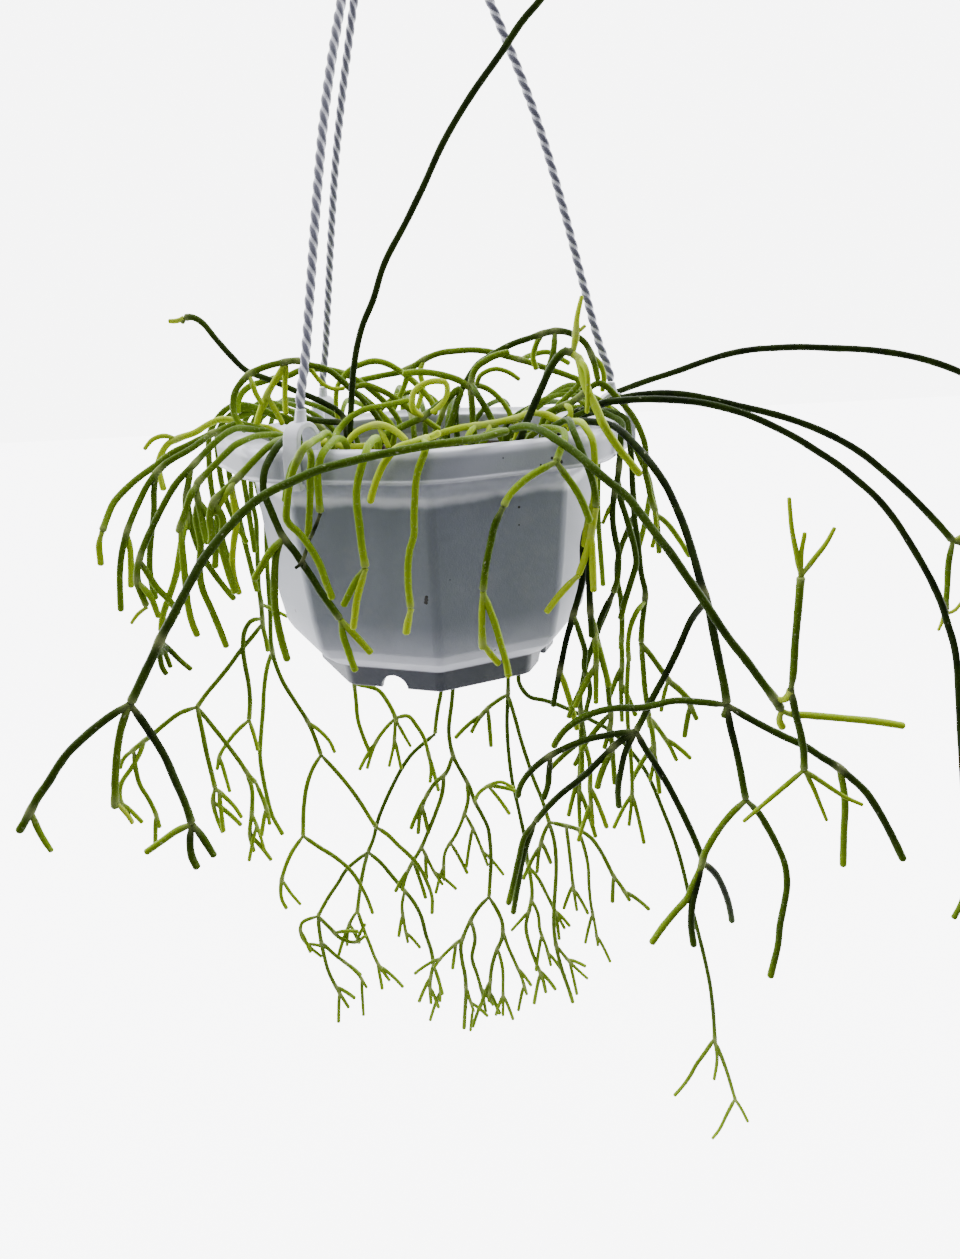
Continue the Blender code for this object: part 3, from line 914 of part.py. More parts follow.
def pixels_of(places):
    """Where places appear in the view."""
    forward, right, up = sight_axes()
    away = places - EYE
    ahead = away @ forward
    return np.stack([MIDDLE_PIXEL[0] + FOCAL_PIXELS * (away @ right) / ahead,
                     MIDDLE_PIXEL[1] - FOCAL_PIXELS * (away @ up) / ahead], axis=1)


def run_depths(knots, start):
    """A depth for every knot: given ones are kept, those between run evenly in the picture."""
    pixels = np.array([knot[:2] for knot in knots], dtype=float)
    along = np.concatenate([[0], np.cumsum(np.linalg.norm(np.diff(pixels, axis=0), axis=1))])
    given = [(along[number], knot[2] * MM) for number, knot in enumerate(knots) if len(knot) > 2]
    if start is not None:
        given = [(0.0, start)] + [pair for pair in given if pair[0] > 0]
    return np.interp(along, [pair[0] for pair in given], [pair[1] for pair in given])


def lay_spray(root, branches):
    """Each branch as evenly spaced points, with the branch and the point that it grows from."""
    laid = []
    for number, (base, tip, age, *knots) in enumerate(branches):
        pixels = np.array([knot[:2] for knot in knots], dtype=float)
        if number == 0:
            places = spots(pixels, run_depths(knots, None))
            low = SOIL_TOP - RIM_DROP
            x, y = root[0] * MM, root[1] * MM
            foot = [(x, y, low - HOLE_DEPTH + SEAT_GAP), (x, y, low), (x, y, low + ROOT_RISE)]
            places = np.concatenate([foot, places])
            parent = (-1, 0)
        else:
            reach = [np.linalg.norm(pixels_of(other["points"]) - pixels[0], axis=1) for other in laid]
            holder = int(np.argmin([distance.min() for distance in reach]))
            joint = int(np.argmin(reach[holder]))
            origin = laid[holder]["points"][joint]
            places = spots(pixels, run_depths(knots, origin[1]))
            places[0] = origin
            parent = (holder, joint)
        points = even_steps(smooth_curve(places), STEP)
        share = np.linspace(0, 1, len(points))
        laid.append({"points": points, "radii": (base + (tip - base) * share) * MM / 2,
                     "age": age, "parent": parent})
    return laid


def octagon_gap(x, y, half_width, rounding):
    """Distance outside a round-cornered octagon, less than zero inside, and the way out."""
    turn = np.arctan2(y, x)
    face = np.round((turn - pi / 8) / (pi / 4)) * (pi / 4) + pi / 8
    across = x * np.cos(face) + y * np.sin(face)
    beside = -x * np.sin(face) + y * np.cos(face)
    core = half_width - rounding
    off = across - core
    past = np.maximum(np.abs(beside) - core * tan(pi / 8), 0.0) * (off > 0)
    ahead = np.maximum(off, 0.0)
    length = np.maximum(np.hypot(ahead, past), 1e-9)
    gap = length * (off > 0) + np.minimum(off, 0.0) - rounding
    out_across = np.where(off > 0, ahead / length, 1.0)
    out_beside = np.where(off > 0, past / length * np.sign(beside), 0.0)
    out = np.stack([out_across * np.cos(face) - out_beside * np.sin(face),
                    out_across * np.sin(face) + out_beside * np.cos(face)], axis=1)
    return gap, out


def keep_off_pot(points, radii):
    """Lift or push points that are in the pot's wall, its rim or the soil."""
    need = radii + POT_GAP
    height = points[:, 2] + RIM_DROP
    x, y = points[:, 0], points[:, 1]
    widths = [pair[0] * MM for pair in OUTSIDE[:9]]
    levels = [pair[1] * MM for pair in OUTSIDE[:9]]
    body_width = np.interp(height, levels, widths)
    rim_gap, rim_out = octagon_gap(x, y, RIM_APOTHEM, RIM_ROUND)
    body_gap, body_out = octagon_gap(x, y, body_width, BODY_ROUND)
    well_gap, well_out = octagon_gap(x, y, WELL_APOTHEM, BODY_ROUND)
    moved = points.copy()
    rim_top = RIM_BEAD + need
    rim_low = -SKIRT_HEIGHT - need
    at_rim = (height < rim_top) & (height > rim_low) & (rim_gap < need) & (well_gap > -need)
    rise = rim_top - height
    push_out = need - rim_gap
    push_in = need + well_gap
    goes_up = at_rim & (rise <= push_out) & (rise <= push_in)
    goes_out = at_rim & ~goes_up & (push_out <= push_in)
    goes_in = at_rim & ~goes_up & ~goes_out
    below = (height <= rim_low) & (height > -POT_HEIGHT - need) & (body_gap < need)
    below_out = below & (body_gap > DEEP_INSIDE)
    moved[goes_up, 2] += rise[goes_up]
    moved[goes_out, :2] += rim_out[goes_out] * push_out[goes_out, None]
    moved[goes_in, :2] -= well_out[goes_in] * push_in[goes_in, None]
    moved[below_out, :2] += body_out[below_out] * (need - body_gap)[below_out, None]
    inside = (well_gap < 0) & ~below_out
    floor = SOIL_TOP + SOIL_AIR + radii
    sunk = inside & (height < floor)
    moved[sunk, 2] += (floor - height)[sunk]
    return moved


def fixed_things():
    """Round samples on the cords and clips, which the stems bend round."""
    places = []
    radii = []
    for turn in CLIP_TURNS.values():
        line = cord_points(turn, STEP)
        places.append(line)
        radii.append(np.full(len(line), CORD_WIDTH / 2 + CORD_AIR))
        way = np.array([cos(radians(turn)), sin(radians(turn)), 0.0])
        side = np.array([-way[1], way[0], 0.0])
        spots_over = [(CLIP_MIDDLE + reach * MM, height) for reach, height in CLIP_SAMPLES]
        spots_over += [(clip_leg(turn) + reach * MM, height) for reach, height in LEG_SAMPLES]
        clip = []
        for reach, height in spots_over:
            for shift in CLIP_SAMPLE_ROWS:
                place = way * reach + side * shift
                clip.append(place + np.array([0, 0, height * MM - RIM_DROP]))
        places.append(np.array(clip))
        radii.append(np.full(len(clip), CLIP_SAMPLE_RADIUS))
    things = [np.full(len(group), number) for number, group in enumerate(places)]
    return np.concatenate(places), np.concatenate(radii), np.concatenate(things)


def close_pairs(pixels, radii, owners, moving):
    """Samples of different sprays that lie over each other in the view."""
    scale = FOCAL_PIXELS / NEAREST_STEM
    pairs = []
    for start in range(0, len(pixels), BLOCK):
        block = slice(start, start + BLOCK)
        distance = np.abs(pixels[block, None] - pixels[None]).max(axis=2)
        near = distance < (radii[block, None] + radii[None] + CLEARANCE) * scale
        near &= owners[block, None] != owners[None]
        near &= moving[block, None] | moving[None]
        first, second = np.nonzero(near)
        first = first + start
        keep = first < second
        pairs.append(np.stack([first[keep], second[keep]], axis=1))
    return np.concatenate(pairs)


def crossing_order(pairs, branches, depth):
    """Which sample of each pair stays in front, alike along each crossing of two branches."""
    first, second = pairs[:, 0], pairs[:, 1]
    order = np.lexsort((first, branches[second], branches[first]))
    first, second = first[order], second[order]
    fresh = np.ones(len(order), dtype=bool)
    fresh[1:] = ((np.diff(branches[first]) != 0) | (np.diff(branches[second]) != 0)
                 | (np.diff(first) > SAME_CROSSING))
    crossing = np.cumsum(fresh) - 1
    total = np.bincount(crossing, weights=(depth[second] - depth[first]))
    sign = np.where(total[crossing] >= 0, 1.0, -1.0)
    return first, second, sign


def settle(sprays):
    """Bend the sprays clear of each other along the line of sight, and clear of the rest."""
    all_points, all_radii, owners, branches, parents, before, after = [], [], [], [], [], [], []
    held = []
    starts = {}
    count = 0
    for number, laid in enumerate(sprays):
        for branch, piece in enumerate(laid):
            size = len(piece["points"])
            starts[number, branch] = count
            all_points.append(piece["points"])
            all_radii.append(piece["radii"])
            owners += [number] * size
            branches += [len(starts)] * size
            before += [count] + list(range(count, count + size - 1))
            after += list(range(count + 1, count + size)) + [count + size - 1]
            if branch == 0:
                low = piece["points"][:, 2] < SOIL_TOP - RIM_DROP + ROOT_RISE * 0.8
                held += list(low & (np.arange(size) < 8))
            else:
                held += [False] * size
                holder, joint = piece["parent"]
                parents.append((count, starts[number, holder] + joint))
            count += size
    fixed_places, fixed_radii, fixed_numbers = fixed_things()
    places = np.concatenate(all_points + [fixed_places])
    radii = np.concatenate(all_radii + [fixed_radii])
    extra = len(fixed_places)
    owners = np.array(owners + [-1] * extra)
    branches = np.concatenate([branches, -1 - fixed_numbers])
    moving = owners >= 0
    held = np.array(held + [True] * extra)
    before = np.array(before)
    after = np.array(after)
    children = np.array([pair[0] for pair in parents])
    joints = np.array([pair[1] for pair in parents])

    sight = places - EYE
    sight /= np.linalg.norm(sight, axis=1)[:, None]
    depth = np.linalg.norm(places - EYE, axis=1)
    pairs = close_pairs(pixels_of(places), radii, owners, moving)
    first, second, sign = crossing_order(pairs, branches, depth)
    need = radii[first] + radii[second] + CLEARANCE
    share_first = np.where(held[first], 0.0, np.where(held[second], 1.0, 0.5))
    share_second = np.where(held[second], 0.0, np.where(held[first], 1.0, 0.5))
    shift = np.zeros_like(places)
    total = len(places)
    for _ in range(SETTLE_ROUNDS):
        now = places + shift
        apart = now[second] - now[first]
        along = np.einsum('ij,ij->i', apart, sight[first])
        beside = np.einsum('ij,ij->i', apart, apart) - along ** 2
        wanted = np.sqrt(np.maximum(need ** 2 - beside, 0.0))
        short = np.maximum(wanted - along * sign, 0.0) * (wanted > 0)
        active = short > 0
        push = short * sign * PUSH
        amount = np.bincount(first, weights=-push * share_first, minlength=total)
        amount += np.bincount(second, weights=push * share_second, minlength=total)
        crowd = np.bincount(first, weights=active, minlength=total)
        crowd += np.bincount(second, weights=active, minlength=total)
        shift += sight * (amount / np.maximum(crowd * CROWD, 1.0))[:, None]
        stems = shift[:count]
        stems += SOFTEN * ((stems[before] + stems[after]) / 2 - stems)
        stems[children] = stems[joints]
        clear = keep_off_pot(places[:count] + stems, radii[:count])
        shift[:count] = clear - places[:count]
        shift[held] = 0.0
    settled = places + shift
    for number, laid in enumerate(sprays):
        for branch, piece in enumerate(laid):
            start = starts[number, branch]
            piece["points"] = settled[start:start + len(piece["points"])]
    return sprays


def ring_places(points):
    """The points that get a ring: as few as follow the curve within CHORD_ERROR."""
    in_soil = int(np.sum(points[:8, 2] < SOIL_TOP - RIM_DROP + 2 * MM)) if is_root(points[0]) else 0
    kept = [0, in_soil] if in_soil else [0]
    end = kept[-1] + 2
    while end < len(points):
        start = kept[-1]
        chord = points[end] - points[start]
        inner = points[start + 1:end] - points[start]
        off = np.linalg.norm(np.cross(inner, chord / np.linalg.norm(chord)), axis=1).max()
        if off > CHORD_ERROR or (end - start) * STEP > RING_SPACING:
            kept.append(end - 1)
        end += 1
    kept.append(len(points) - 1)
    return kept


def is_root(place):
    """Whether a branch starts in the soil."""
    return place[2] < SOIL_TOP - RIM_DROP - HOLE_DEPTH / 2 and np.hypot(place[0], place[1]) < 70 * MM


def stem_tube(name, points, radii, spin, finish):
    """A tube of three or four sides along a branch."""
    sides = 4 if radii[0] * 2 >= THICK_STEM else 3
    steps = np.diff(points, axis=0)
    steps /= np.linalg.norm(steps, axis=1)[:, None]
    tangents = np.concatenate([steps[:1], steps[:-1] + steps[1:], steps[-1:]])
    tangents /= np.linalg.norm(tangents, axis=1)[:, None]
    side = np.cross(tangents[0], (0.31, 0.22, 0.93) if abs(tangents[0][2]) < 0.8 else (1.0, 0.2, 0.1))
    rings = []
    turns = spin + np.arange(sides) * 2 * pi / sides
    for place, tangent, radius in zip(points, tangents, radii * CORNER_OUT):
        side = side - tangent * np.dot(side, tangent)
        side /= np.linalg.norm(side)
        other = np.cross(tangent, side)
        rings.append(place + radius * (np.cos(turns)[:, None] * side + np.sin(turns)[:, None] * other))
    return put_object(name, *skin(rings), finish, 80)


def nearest_on(line, place):
    """The point of a line of straight runs that is nearest to a place."""
    run = np.diff(line, axis=0)
    share = np.sum((place - line[:-1]) * run, axis=1) / np.sum(run * run, axis=1)
    spots_on = line[:-1] + run * np.clip(share, 0, 1)[:, None]
    return spots_on[np.argmin(np.linalg.norm(spots_on - place, axis=1))]


def make_spray(name, laid, finish):
    """All branches of a spray, joined in one body."""
    holders = {piece["parent"][0] for piece in laid}
    lines = []
    tubes = []
    for number, piece in enumerate(laid):
        kept = ring_places(piece["points"])
        line = piece["points"][kept]
        if number:
            line[0] = nearest_on(lines[piece["parent"][0]], line[0])
            out = line[1] - line[0]
            line[0] -= out / np.linalg.norm(out) * piece["radii"][0] * (0.4 + 0.1 * (number % 4))
        lines.append(line)
        if len(piece["points"]) * STEP > SHORTEST_TWIG or number in holders:
            tubes.append(stem_tube(name, line, piece["radii"][kept], 0.4 * number, finish))
    if len(tubes) > 1:
        cut(tubes[0], tubes[1:], 'UNION')
    tubes[0].name = name
    return tubes[0]


def fill_sprays():
    """Short sprays over the back of the rim, by one rule: a root, a turn and a length each."""
    draw = np.random.default_rng(FILL_SEED)
    made = {}
    for number, turn in enumerate(FILL_TURNS):
        way = np.array([cos(radians(turn)), sin(radians(turn)), 0.0])
        side = np.array([-way[1], way[0], 0.0])
        root = way * FILL_ROOT
        low = SOIL_TOP - RIM_DROP
        laid = []
        for branch in range(FILL_BRANCHES):
            lean = (branch - 1) * FILL_LEAN + draw.uniform(-2, 2) * MM
            length = draw.uniform(*FILL_LENGTHS) * (FILL_FIRST if branch == 0 else 1.0)
            edge = rim_reach(turn) + (4 + 3 * branch) * MM
            route = [way * (edge * 0.93) + side * lean * 0.4 + (0, 0, (9 + 2 * branch) * MM),
                     way * (edge + 1 * MM) + side * lean * 0.7 + (0, 0, 4 * MM),
                     way * (edge + 4 * MM) + side * lean + (0, 0, -14 * MM),
                     way * (edge + 2 * MM) + side * lean * 1.6 + (0, 0, -14 * MM - length * 0.5),
                     way * (edge + draw.uniform(-6, 4) * MM) + side * lean * 2.4 + (0, 0, -14 * MM - length)]
            route = np.array(route) - (0, 0, RIM_DROP)
            if branch == 0:
                foot = np.array([root + (0, 0, low - HOLE_DEPTH + SEAT_GAP), root + (0, 0, low),
                                 root + (0, 0, low + ROOT_RISE)])
                route = np.concatenate([foot, route])
                parent = (-1, 0)
            else:
                joint = FILL_JOINT + branch
                route = np.concatenate([[laid[0]["points"][joint]], route])
                parent = (0, joint)
            points = even_steps(smooth_curve(route), STEP)
            radii = np.linspace(*FILL_WIDTHS, len(points)) / 2
            laid.append({"points": points, "radii": radii, "age": 0.3, "parent": parent})
        made[f"stem_back_fill_{number + 1}"] = laid
    return made


def main():
    """Make every piece."""
    clear_scene()
    white_plastic = material("moulded white plastic", (0.62, 0.64, 0.68), 0.45)
    cord_plastic = material("twisted cord", (0.70, 0.71, 0.73), 0.5)
    compost = material("dark compost", (0.035, 0.026, 0.02), 0.95)
    greens = (material("old dark stem", (0.03, 0.065, 0.02), 0.5),
              material("mid green stem", (0.10, 0.20, 0.03), 0.5),
              material("new lime stem", (0.32, 0.47, 0.06), 0.5))
    names = list(SPRAYS)
    sprays = [lay_spray(*SPRAYS[name]) for name in names]
    for name, laid in fill_sprays().items():
        names.append(name)
        sprays.append(laid)
    sprays = settle(sprays)
    make_pot(white_plastic)
    holes = [(tuple(laid[0]["points"][0][:2]), laid[0]["radii"][0]) for laid in sprays]
    make_soil(compost, holes)
    make_hook(white_plastic)
    for name, turn in CLIP_TURNS.items():
        make_clip(f"rim_clip_{name}", turn, white_plastic)
        make_cord(f"hanger_cord_{name}", turn, cord_plastic)
    for name, laid in zip(names, sprays):
        age = np.average([piece["age"] for piece in laid], weights=[len(piece["points"]) for piece in laid])
        make_spray(name, laid, greens[int(age > 0.22) + int(age > 0.6)])


main()
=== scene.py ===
import json

import bpy
import numpy as np
from math import cos, pi, radians, sin, tan
from mathutils import Matrix, Vector

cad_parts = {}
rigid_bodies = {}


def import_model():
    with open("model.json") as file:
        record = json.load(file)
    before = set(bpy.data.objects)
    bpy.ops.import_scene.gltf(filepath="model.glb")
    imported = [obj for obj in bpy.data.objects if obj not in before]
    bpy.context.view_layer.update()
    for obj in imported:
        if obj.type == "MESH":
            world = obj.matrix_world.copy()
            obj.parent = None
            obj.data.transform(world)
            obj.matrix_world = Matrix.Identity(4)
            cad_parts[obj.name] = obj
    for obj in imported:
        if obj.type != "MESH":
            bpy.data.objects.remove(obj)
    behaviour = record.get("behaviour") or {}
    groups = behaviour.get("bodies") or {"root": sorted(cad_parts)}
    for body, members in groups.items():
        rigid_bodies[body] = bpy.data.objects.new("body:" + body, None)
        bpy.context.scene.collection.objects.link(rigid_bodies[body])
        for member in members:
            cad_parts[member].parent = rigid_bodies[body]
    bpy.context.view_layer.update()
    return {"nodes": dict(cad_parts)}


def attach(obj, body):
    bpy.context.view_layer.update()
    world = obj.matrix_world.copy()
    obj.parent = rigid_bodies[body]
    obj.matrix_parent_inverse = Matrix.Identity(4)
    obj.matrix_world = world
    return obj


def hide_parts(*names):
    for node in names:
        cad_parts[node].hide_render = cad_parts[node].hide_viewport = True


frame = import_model()
print("frame loaded:", len(frame["nodes"]), "nodes")

mm = 0.001
rimDrop = 293.0 * mm             # the rim plane lies this far below the hook's resting point

# the camera, and the view that the stems' routes were read in: its pixels are those of a 960 x 1259 picture
view = {
    "eye": np.array([0.0, -0.467, 0.048 - rimDrop]),
    "turn": radians(2.69),
    "pitch": radians(17.81),
    "roll": radians(2.57),
    "focalPixels": 955.0,
    "middle": (480.0, 629.5),
    "height": 1259.0,
}


def sightAxes():
    # forward, right and up of the view, as unit vectors
    turn, pitch, roll = view["turn"], view["pitch"], view["roll"]
    forward = np.array([sin(turn) * cos(pitch), cos(turn) * cos(pitch), -sin(pitch)])
    level = np.array([cos(turn), -sin(turn), 0.0])
    above = np.cross(level, forward)
    right = level * cos(roll) - above * sin(roll)
    up = level * sin(roll) + above * cos(roll)
    return forward, right, up


def placeCamera():
    lens = bpy.data.cameras.new("camera")
    lens.sensor_fit = 'VERTICAL'
    lens.sensor_height = 36.0
    lens.lens = view["focalPixels"] / view["height"] * lens.sensor_height
    lens.clip_start = 0.01
    camera = bpy.data.objects.new("camera", lens)
    forward, right, up = sightAxes()
    facing = Matrix([right, up, -forward]).transposed().to_4x4()
    camera.matrix_world = Matrix.Translation(Vector(view["eye"])) @ facing
    bpy.context.collection.objects.link(camera)
    bpy.context.scene.camera = camera


placeCamera()
print("camera placed")


# Shapes: rings of points carried along lines, worked out as whole arrays

def smoothCurve(points, perSpan=12):
    # a cubic through the points: each inner tangent is the mean of its two slopes,
    # each weighted with the other side's length
    gaps = np.maximum(np.linalg.norm(np.diff(points, axis=0), axis=1), 1e-6)
    slopes = np.diff(points, axis=0) / gaps[:, None]
    inner = (slopes[:-1] * gaps[1:, None] + slopes[1:] * gaps[:-1, None]) / (gaps[1:] + gaps[:-1])[:, None]
    tangents = np.concatenate([slopes[:1], inner, slopes[-1:]])
    share = np.linspace(0, 1, perSpan, endpoint=False)[None, :, None]
    start = points[:-1, None] * (2 * share ** 3 - 3 * share ** 2 + 1)
    end = points[1:, None] * (3 * share ** 2 - 2 * share ** 3)
    leave = tangents[:-1, None] * gaps[:, None, None] * (share ** 3 - 2 * share ** 2 + share)
    arrive = tangents[1:, None] * gaps[:, None, None] * (share ** 3 - share ** 2)
    curve = (start + end + leave + arrive).reshape(-1, points.shape[1])
    return np.concatenate([curve, points[-1:]])


def lengthsAlong(line):
    return np.concatenate([[0], np.cumsum(np.linalg.norm(np.diff(line, axis=0), axis=1))])


def evenSteps(curve, spacing):
    # the same curve as points at even distances along it
    along = lengthsAlong(curve)
    count = max(int(round(along[-1] / spacing)), 2) + 1
    places = np.linspace(0, along[-1], count)
    return np.stack([np.interp(places, along, curve[:, axis]) for axis in range(curve.shape[1])], axis=1)


def ringDirections(line, turns):
    # unit vectors square to the line: cos(turn) times one side direction plus sin(turn) times the other;
    # the side direction leans on the axis that the line runs along least
    steps = np.diff(line, axis=0)
    steps /= np.linalg.norm(steps, axis=1)[:, None]
    tangents = np.concatenate([steps[:1], steps[:-1] + steps[1:], steps[-1:]])
    tangents /= np.linalg.norm(tangents, axis=1)[:, None]
    axes = [(x, y, z) for x in (-1, 0, 1) for y in (-1, 0, 1) for z in (0, 1) if x or y or z]
    axes = np.array(axes, float)
    axes /= np.linalg.norm(axes, axis=1)[:, None]
    axis = axes[np.argmin(np.abs(tangents @ axes.T).max(axis=0))]
    side = axis - tangents * (tangents @ axis)[:, None]
    side /= np.linalg.norm(side, axis=1)[:, None]
    other = np.cross(tangents, side)
    return np.cos(turns)[..., None] * side[:, None] + np.sin(turns)[..., None] * other[:, None]


def ringFaces(levels, sides, first=0):
    # quads between neighbouring rings of a stack, facing outwards where the rings run anticlockwise upwards
    ring = np.arange(levels - 1)[:, None] * sides + first
    side = np.arange(sides)[None]
    following = (side + 1) % sides
    quads = [ring + side, ring + following, ring + sides + following, ring + sides + side]
    return np.stack(quads, axis=-1).reshape(-1, 4)


def fanFaces(ring, pole, upwards):
    # triangles from a ring's points to one middle point
    following = np.roll(ring, -1)
    order = (ring, following) if upwards else (following, ring)
    return np.stack([*order, np.full(len(ring), pole)], axis=1)


def closedStack(rings):
    # a stack of rings closed by a middle point at both ends: places, quads and triangles
    levels, sides = rings.shape[:2]
    places = np.concatenate([rings.reshape(-1, 3), [rings[0].mean(axis=0)], [rings[-1].mean(axis=0)]])
    count = levels * sides
    start = fanFaces(np.arange(sides), count, False)
    end = fanFaces(np.arange(count - sides, count), count + 1, True)
    return places, ringFaces(levels, sides), np.concatenate([start, end])


def makeMesh(name, places, quads, triangles, finish, marks=None):
    # one mesh object at the origin, its places in the mesh, with a named value for each point in marks
    mesh = bpy.data.meshes.new(name)
    corners = np.concatenate([quads.ravel(), triangles.ravel()]).astype(np.int32)
    starts = np.concatenate([np.arange(len(quads)) * 4, quads.size + np.arange(len(triangles)) * 3])
    mesh.vertices.add(len(places))
    mesh.vertices.foreach_set("co", np.asarray(places, np.float32).ravel())
    mesh.loops.add(len(corners))
    mesh.loops.foreach_set("vertex_index", corners)
    mesh.polygons.add(len(starts))
    mesh.polygons.foreach_set("loop_start", starts.astype(np.int32))
    mesh.update(calc_edges=True)
    mesh.shade_smooth()
    for label, values in (marks or {}).items():
        mesh.attributes.new(label, 'FLOAT', 'POINT').data.foreach_set("value", values.astype(np.float32))
    mesh.materials.append(finish)
    piece = bpy.data.objects.new(name, mesh)
    bpy.context.collection.objects.link(piece)
    return piece


def joined(parts):
    # several (places, quads, triangles) as one
    offsets = np.cumsum([0] + [len(part[0]) for part in parts[:-1]])
    quads = np.concatenate([part[1] + offset for part, offset in zip(parts, offsets)])
    triangles = np.concatenate([part[2] + offset for part, offset in zip(parts, offsets)])
    return np.concatenate([part[0] for part in parts]), quads, triangles


def applyModifiers(piece):
    bpy.context.view_layer.objects.active = piece
    for change in list(piece.modifiers):
        bpy.ops.object.modifier_apply(modifier=change.name)


def cutAway(piece, cutters):
    # one Boolean with all the cutters, which are then removed
    group = bpy.data.collections.new("cutters")
    bpy.context.scene.collection.children.link(group)
    for tool in cutters:
        bpy.context.collection.objects.unlink(tool)
        group.objects.link(tool)
    change = piece.modifiers.new("cut", 'BOOLEAN')
    change.operation = 'DIFFERENCE'
    change.solver = 'EXACT'
    change.operand_type = 'COLLECTION'
    change.collection = group
    applyModifiers(piece)
    for tool in cutters:
        bpy.data.objects.remove(tool, do_unlink=True)
    bpy.data.collections.remove(group)


def softenEdges(piece, sharpFrom, width=0.0):
    # a small round on sharp edges, with the flat faces kept flat in the shading
    piece.data.set_sharp_from_angle(angle=radians(sharpFrom))
    if width:
        bevel = piece.modifiers.new("edges", 'BEVEL')
        bevel.width = width
        bevel.segments = 3
        bevel.limit_method = 'ANGLE'
        bevel.angle_limit = radians(sharpFrom)
        bevel.harden_normals = False
    flat = piece.modifiers.new("shading", 'WEIGHTED_NORMAL')
    flat.weight = 100
    flat.keep_sharp = True
    applyModifiers(piece)


def settleIn(piece, slot, *nodes):
    # the piece rides on the object's one body and stands for its node
    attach(piece, "root")
    if nodes:
        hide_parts(*nodes)
    return piece


def lattice(seed, size=64):
    return np.random.default_rng(seed).uniform(-1, 1, (size, size))


def patchNoise(x, y, cell, seed):
    # a random value on each corner of a square lattice, blended smoothly over its cells
    values = lattice(seed)
    size = len(values)
    u, v = x / cell + size / 2, y / cell + size / 2
    column, row = np.floor(u).astype(int), np.floor(v).astype(int)
    fu, fv = u - column, v - row
    fu, fv = fu * fu * (3 - 2 * fu), fv * fv * (3 - 2 * fv)

    def pick(i, j):
        return values[(column + i) % size, (row + j) % size]

    low = pick(0, 0) * (1 - fu) + pick(1, 0) * fu
    high = pick(0, 1) * (1 - fu) + pick(1, 1) * fu
    return low * (1 - fv) + high * fv


# Materials

class NodeSheet:
    # nodes of one material, world or group, placed from left to right in the order they are made
    def __init__(self, tree):
        self.tree = tree
        self.count = 0

    def add(self, kind, **settings):
        node = self.tree.nodes.new(kind)
        node.location = (220 * (self.count % 8) - 1500, -300 * (self.count // 8))
        self.count += 1
        for key, value in settings.items():
            if key.startswith("in_"):
                label = key[3:].replace("_", " ")
                node.inputs[int(label) if label.isdigit() else label].default_value = value
            else:
                setattr(node, key, value)
        return node

    def join(self, source, target):
        self.tree.links.new(source, target)

    def math(self, operation, first, second=None, third=None, clamp=False):
        node = self.add('ShaderNodeMath', operation=operation, use_clamp=clamp)
        for socket, value in zip(node.inputs, (first, second, third)):
            if value is None:
                continue
            if isinstance(value, (int, float)):
                socket.default_value = value
            else:
                self.join(value, socket)
        return node.outputs[0]

    def spread(self, value, low, high, toLow=0.0, toHigh=1.0):
        # a smooth step of a value between two limits
        node = self.add('ShaderNodeMapRange', interpolation_type='SMOOTHSTEP')
        node.inputs["From Min"].default_value = low
        node.inputs["From Max"].default_value = high
        node.inputs["To Min"].default_value = toLow
        node.inputs["To Max"].default_value = toHigh
        self.join(value, node.inputs["Value"])
        return node.outputs["Result"]

    def mix(self, share, first, second, blend='MIX'):
        node = self.add('ShaderNodeMix', data_type='RGBA', blend_type=blend)
        for socket, value in ((node.inputs[0], share), (node.inputs[6], first), (node.inputs[7], second)):
            if isinstance(value, (int, float)):
                socket.default_value = value
            elif isinstance(value, tuple):
                socket.default_value = (*value, 1.0)
            else:
                self.join(value, socket)
        return node.outputs[2]

    def noise(self, place, scale, detail=2.0, roughness=0.5):
        node = self.add('ShaderNodeTexNoise', in_Scale=scale, in_Detail=detail, in_Roughness=roughness)
        self.join(place, node.inputs["Vector"])
        return node.outputs["Fac"]


def newGroup(name, inputs, outputs):
    group = bpy.data.node_groups.new(name, 'ShaderNodeTree')
    for label, kind, value in inputs:
        socket = group.interface.new_socket(label, in_out='INPUT', socket_type=kind)
        socket.default_value = value
    for label, kind in outputs:
        group.interface.new_socket(label, in_out='OUTPUT', socket_type=kind)
    sheet = NodeSheet(group)
    return group, sheet, sheet.add('NodeGroupInput'), sheet.add('NodeGroupOutput')


def newMaterial(name, roughness=0.5):
    material = bpy.data.materials.new(name)
    material.use_nodes = True
    sheet = NodeSheet(material.node_tree)
    shader = material.node_tree.nodes["Principled BSDF"]
    shader.inputs["Roughness"].default_value = roughness
    return material, sheet, shader


def addBump(sheet, shader, height, distance, strength=1.0):
    bump = sheet.add('ShaderNodeBump', in_Strength=strength, in_Distance=distance)
    sheet.join(height, bump.inputs["Height"])
    sheet.join(bump.outputs["Normal"], shader.inputs["Normal"])


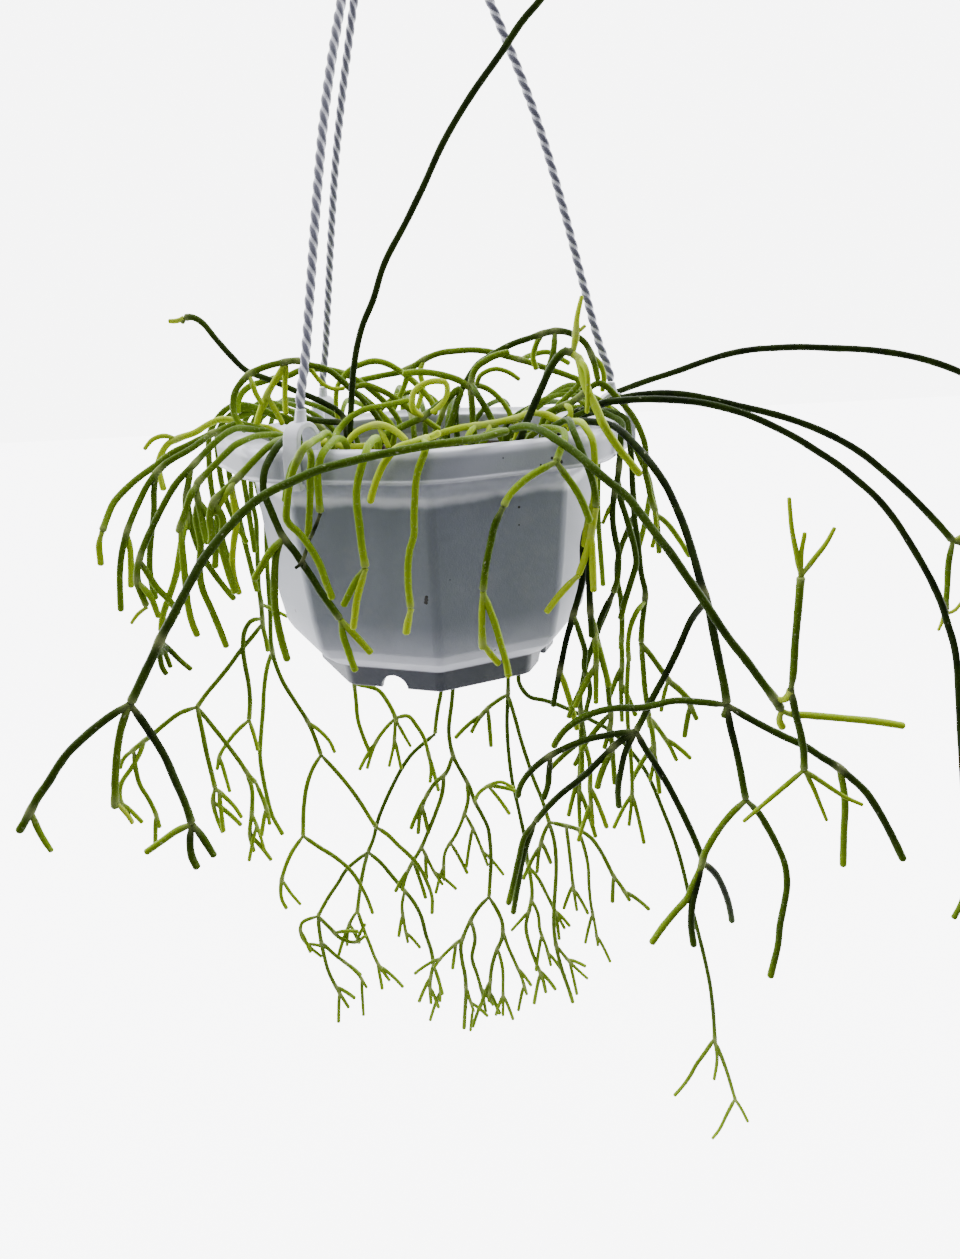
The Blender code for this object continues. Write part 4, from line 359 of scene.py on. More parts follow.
def makeMouldedGroup():
    # moulded plastic: faint clouds in the colour, a fine matt skin, and dust in patches
    group, sheet, given, made = newGroup(
        "mouldedPlastic",
        [("Colour", 'NodeSocketColor', (0.7, 0.7, 0.7, 1)),
         ("Dust Colour", 'NodeSocketColor', (0.4, 0.38, 0.36, 1)),
         ("Dust", 'NodeSocketFloat', 0.2), ("Gloss Spread", 'NodeSocketFloat', 0.12)],
        [("Colour", 'NodeSocketColor'), ("Roughness", 'NodeSocketFloat'), ("Height", 'NodeSocketFloat')])
    place = sheet.add('ShaderNodeTexCoord').outputs["Object"]
    clouds = sheet.noise(place, 26.0, 3.0, 0.6)
    grain = sheet.noise(place, 1400.0, 2.0, 0.6)
    patches = sheet.spread(sheet.noise(place, 70.0, 4.0, 0.65), 0.52, 0.74)
    dust = sheet.math('MULTIPLY', patches, given.outputs["Dust"])
    dusty = sheet.mix(dust, given.outputs["Colour"], given.outputs["Dust Colour"])
    shade = sheet.math('MULTIPLY_ADD', clouds, 0.14, 0.93)
    tint = sheet.add('ShaderNodeCombineColor')
    for channel in range(3):
        sheet.join(shade, tint.inputs[channel])
    sheet.join(sheet.mix(1.0, dusty, tint.outputs[0], 'MULTIPLY'), made.inputs["Colour"])
    spreadBy = sheet.math('MULTIPLY', clouds, given.outputs["Gloss Spread"])
    rough = sheet.math('ADD', spreadBy, sheet.math('MULTIPLY_ADD', dust, 0.35, 0.34))
    sheet.join(rough, made.inputs["Roughness"])
    sheet.join(sheet.math('MULTIPLY_ADD', clouds, 0.4, grain), made.inputs["Height"])
    return group


def makeSpeckGroup():
    # crumbs of dried soil: a dark dot in some cells of a cell pattern
    group, sheet, given, made = newGroup(
        "soilSpecks",
        [("Cells Per Metre", 'NodeSocketFloat', 90.0), ("Share", 'NodeSocketFloat', 0.12),
         ("Dot", 'NodeSocketFloat', 0.09)],
        [("Mask", 'NodeSocketFloat')])
    place = sheet.add('ShaderNodeTexCoord').outputs["Object"]
    cells = sheet.add('ShaderNodeTexVoronoi')
    sheet.join(place, cells.inputs["Vector"])
    sheet.join(given.outputs["Cells Per Metre"], cells.inputs["Scale"])
    parts = sheet.add('ShaderNodeSeparateColor')
    sheet.join(cells.outputs["Color"], parts.inputs[0])
    chosen = sheet.math('LESS_THAN', parts.outputs[0], given.outputs["Share"])
    size = sheet.math('MULTIPLY', given.outputs["Dot"], sheet.math('ADD', parts.outputs[1], 0.4))
    ragged = sheet.math('MULTIPLY_ADD', sheet.noise(place, 900.0), 0.05, -0.025)
    inside = sheet.math('LESS_THAN', sheet.math('ADD', cells.outputs["Distance"], ragged), size)
    sheet.join(sheet.math('MULTIPLY', chosen, inside), made.inputs["Mask"])
    return group


mouldedGroup = makeMouldedGroup()
speckGroup = makeSpeckGroup()


def plasticMaterial(name, colour, dust, specks, roughBump=0.00006):
    material, sheet, shader = newMaterial(name)
    moulded = sheet.add('ShaderNodeGroup', node_tree=mouldedGroup, in_Dust=dust)
    if isinstance(colour, tuple):
        moulded.inputs["Colour"].default_value = (*colour, 1.0)
    else:
        sheet.join(colour(sheet), moulded.inputs["Colour"])
    dots = sheet.add('ShaderNodeGroup', node_tree=speckGroup)
    dots.inputs["Share"].default_value = specks
    spotted = sheet.mix(dots.outputs["Mask"], moulded.outputs["Colour"], (0.012, 0.010, 0.009))
    sheet.join(spotted, shader.inputs["Base Color"])
    sheet.join(moulded.outputs["Roughness"], shader.inputs["Roughness"])
    addBump(sheet, shader, moulded.outputs["Height"], roughBump)
    return material


# Cords: two strands of plastic twisted round each other, from each rim clip up to the collar

cords = {
    "turns": {"right": 0.5, "back_left": 127.0, "front_left": 237.0},
    "diameter": 4.0 * mm,
    "length": 0.236,             # along each cord, from its clip to the collar
    "lay": 11.0 * mm,            # length of one whole twist
    "groove": 0.24,              # depth of the groove between the strands, as a share of the radius
    "sides": 20,
    "step": 0.75 * mm,
    "endWidth": 0.9,             # its two end rings are drawn in to this share
    "pathEvery": 4,              # its path has every fourth ring's middle
    # painted shade on the strands' backs, and a painted highlight along the groove between them
    "strandShade": (0.15, 0.15, 0.20),
    "grooveHighlight": (0.78, 0.78, 0.85),
    "grooveHighlightFade": (0.38, 0.92),  # from the strand's painted shade to the groove's painted highlight, as shares of the groove's depth
    # distance from the pot's axis against the height above the rim plane, in mm
    "route": ((89.9, 18.5), (89.8, 20.6), (88.2, 26.0), (84.9, 35.0), (77.9, 60.0), (68.5, 95.0),
              (57.5, 131.0), (42.5, 168.0), (26.0, 202.0), (12.6, 221.0), (5.2, 229.0), (4.8, 231.6),
              (4.8, 234.7)),
}


def cordLine(turn, spacing):
    # the cord's centreline, at even steps along a smooth curve through its route
    way = np.array([cos(radians(turn)), sin(radians(turn))])
    route = [(reach * mm * way[0], reach * mm * way[1], height * mm - rimDrop)
             for reach, height in cords["route"]]
    return evenSteps(smoothCurve(np.array(route)), spacing)


def cordMaterial():
    # painted light: the strands' backs are painted dark grey-lilac as shade, and the groove between them
    # holds a painted highlight
    def colour(sheet):
        groove = sheet.add('ShaderNodeAttribute', attribute_name="groove").outputs["Fac"]
        return sheet.mix(sheet.spread(groove, *cords["grooveHighlightFade"]), cords["strandShade"], cords["grooveHighlight"])
    return plasticMaterial("twistedCord", colour, 0.10, 0.0)


def makeCord(name, turn, finish):
    # the radius falls towards the groove: radius times (1 - depth * |sin(angle)| ^ 3), where the angle
    # from a strand's back grows by a whole turn over each lay
    line = cordLine(turn, cords["step"])
    around = np.arange(cords["sides"]) * 2 * pi / cords["sides"]
    twist = lengthsAlong(line) / cords["lay"] * 2 * pi
    off = around[None] + twist[:, None]
    hollow = np.abs(np.sin(off)) ** 3
    ends = np.minimum(np.arange(len(line)), np.arange(len(line))[::-1])[:, None]
    radius = cords["diameter"] / 2 * (1 - cords["groove"] * hollow)
    radius *= np.where(ends == 0, cords["endWidth"], 1.0)
    rings = line[:, None] + ringDirections(line, np.broadcast_to(around, off.shape)) * radius[..., None]
    places, quads, triangles = closedStack(rings)
    groove = np.concatenate([hollow.ravel(), [0, 0]])
    piece = makeMesh(f"twisted_cord_{name}", places, quads, triangles, finish, {"groove": groove})
    settleIn(piece, "cord", f"hanger_cord_{name}")
    print("cord", name, "is", round(lengthsAlong(line)[-1] * 1000, 1), "mm long")


twistedCord = cordMaterial()
for clipName, clipTurn in cords["turns"].items():
    makeCord(clipName, clipTurn, twistedCord)


# Pot: an octagonal outline with round corners that follows a profile out, up and back in

pot = {
    # half width across two faces and height above the rim plane, in mm
    "underside": ((51.5, -104.0), (52.8, -112.0)),
    "outside": ((55.4, -112.0), (56.8, -101.6), (61.5, -99.5), (67.0, -95.0), (69.8, -90.0), (72.2, -77.0),
                (74.8, -55.0), (77.7, -18.5), (75.9, -16.3), (75.2, -13.0), (75.2, -1.7)),
    "bodyLevels": 9,             # the first of these are the body's; the others are under the rim
    "rim": ((92.0, -1.7), (92.4, -10.2), (94.6, -10.7), (94.9, -10.2), (94.8, -9.4), (94.2, -9.0),
            (94.5, -0.5), (93.4, 1.6), (90.3, 2.5), (87.0, 0.5)),
    "inside": ((73.4, 0.5), (73.0, -40.0), (70.0, -77.0), (67.2, -90.0), (64.0, -95.5), (55.0, -101.0)),
    "rimApothem": 94.5 * mm,
    "rimRound": 40.0 * mm,       # corner radius of the rim's outline
    "bodyRound": 7.0 * mm,       # corner radius of the body's outline
    "bodyWidest": 78.0 * mm,     # half width up to which the outline keeps the body's corners
    "rimBead": 2.5 * mm,
    "skirt": 10.2 * mm,
    "height": 112.0 * mm,
    "cornerSteps": 11,
    "sharpFrom": 32.0,           # edges that turn by more than this are shaded sharp, in degrees
    "edgeRound": 0.9,            # the profile's corners are rounded by up to this, in mm
    "notchTurns": (-112.5, -22.5, 67.5, 157.5),
    "notchSides": 48,
    "notchRadius": 6.7 * mm,
    "notchReach": (46.0 * mm, 66.0 * mm),
    "drains": 5,                 # one in the middle, the others round it
    "drainSides": 28,
    "drainRadius": 4.0 * mm,
    "drainCircle": 30.0 * mm,
    "drainLevels": (4.0 * mm, 18.0 * mm),
    "paintedLitPlastic": (0.60, 0.61, 0.68),    # painted light: as bright as light shining through the wall would make it
    "paintedSoilShade": (0.205, 0.225, 0.265),   # painted shade: where the soil behind the wall keeps light from shining through
    # painted shade: the foot ring is painted dark
    "paintedFootShade": (0.075, 0.082, 0.098),
    # painted light: a bright band just under the rim
    "paintedUnderRimLight": (0.95, 0.95, 1.0),
    "driedSoil": (0.010, 0.009, 0.008),
    # heights between which a tone fades in or out, in mm from the rim plane
    "fades": {"soilTop": (-24.0, -19.0), "soilFoot": (-106.0, -73.0), "skirtLow": (-9.5, -8.5),
              "skirtHigh": (-2.2, 0.8), "foot": (-102.2, -101.2), "underRimLow": (-23.5, -19.5),
              "underRimHigh": (-17.5, -13.5)},
    "skirtShadeShare": 0.62,           # painted shade on the skirt, as a share of the painted shade in front of the soil
    # how strongly the painted light under the rim shows
    "underRimLightShare": 0.85,
    # crumbs of soil that dried on the wall: a place on it, measured from the rim plane, and a radius, in mm
    "specks": ((-3.6, -78.4, -61.2, 0.8), (-3.8, -78.4, -62.4, 0.95), (-4.1, -78.2, -63.7, 0.9),
               (37.6, -67.7, -27.1, 0.55), (37.4, -67.0, -34.9, 0.5), (25.2, -64.1, -91.6, 0.5),
               (28.6, -59.7, -95.7, 0.45), (60.4, -44.7, -71.2, 0.4), (6.6, -78.2, -54.4, 0.3),
               (45.5, -83.2, -7.6, 0.5), (50.3, -81.3, -5.3, 0.6), (54.2, -79.6, -7.3, 0.85),
               (-38.4, -86.2, -4.8, 0.4), (29.8, -89.7, -3.1, 0.35)),
}
faceToCorner = cos(pi / 8)       # apothem of an octagon over its corner radius


def octagonRings(halfWidths, roundings, heights, cornerSteps):
    # each ring's corners are arcs: corner centre times its direction, plus the rounding times the arc's
    middle = (-pi / 2 + np.arange(8) * pi / 4)[None, :, None]
    turn = middle + np.linspace(-0.5, 0.5, cornerSteps)[None, None] * pi / 4
    reach = ((halfWidths - roundings) / faceToCorner)[:, None, None]
    rounding = roundings[:, None, None]
    x = reach * np.cos(middle) + rounding * np.cos(turn)
    y = reach * np.sin(middle) + rounding * np.sin(turn)
    z = np.broadcast_to(heights[:, None, None], x.shape)
    return np.stack([x, y, z], axis=-1).reshape(len(halfWidths), -1, 3)


def roundCorners(outline, radius, steps=5, most=0.45):
    # every inner corner becomes a quadratic curve that starts and ends a radius away from it, or at most
    # this share of the edge there
    back = outline[:-2] - outline[1:-1]
    ahead = outline[2:] - outline[1:-1]
    backLength = np.linalg.norm(back, axis=1)[:, None]
    aheadLength = np.linalg.norm(ahead, axis=1)[:, None]
    corner = outline[1:-1]
    start = corner + back / backLength * np.minimum(radius, backLength * most)
    end = corner + ahead / aheadLength * np.minimum(radius, aheadLength * most)
    share = np.linspace(0, 1, steps)[None, :, None]
    curve = ((1 - share) ** 2 * start[:, None] + 2 * share * (1 - share) * corner[:, None]
             + share ** 2 * end[:, None])
    return np.concatenate([outline[:1], curve.reshape(-1, 2), outline[-1:]])


def potMaterial():
    # painted light and shade: the wall is painted bright where light would shine through it, and painted
    # darker as shade where soil stands behind it, on the skirt and on the foot; a band under the rim is
    # painted bright
    def colour(sheet):
        height = sheet.add('ShaderNodeSeparateXYZ')
        place = sheet.add('ShaderNodeTexCoord').outputs["Object"]
        sheet.join(place, height.inputs[0])
        wander = sheet.math('MULTIPLY_ADD', sheet.noise(place, 38.0, 3.0), 0.008, -0.004)
        straight = height.outputs["Z"]
        wavy = sheet.math('ADD', straight, wander)

        def fade(level, name, toLow=0.0, toHigh=1.0):
            low, high = pot["fades"][name]
            return sheet.spread(level, low * mm - rimDrop, high * mm - rimDrop, toLow, toHigh)

        # painted shade where soil stands behind the wall, fading out towards the foot
        soilShadeBand = sheet.math('MULTIPLY', fade(wavy, "soilTop", 1.0, 0.0), fade(wavy, "soilFoot"))
        # painted shade on the rim's skirt
        skirtShadeBand = sheet.math('MULTIPLY', fade(straight, "skirtLow", 0.0, pot["skirtShadeShare"]),
                               fade(straight, "skirtHigh", 1.0, 0.0))
        paintedShade = sheet.math('MAXIMUM', soilShadeBand, skirtShadeBand)
        walls = sheet.mix(paintedShade, pot["paintedLitPlastic"], pot["paintedSoilShade"])
        # painted light: a bright band under the rim
        paintedUnderRimBand = sheet.math('MULTIPLY', fade(wavy, "underRimLow"),
                              fade(wavy, "underRimHigh", pot["underRimLightShare"], 0.0))
        walls = sheet.mix(paintedUnderRimBand, walls, pot["paintedUnderRimLight"])
        # painted shade on the foot ring
        walls = sheet.mix(fade(straight, "foot", 1.0, 0.0), walls, pot["paintedFootShade"])
        ragged = sheet.math('MULTIPLY_ADD', sheet.noise(place, 1500.0), 0.0005, -0.00025)
        for x, y, z, size in pot["specks"]:
            apart = sheet.add('ShaderNodeVectorMath', operation='DISTANCE')
            sheet.join(place, apart.inputs[0])
            apart.inputs[1].default_value = (x * mm, y * mm, z * mm - rimDrop)
            within = sheet.math('LESS_THAN', sheet.math('ADD', apart.outputs["Value"], ragged), size * mm)
            walls = sheet.mix(within, walls, pot["driedSoil"])
        return walls
    return plasticMaterial("pottedPlastic", colour, 0.10, 0.10)


def makePot(finish):
    outline = np.array(pot["underside"] + pot["outside"] + pot["rim"] + pot["inside"])
    outline = roundCorners(outline, pot["edgeRound"])
    widths = outline[:, 0] * mm
    share = np.clip((widths - pot["bodyWidest"]) / (pot["rimApothem"] - pot["bodyWidest"]), 0, 1)
    roundings = pot["bodyRound"] + (pot["rimRound"] - pot["bodyRound"]) * share
    rings = octagonRings(widths, roundings, outline[:, 1] * mm - rimDrop, pot["cornerSteps"])
    shell = makeMesh("octagonal_pot", *closedStack(rings), finish)
    cutters = []
    foot = -pot["height"] - rimDrop
    for turn in pot["notchTurns"]:
        way = np.array([cos(radians(turn)), sin(radians(turn)), 0.0])
        line = np.array([way * reach + (0, 0, foot) for reach in pot["notchReach"]])
        cutters.append(roundBar("notch", line, pot["notchRadius"], pot["notchSides"], finish))
    for number in range(pot["drains"]):
        reach = pot["drainCircle"] if number else 0.0
        middle = (reach * cos(number * pi / 2), reach * sin(number * pi / 2), foot)
        line = np.array([middle, middle]) + [(0, 0, level) for level in pot["drainLevels"]]
        cutters.append(roundBar("drain", line, pot["drainRadius"], pot["drainSides"], finish))
    cutAway(shell, cutters)
    softenEdges(shell, pot["sharpFrom"])
    return settleIn(shell, "pot", "pot")


def roundBar(name, line, radius, sides, finish):
    turns = np.broadcast_to(np.arange(sides) * 2 * pi / sides, (len(line), sides))
    rings = line[:, None] + ringDirections(line, turns) * radius
    return makeMesh(name, *closedStack(rings), finish)


makePot(potMaterial())
print("pot made")


# Soil: dark compost, rough on top, with crumbs and pale grains lying on it

soil = {
    "top": -15.0 * mm,           # mean height of its surface above the rim plane
    "holeDepth": 13.0 * mm,
    "seatGap": 0.3 * mm,         # air under a piece that stands on another
    "wallAir": 0.48 * mm,
    "round": 4.9 * mm,           # corner radius of its outline
    "rings": 56,
    "cornerSteps": 20,
    "lumps": ((9.0 * mm, 0.7 * mm, 3), (3.6 * mm, 0.55 * mm, 4), (1.5 * mm, 0.35 * mm, 5)),
    "middle": 0.012,             # its first ring, as a share of the last
    "sidesFrom": 2.0 * mm,       # below the mean surface
    # how many, the smallest and the largest, and the seed of the draws
    "crumbs": (420, (0.7 * mm, 2.2 * mm), 11),
    "grains": (110, (0.6 * mm, 1.7 * mm), 12),
    "crumbStretch": (0.65, 1.25),
    "crumbShake": (0.78, 1.15),
    "crumbRise": 0.25,           # its middle stands this share of its size above the surface
    "bedReach": 68.0 * mm,
}


def soilHeight(x, y):
    # two crossed waves of about a millimetre
    roll = 0.8 * mm * np.sin(x * 95 + 0.6) * np.cos(y * 80) + 0.4 * mm * np.sin(x * 170 - y * 130)
    return soil["top"] - rimDrop + roll


def roughSoil(x, y):
    lumps = sum(height * patchNoise(x, y, cell, seed) for cell, height, seed in soil["lumps"])
    return soilHeight(x, y) + lumps


def soilMaterial():
    material, sheet, shader = newMaterial("darkCompost", 0.95)
    place = sheet.add('ShaderNodeTexCoord').outputs["Object"]
    coarse = sheet.noise(place, 180.0, 4.0, 0.6)
    fine = sheet.noise(place, 900.0, 3.0, 0.6)
    base = sheet.mix(sheet.spread(coarse, 0.35, 0.7), (0.014, 0.010, 0.007), (0.070, 0.045, 0.028))
    flecked = sheet.mix(sheet.spread(fine, 0.62, 0.75), base, (0.16, 0.11, 0.07))
    sheet.join(flecked, shader.inputs["Base Color"])
    addBump(sheet, shader, fine, 0.0006)
    return material


def grainMaterial():
    # pale volcanic grains, stained by the soil
    material, sheet, shader = newMaterial("paleGrains", 0.9)
    place = sheet.add('ShaderNodeTexCoord').outputs["Object"]
    stain = sheet.spread(sheet.noise(place, 420.0, 3.0, 0.6), 0.45, 0.72)
    sheet.join(sheet.mix(stain, (0.66, 0.65, 0.60), (0.22, 0.17, 0.12)), shader.inputs["Base Color"])
    addBump(sheet, shader, sheet.noise(place, 2200.0, 2.0), 0.0003)
    return material


def makeSoil(finish):
    wall = np.array(pot["inside"][1:]) * mm
    wall[:, 0] -= soil["wallAir"]
    wall[-1, 1] += soil["seatGap"]
    topShares = np.linspace(soil["middle"], 1.0, soil["rings"])
    topWidths = wall[0, 0] * topShares
    top = octagonRings(topWidths, soil["round"] * topShares, np.zeros(len(topWidths)), soil["cornerSteps"])
    top[..., 2] = roughSoil(top[..., 0], top[..., 1])
    below = wall[wall[:, 1] < soil["top"] - soil["sidesFrom"]]
    rounding = np.full(len(below), soil["round"])
    sides = octagonRings(below[:, 0], rounding, below[:, 1] - rimDrop, soil["cornerSteps"])
    rings = np.concatenate([top, sides])[::-1]
    return settleIn(makeMesh("compost", *closedStack(rings), finish), "soil", "soil")


def icosahedron():
    # its corners, all 1 from the middle, and its faces: each is three corners with an edge between any two
    golden = (1 + 5 ** 0.5) / 2
    corners = np.array([(0, a, b * golden) for a in (-1, 1) for b in (-1, 1)], float)
    corners = np.concatenate([corners, corners[:, [2, 0, 1]], corners[:, [1, 2, 0]]])
    corners /= np.linalg.norm(corners[0])
    edge = np.linalg.norm(corners[:, None] - corners[None], axis=2)
    reach = np.sort(np.unique(edge.round(6)))[1] * 1.01
    faces = [(a, b, c) for a in range(12) for b in range(a + 1, 12) for c in range(b + 1, 12)
             if edge[a, b] < reach and edge[b, c] < reach and edge[a, c] < reach]
    faces = np.array([(a, b, c) if np.dot(np.cross(corners[b] - corners[a], corners[c] - corners[a]),
                                          corners[a]) > 0 else (a, c, b) for a, b, c in faces])
    return corners, faces


def crumbCloud(name, count, sizes, seed, finish):
    # each crumb is a twenty-sided lump, stretched and pushed about at random, and partly sunk in the surface
    draw = np.random.default_rng(seed)
    corners, faces = icosahedron()
    radius = soil["bedReach"] * np.sqrt(draw.uniform(0, 1, count))
    turn = draw.uniform(0, 2 * pi, count)
    x, y = radius * np.cos(turn), radius * np.sin(turn)
    size = draw.uniform(0, 1, count) ** 2 * (sizes[1] - sizes[0]) + sizes[0]
    middle = np.stack([x, y, roughSoil(x, y) + size * soil["crumbRise"]], axis=1)
    stretch = draw.uniform(*soil["crumbStretch"], (count, 1, 3))
    shake = draw.uniform(*soil["crumbShake"], (count, len(corners), 1))
    places = corners[None] * stretch * shake * size[:, None, None] + middle[:, None]
    triangles = (faces[None] + np.arange(count)[:, None, None] * len(corners)).reshape(-1, 3)
    piece = makeMesh(name, places.reshape(-1, 3), np.zeros((0, 4), int), triangles, finish)
    return settleIn(piece, "soil")


compost = soilMaterial()
makeSoil(compost)
crumbCloud("compost_crumbs", *soil["crumbs"], compost)
crumbCloud("pale_grains", *soil["grains"], grainMaterial())
print("soil made")


# Hook: a bent rod that grows out of the collar in which the cords end

hook = {
    "bore": 14.0 * mm,           # inner radius of its bend
    "rod": 5.0 * mm,
    "collar": ((-58.0, 7.6), (-57.6, 8.7), (-56.6, 9.0), (-53.5, 9.0), (-53.1, 8.6), (-52.7, 9.0),
               (-50.2, 8.8), (-48.6, 7.9), (-47.4, 6.0), (-46.3, 3.9), (-44.8, 2.9), (-43.0, 2.55)),
    "shank": (-2.2 * mm, -38.5 * mm),
    "start": 236.0,              # the bend runs from this direction, in degrees,
    "sweep": 260.0,              # by this much
    "bendPoints": 14,
    "perSpan": 6,
    "domeSteps": 5,
    "domeReach": 0.6,            # the tip's dome is this flat, as a share of a half ball
    "sides": 28,
    "sharpFrom": 50.0,
}


def makeHook(finish):
    # a round section carried up the collar's axis and round the bend, the tip drawn in to a dome
    bend = hook["bore"] + hook["rod"] / 2
    turn = np.radians(hook["start"] - np.linspace(0, hook["sweep"], hook["bendPoints"]))
    arc = np.stack([bend * np.cos(turn), 0 * turn, bend * np.sin(turn) - hook["bore"]], axis=1)
    collar = np.array([(0, 0, height * mm) for height, _ in hook["collar"]])
    shank = [(hook["shank"][0], 0, hook["shank"][1])]
    stem = smoothCurve(np.concatenate([collar[-1:], shank, arc]), hook["perSpan"])
    dome = np.linspace(0, pi / 2, hook["domeSteps"] + 2)[1:-1]
    ahead = (stem[-1] - stem[-2]) / np.linalg.norm(stem[-1] - stem[-2])
    tip = stem[-1] + ahead * hook["rod"] / 2 * np.sin(dome)[:, None] * hook["domeReach"]
    line = np.concatenate([collar[:-1], stem, tip])
    radii = np.concatenate([[radius * mm for _, radius in hook["collar"][:-1]],
                            np.full(len(stem), hook["rod"] / 2), hook["rod"] / 2 * np.cos(dome)])
    turns = np.broadcast_to(np.arange(hook["sides"]) * 2 * pi / hook["sides"], (len(line), hook["sides"]))
    rings = line[:, None] + ringDirections(line, turns) * radii[:, None, None]
    piece = makeMesh("bent_hook", *closedStack(rings), finish)
    piece.data.set_sharp_from_angle(angle=radians(hook["sharpFrom"]))
    return settleIn(piece, "hanger", "hanger_hook")


hangerPlastic = plasticMaterial("hangerPlastic", (0.64, 0.65, 0.70), 0.12, 0.04)
makeHook(hangerPlastic)
print("hook made")


# Rim clips: an arched band that hooks under the rim, with a neck that holds the cord

clip = {
    "middle": 91.0 * mm,         # the arch stands over the rim at this distance from the axis
    "radius": 7.2 * mm,
    "band": 2.4 * mm,
    "width": 7.6 * mm,
    "lean": 2.5,                 # half of the angle that a clip takes up on the rim, in degrees
    "air": 0.5 * mm,
    "archFoot": 6.4 * mm,
    "legBend": -0.5 * mm,        # the outer leg slants out to the rim's edge down to this height
    "legBand": 2.1 * mm,
    "archSteps": 26,
    "barbReach": 1.6 * mm,
    "barbTop": -10.95 * mm,
    "barbLow": (-10.0 * mm, -13.0 * mm, -12.4 * mm),
    "barbBevel": 0.6 * mm,
    "innerFoot": 0.85 * mm,
    "edge": 0.55 * mm,
    "sharpFrom": 40.0,
    "neckRadii": (2.9 * mm, 2.2 * mm),
    "neckTaper": (1.25, 0.45),   # how soon and how suddenly it is drawn in
    "neckRoot": 0.8,             # the neck starts this share of the band's thickness inside the arch
    "neckSteps": 14,
    "neckSides": 24,
}


def rimReach(turn):
    # distance of the rim's outer edge from the pot's axis, in the given direction
    off = radians((turn + 90 + 22.5) % 45 - 22.5)
    middle = (pot["rimApothem"] - pot["rimRound"]) / faceToCorner
    return middle * cos(off) + (pot["rimRound"] ** 2 - (middle * sin(off)) ** 2) ** 0.5


def clipLeg(turn):
    # the outer leg is clear of the rim over the clip's width
    leans = (-clip["lean"], 0.0, clip["lean"])
    return clip["air"] + max(rimReach(turn + lean) * cos(radians(lean)) for lean in leans)


def makeClip(name, turn, finish):
    leg = clipLeg(turn)
    inner = clip["radius"] - clip["band"]
    middle = clip["middle"]
    outer = leg + clip["legBand"]
    barb = leg - clip["barbReach"]
    foot = clip["archFoot"]
    angles = np.linspace(0, pi, clip["archSteps"] + 1)
    arch = np.stack([np.cos(angles), np.sin(angles)], axis=1)
    outline = np.concatenate([
        [(barb, clip["barbTop"]), (leg, clip["barbTop"]), (leg, clip["legBend"])],
        (middle, foot) + arch * inner,
        [(middle - inner, clip["innerFoot"]), (middle - clip["radius"], clip["innerFoot"])],
        (middle, foot) + arch[::-1] * clip["radius"],
        [(outer, clip["legBend"]), (outer, clip["barbLow"][0]),
         (outer - clip["barbBevel"], clip["barbLow"][1]),
         (barb, clip["barbLow"][2])]])
    count = len(outline)
    half = clip["width"] / 2
    # the two flanks are the outline itself, and quads close the band between them
    places = np.concatenate([np.insert(outline, 1, side, axis=1) for side in (-half, half)])
    mesh = bpy.data.meshes.new(f"clip_{name}")
    ring = np.arange(count)
    following = np.roll(ring, -1)
    faces = [ring.tolist(), (ring[::-1] + count).tolist()]
    faces += np.stack([following, ring, ring + count, following + count], axis=1).tolist()
    top = foot + clip["radius"] - clip["band"] * clip["neckRoot"]
    start = np.array(cords["route"][0]) * mm
    share = np.linspace(0, 1, clip["neckSteps"])
    heights = top + (start[1] - soil["seatGap"] - top) * share
    broad, narrow = clip["neckRadii"]
    soon, sudden = clip["neckTaper"]
    wide = broad + (narrow - broad) * np.minimum(share * soon, 1) ** sudden
    reach = middle + (start[0] - middle) * share
    around = np.arange(clip["neckSides"]) * 2 * pi / clip["neckSides"]
    neck = np.stack([reach[:, None] + wide[:, None] * np.cos(around), wide[:, None] * np.sin(around),
                     np.broadcast_to(heights[:, None], (len(share), len(around)))], axis=-1)
    neckPlaces, neckQuads, neckTriangles = closedStack(neck)
    offset = len(places)
    faces += (neckQuads + offset).tolist() + (neckTriangles + offset).tolist()
    mesh.from_pydata(np.concatenate([places, neckPlaces]).tolist(), [], faces)
    mesh.validate()
    mesh.shade_smooth()
    mesh.materials.append(finish)
    mesh.transform(Matrix.Translation((0, 0, -rimDrop)) @ Matrix.Rotation(radians(turn), 4, 'Z'))
    piece = bpy.data.objects.new(f"clip_{name}", mesh)
    bpy.context.collection.objects.link(piece)
    softenEdges(piece, clip["sharpFrom"], clip["edge"])
    return settleIn(piece, "hanger", f"rim_clip_{name}")


for clipName, clipTurn in cords["turns"].items():
    makeClip(clipName, clipTurn, hangerPlastic)
print("clips made")


# Stems: the routes are read off the view, laid out in depth, and bent clear of each other

stems = {
    "step": 3.0 * mm,            # spacing of the points along a route
    "rootRise": 5.0 * mm,        # a stem leaves its hole straight up this far,
    "heldRise": 4.0 * mm,        # and doesn't give way up to here,
    "heldPoints": 8,             # for as many points at the most
    "clearance": 1.9 * mm,       # air kept between one spray and the next
    "potGap": 0.9 * mm,
    "soilAir": 2.2 * mm,
    "wellApothem": 73.2 * mm,
    "deepInside": -30.0 * mm,    # a point this far inside the body isn't pushed out of it
    "crowd": 0.6,                # share of its neighbours that slows a crowded sample down
    "nearest": 340.0 * mm,       # from the eye
    "sameCrossing": 5,
    "block": 400,
    "rounds": 160,
    "push": 0.5,
    "soften": 0.6,
    # round samples over a clip: out from its middle and up, in mm
    "clipSamples": ((0.0, 15.0), (0.0, 12.2), (-4.2, 10.4), (4.2, 10.4), (-5.9, 6.0), (-5.9, 2.2),
                    (6.0, 6.0)),
    "legSamples": ((0.4, 1.2), (1.0, -3.4), (1.0, -7.6), (0.6, -11.4)),   # out from its leg and up
    "clipRows": (-2.4 * mm, 0.0, 2.4 * mm),
    "clipSampleRadius": 2.2 * mm,
    "cordAir": 0.2 * mm,
    "cordEndStep": 2.2 * mm,
}

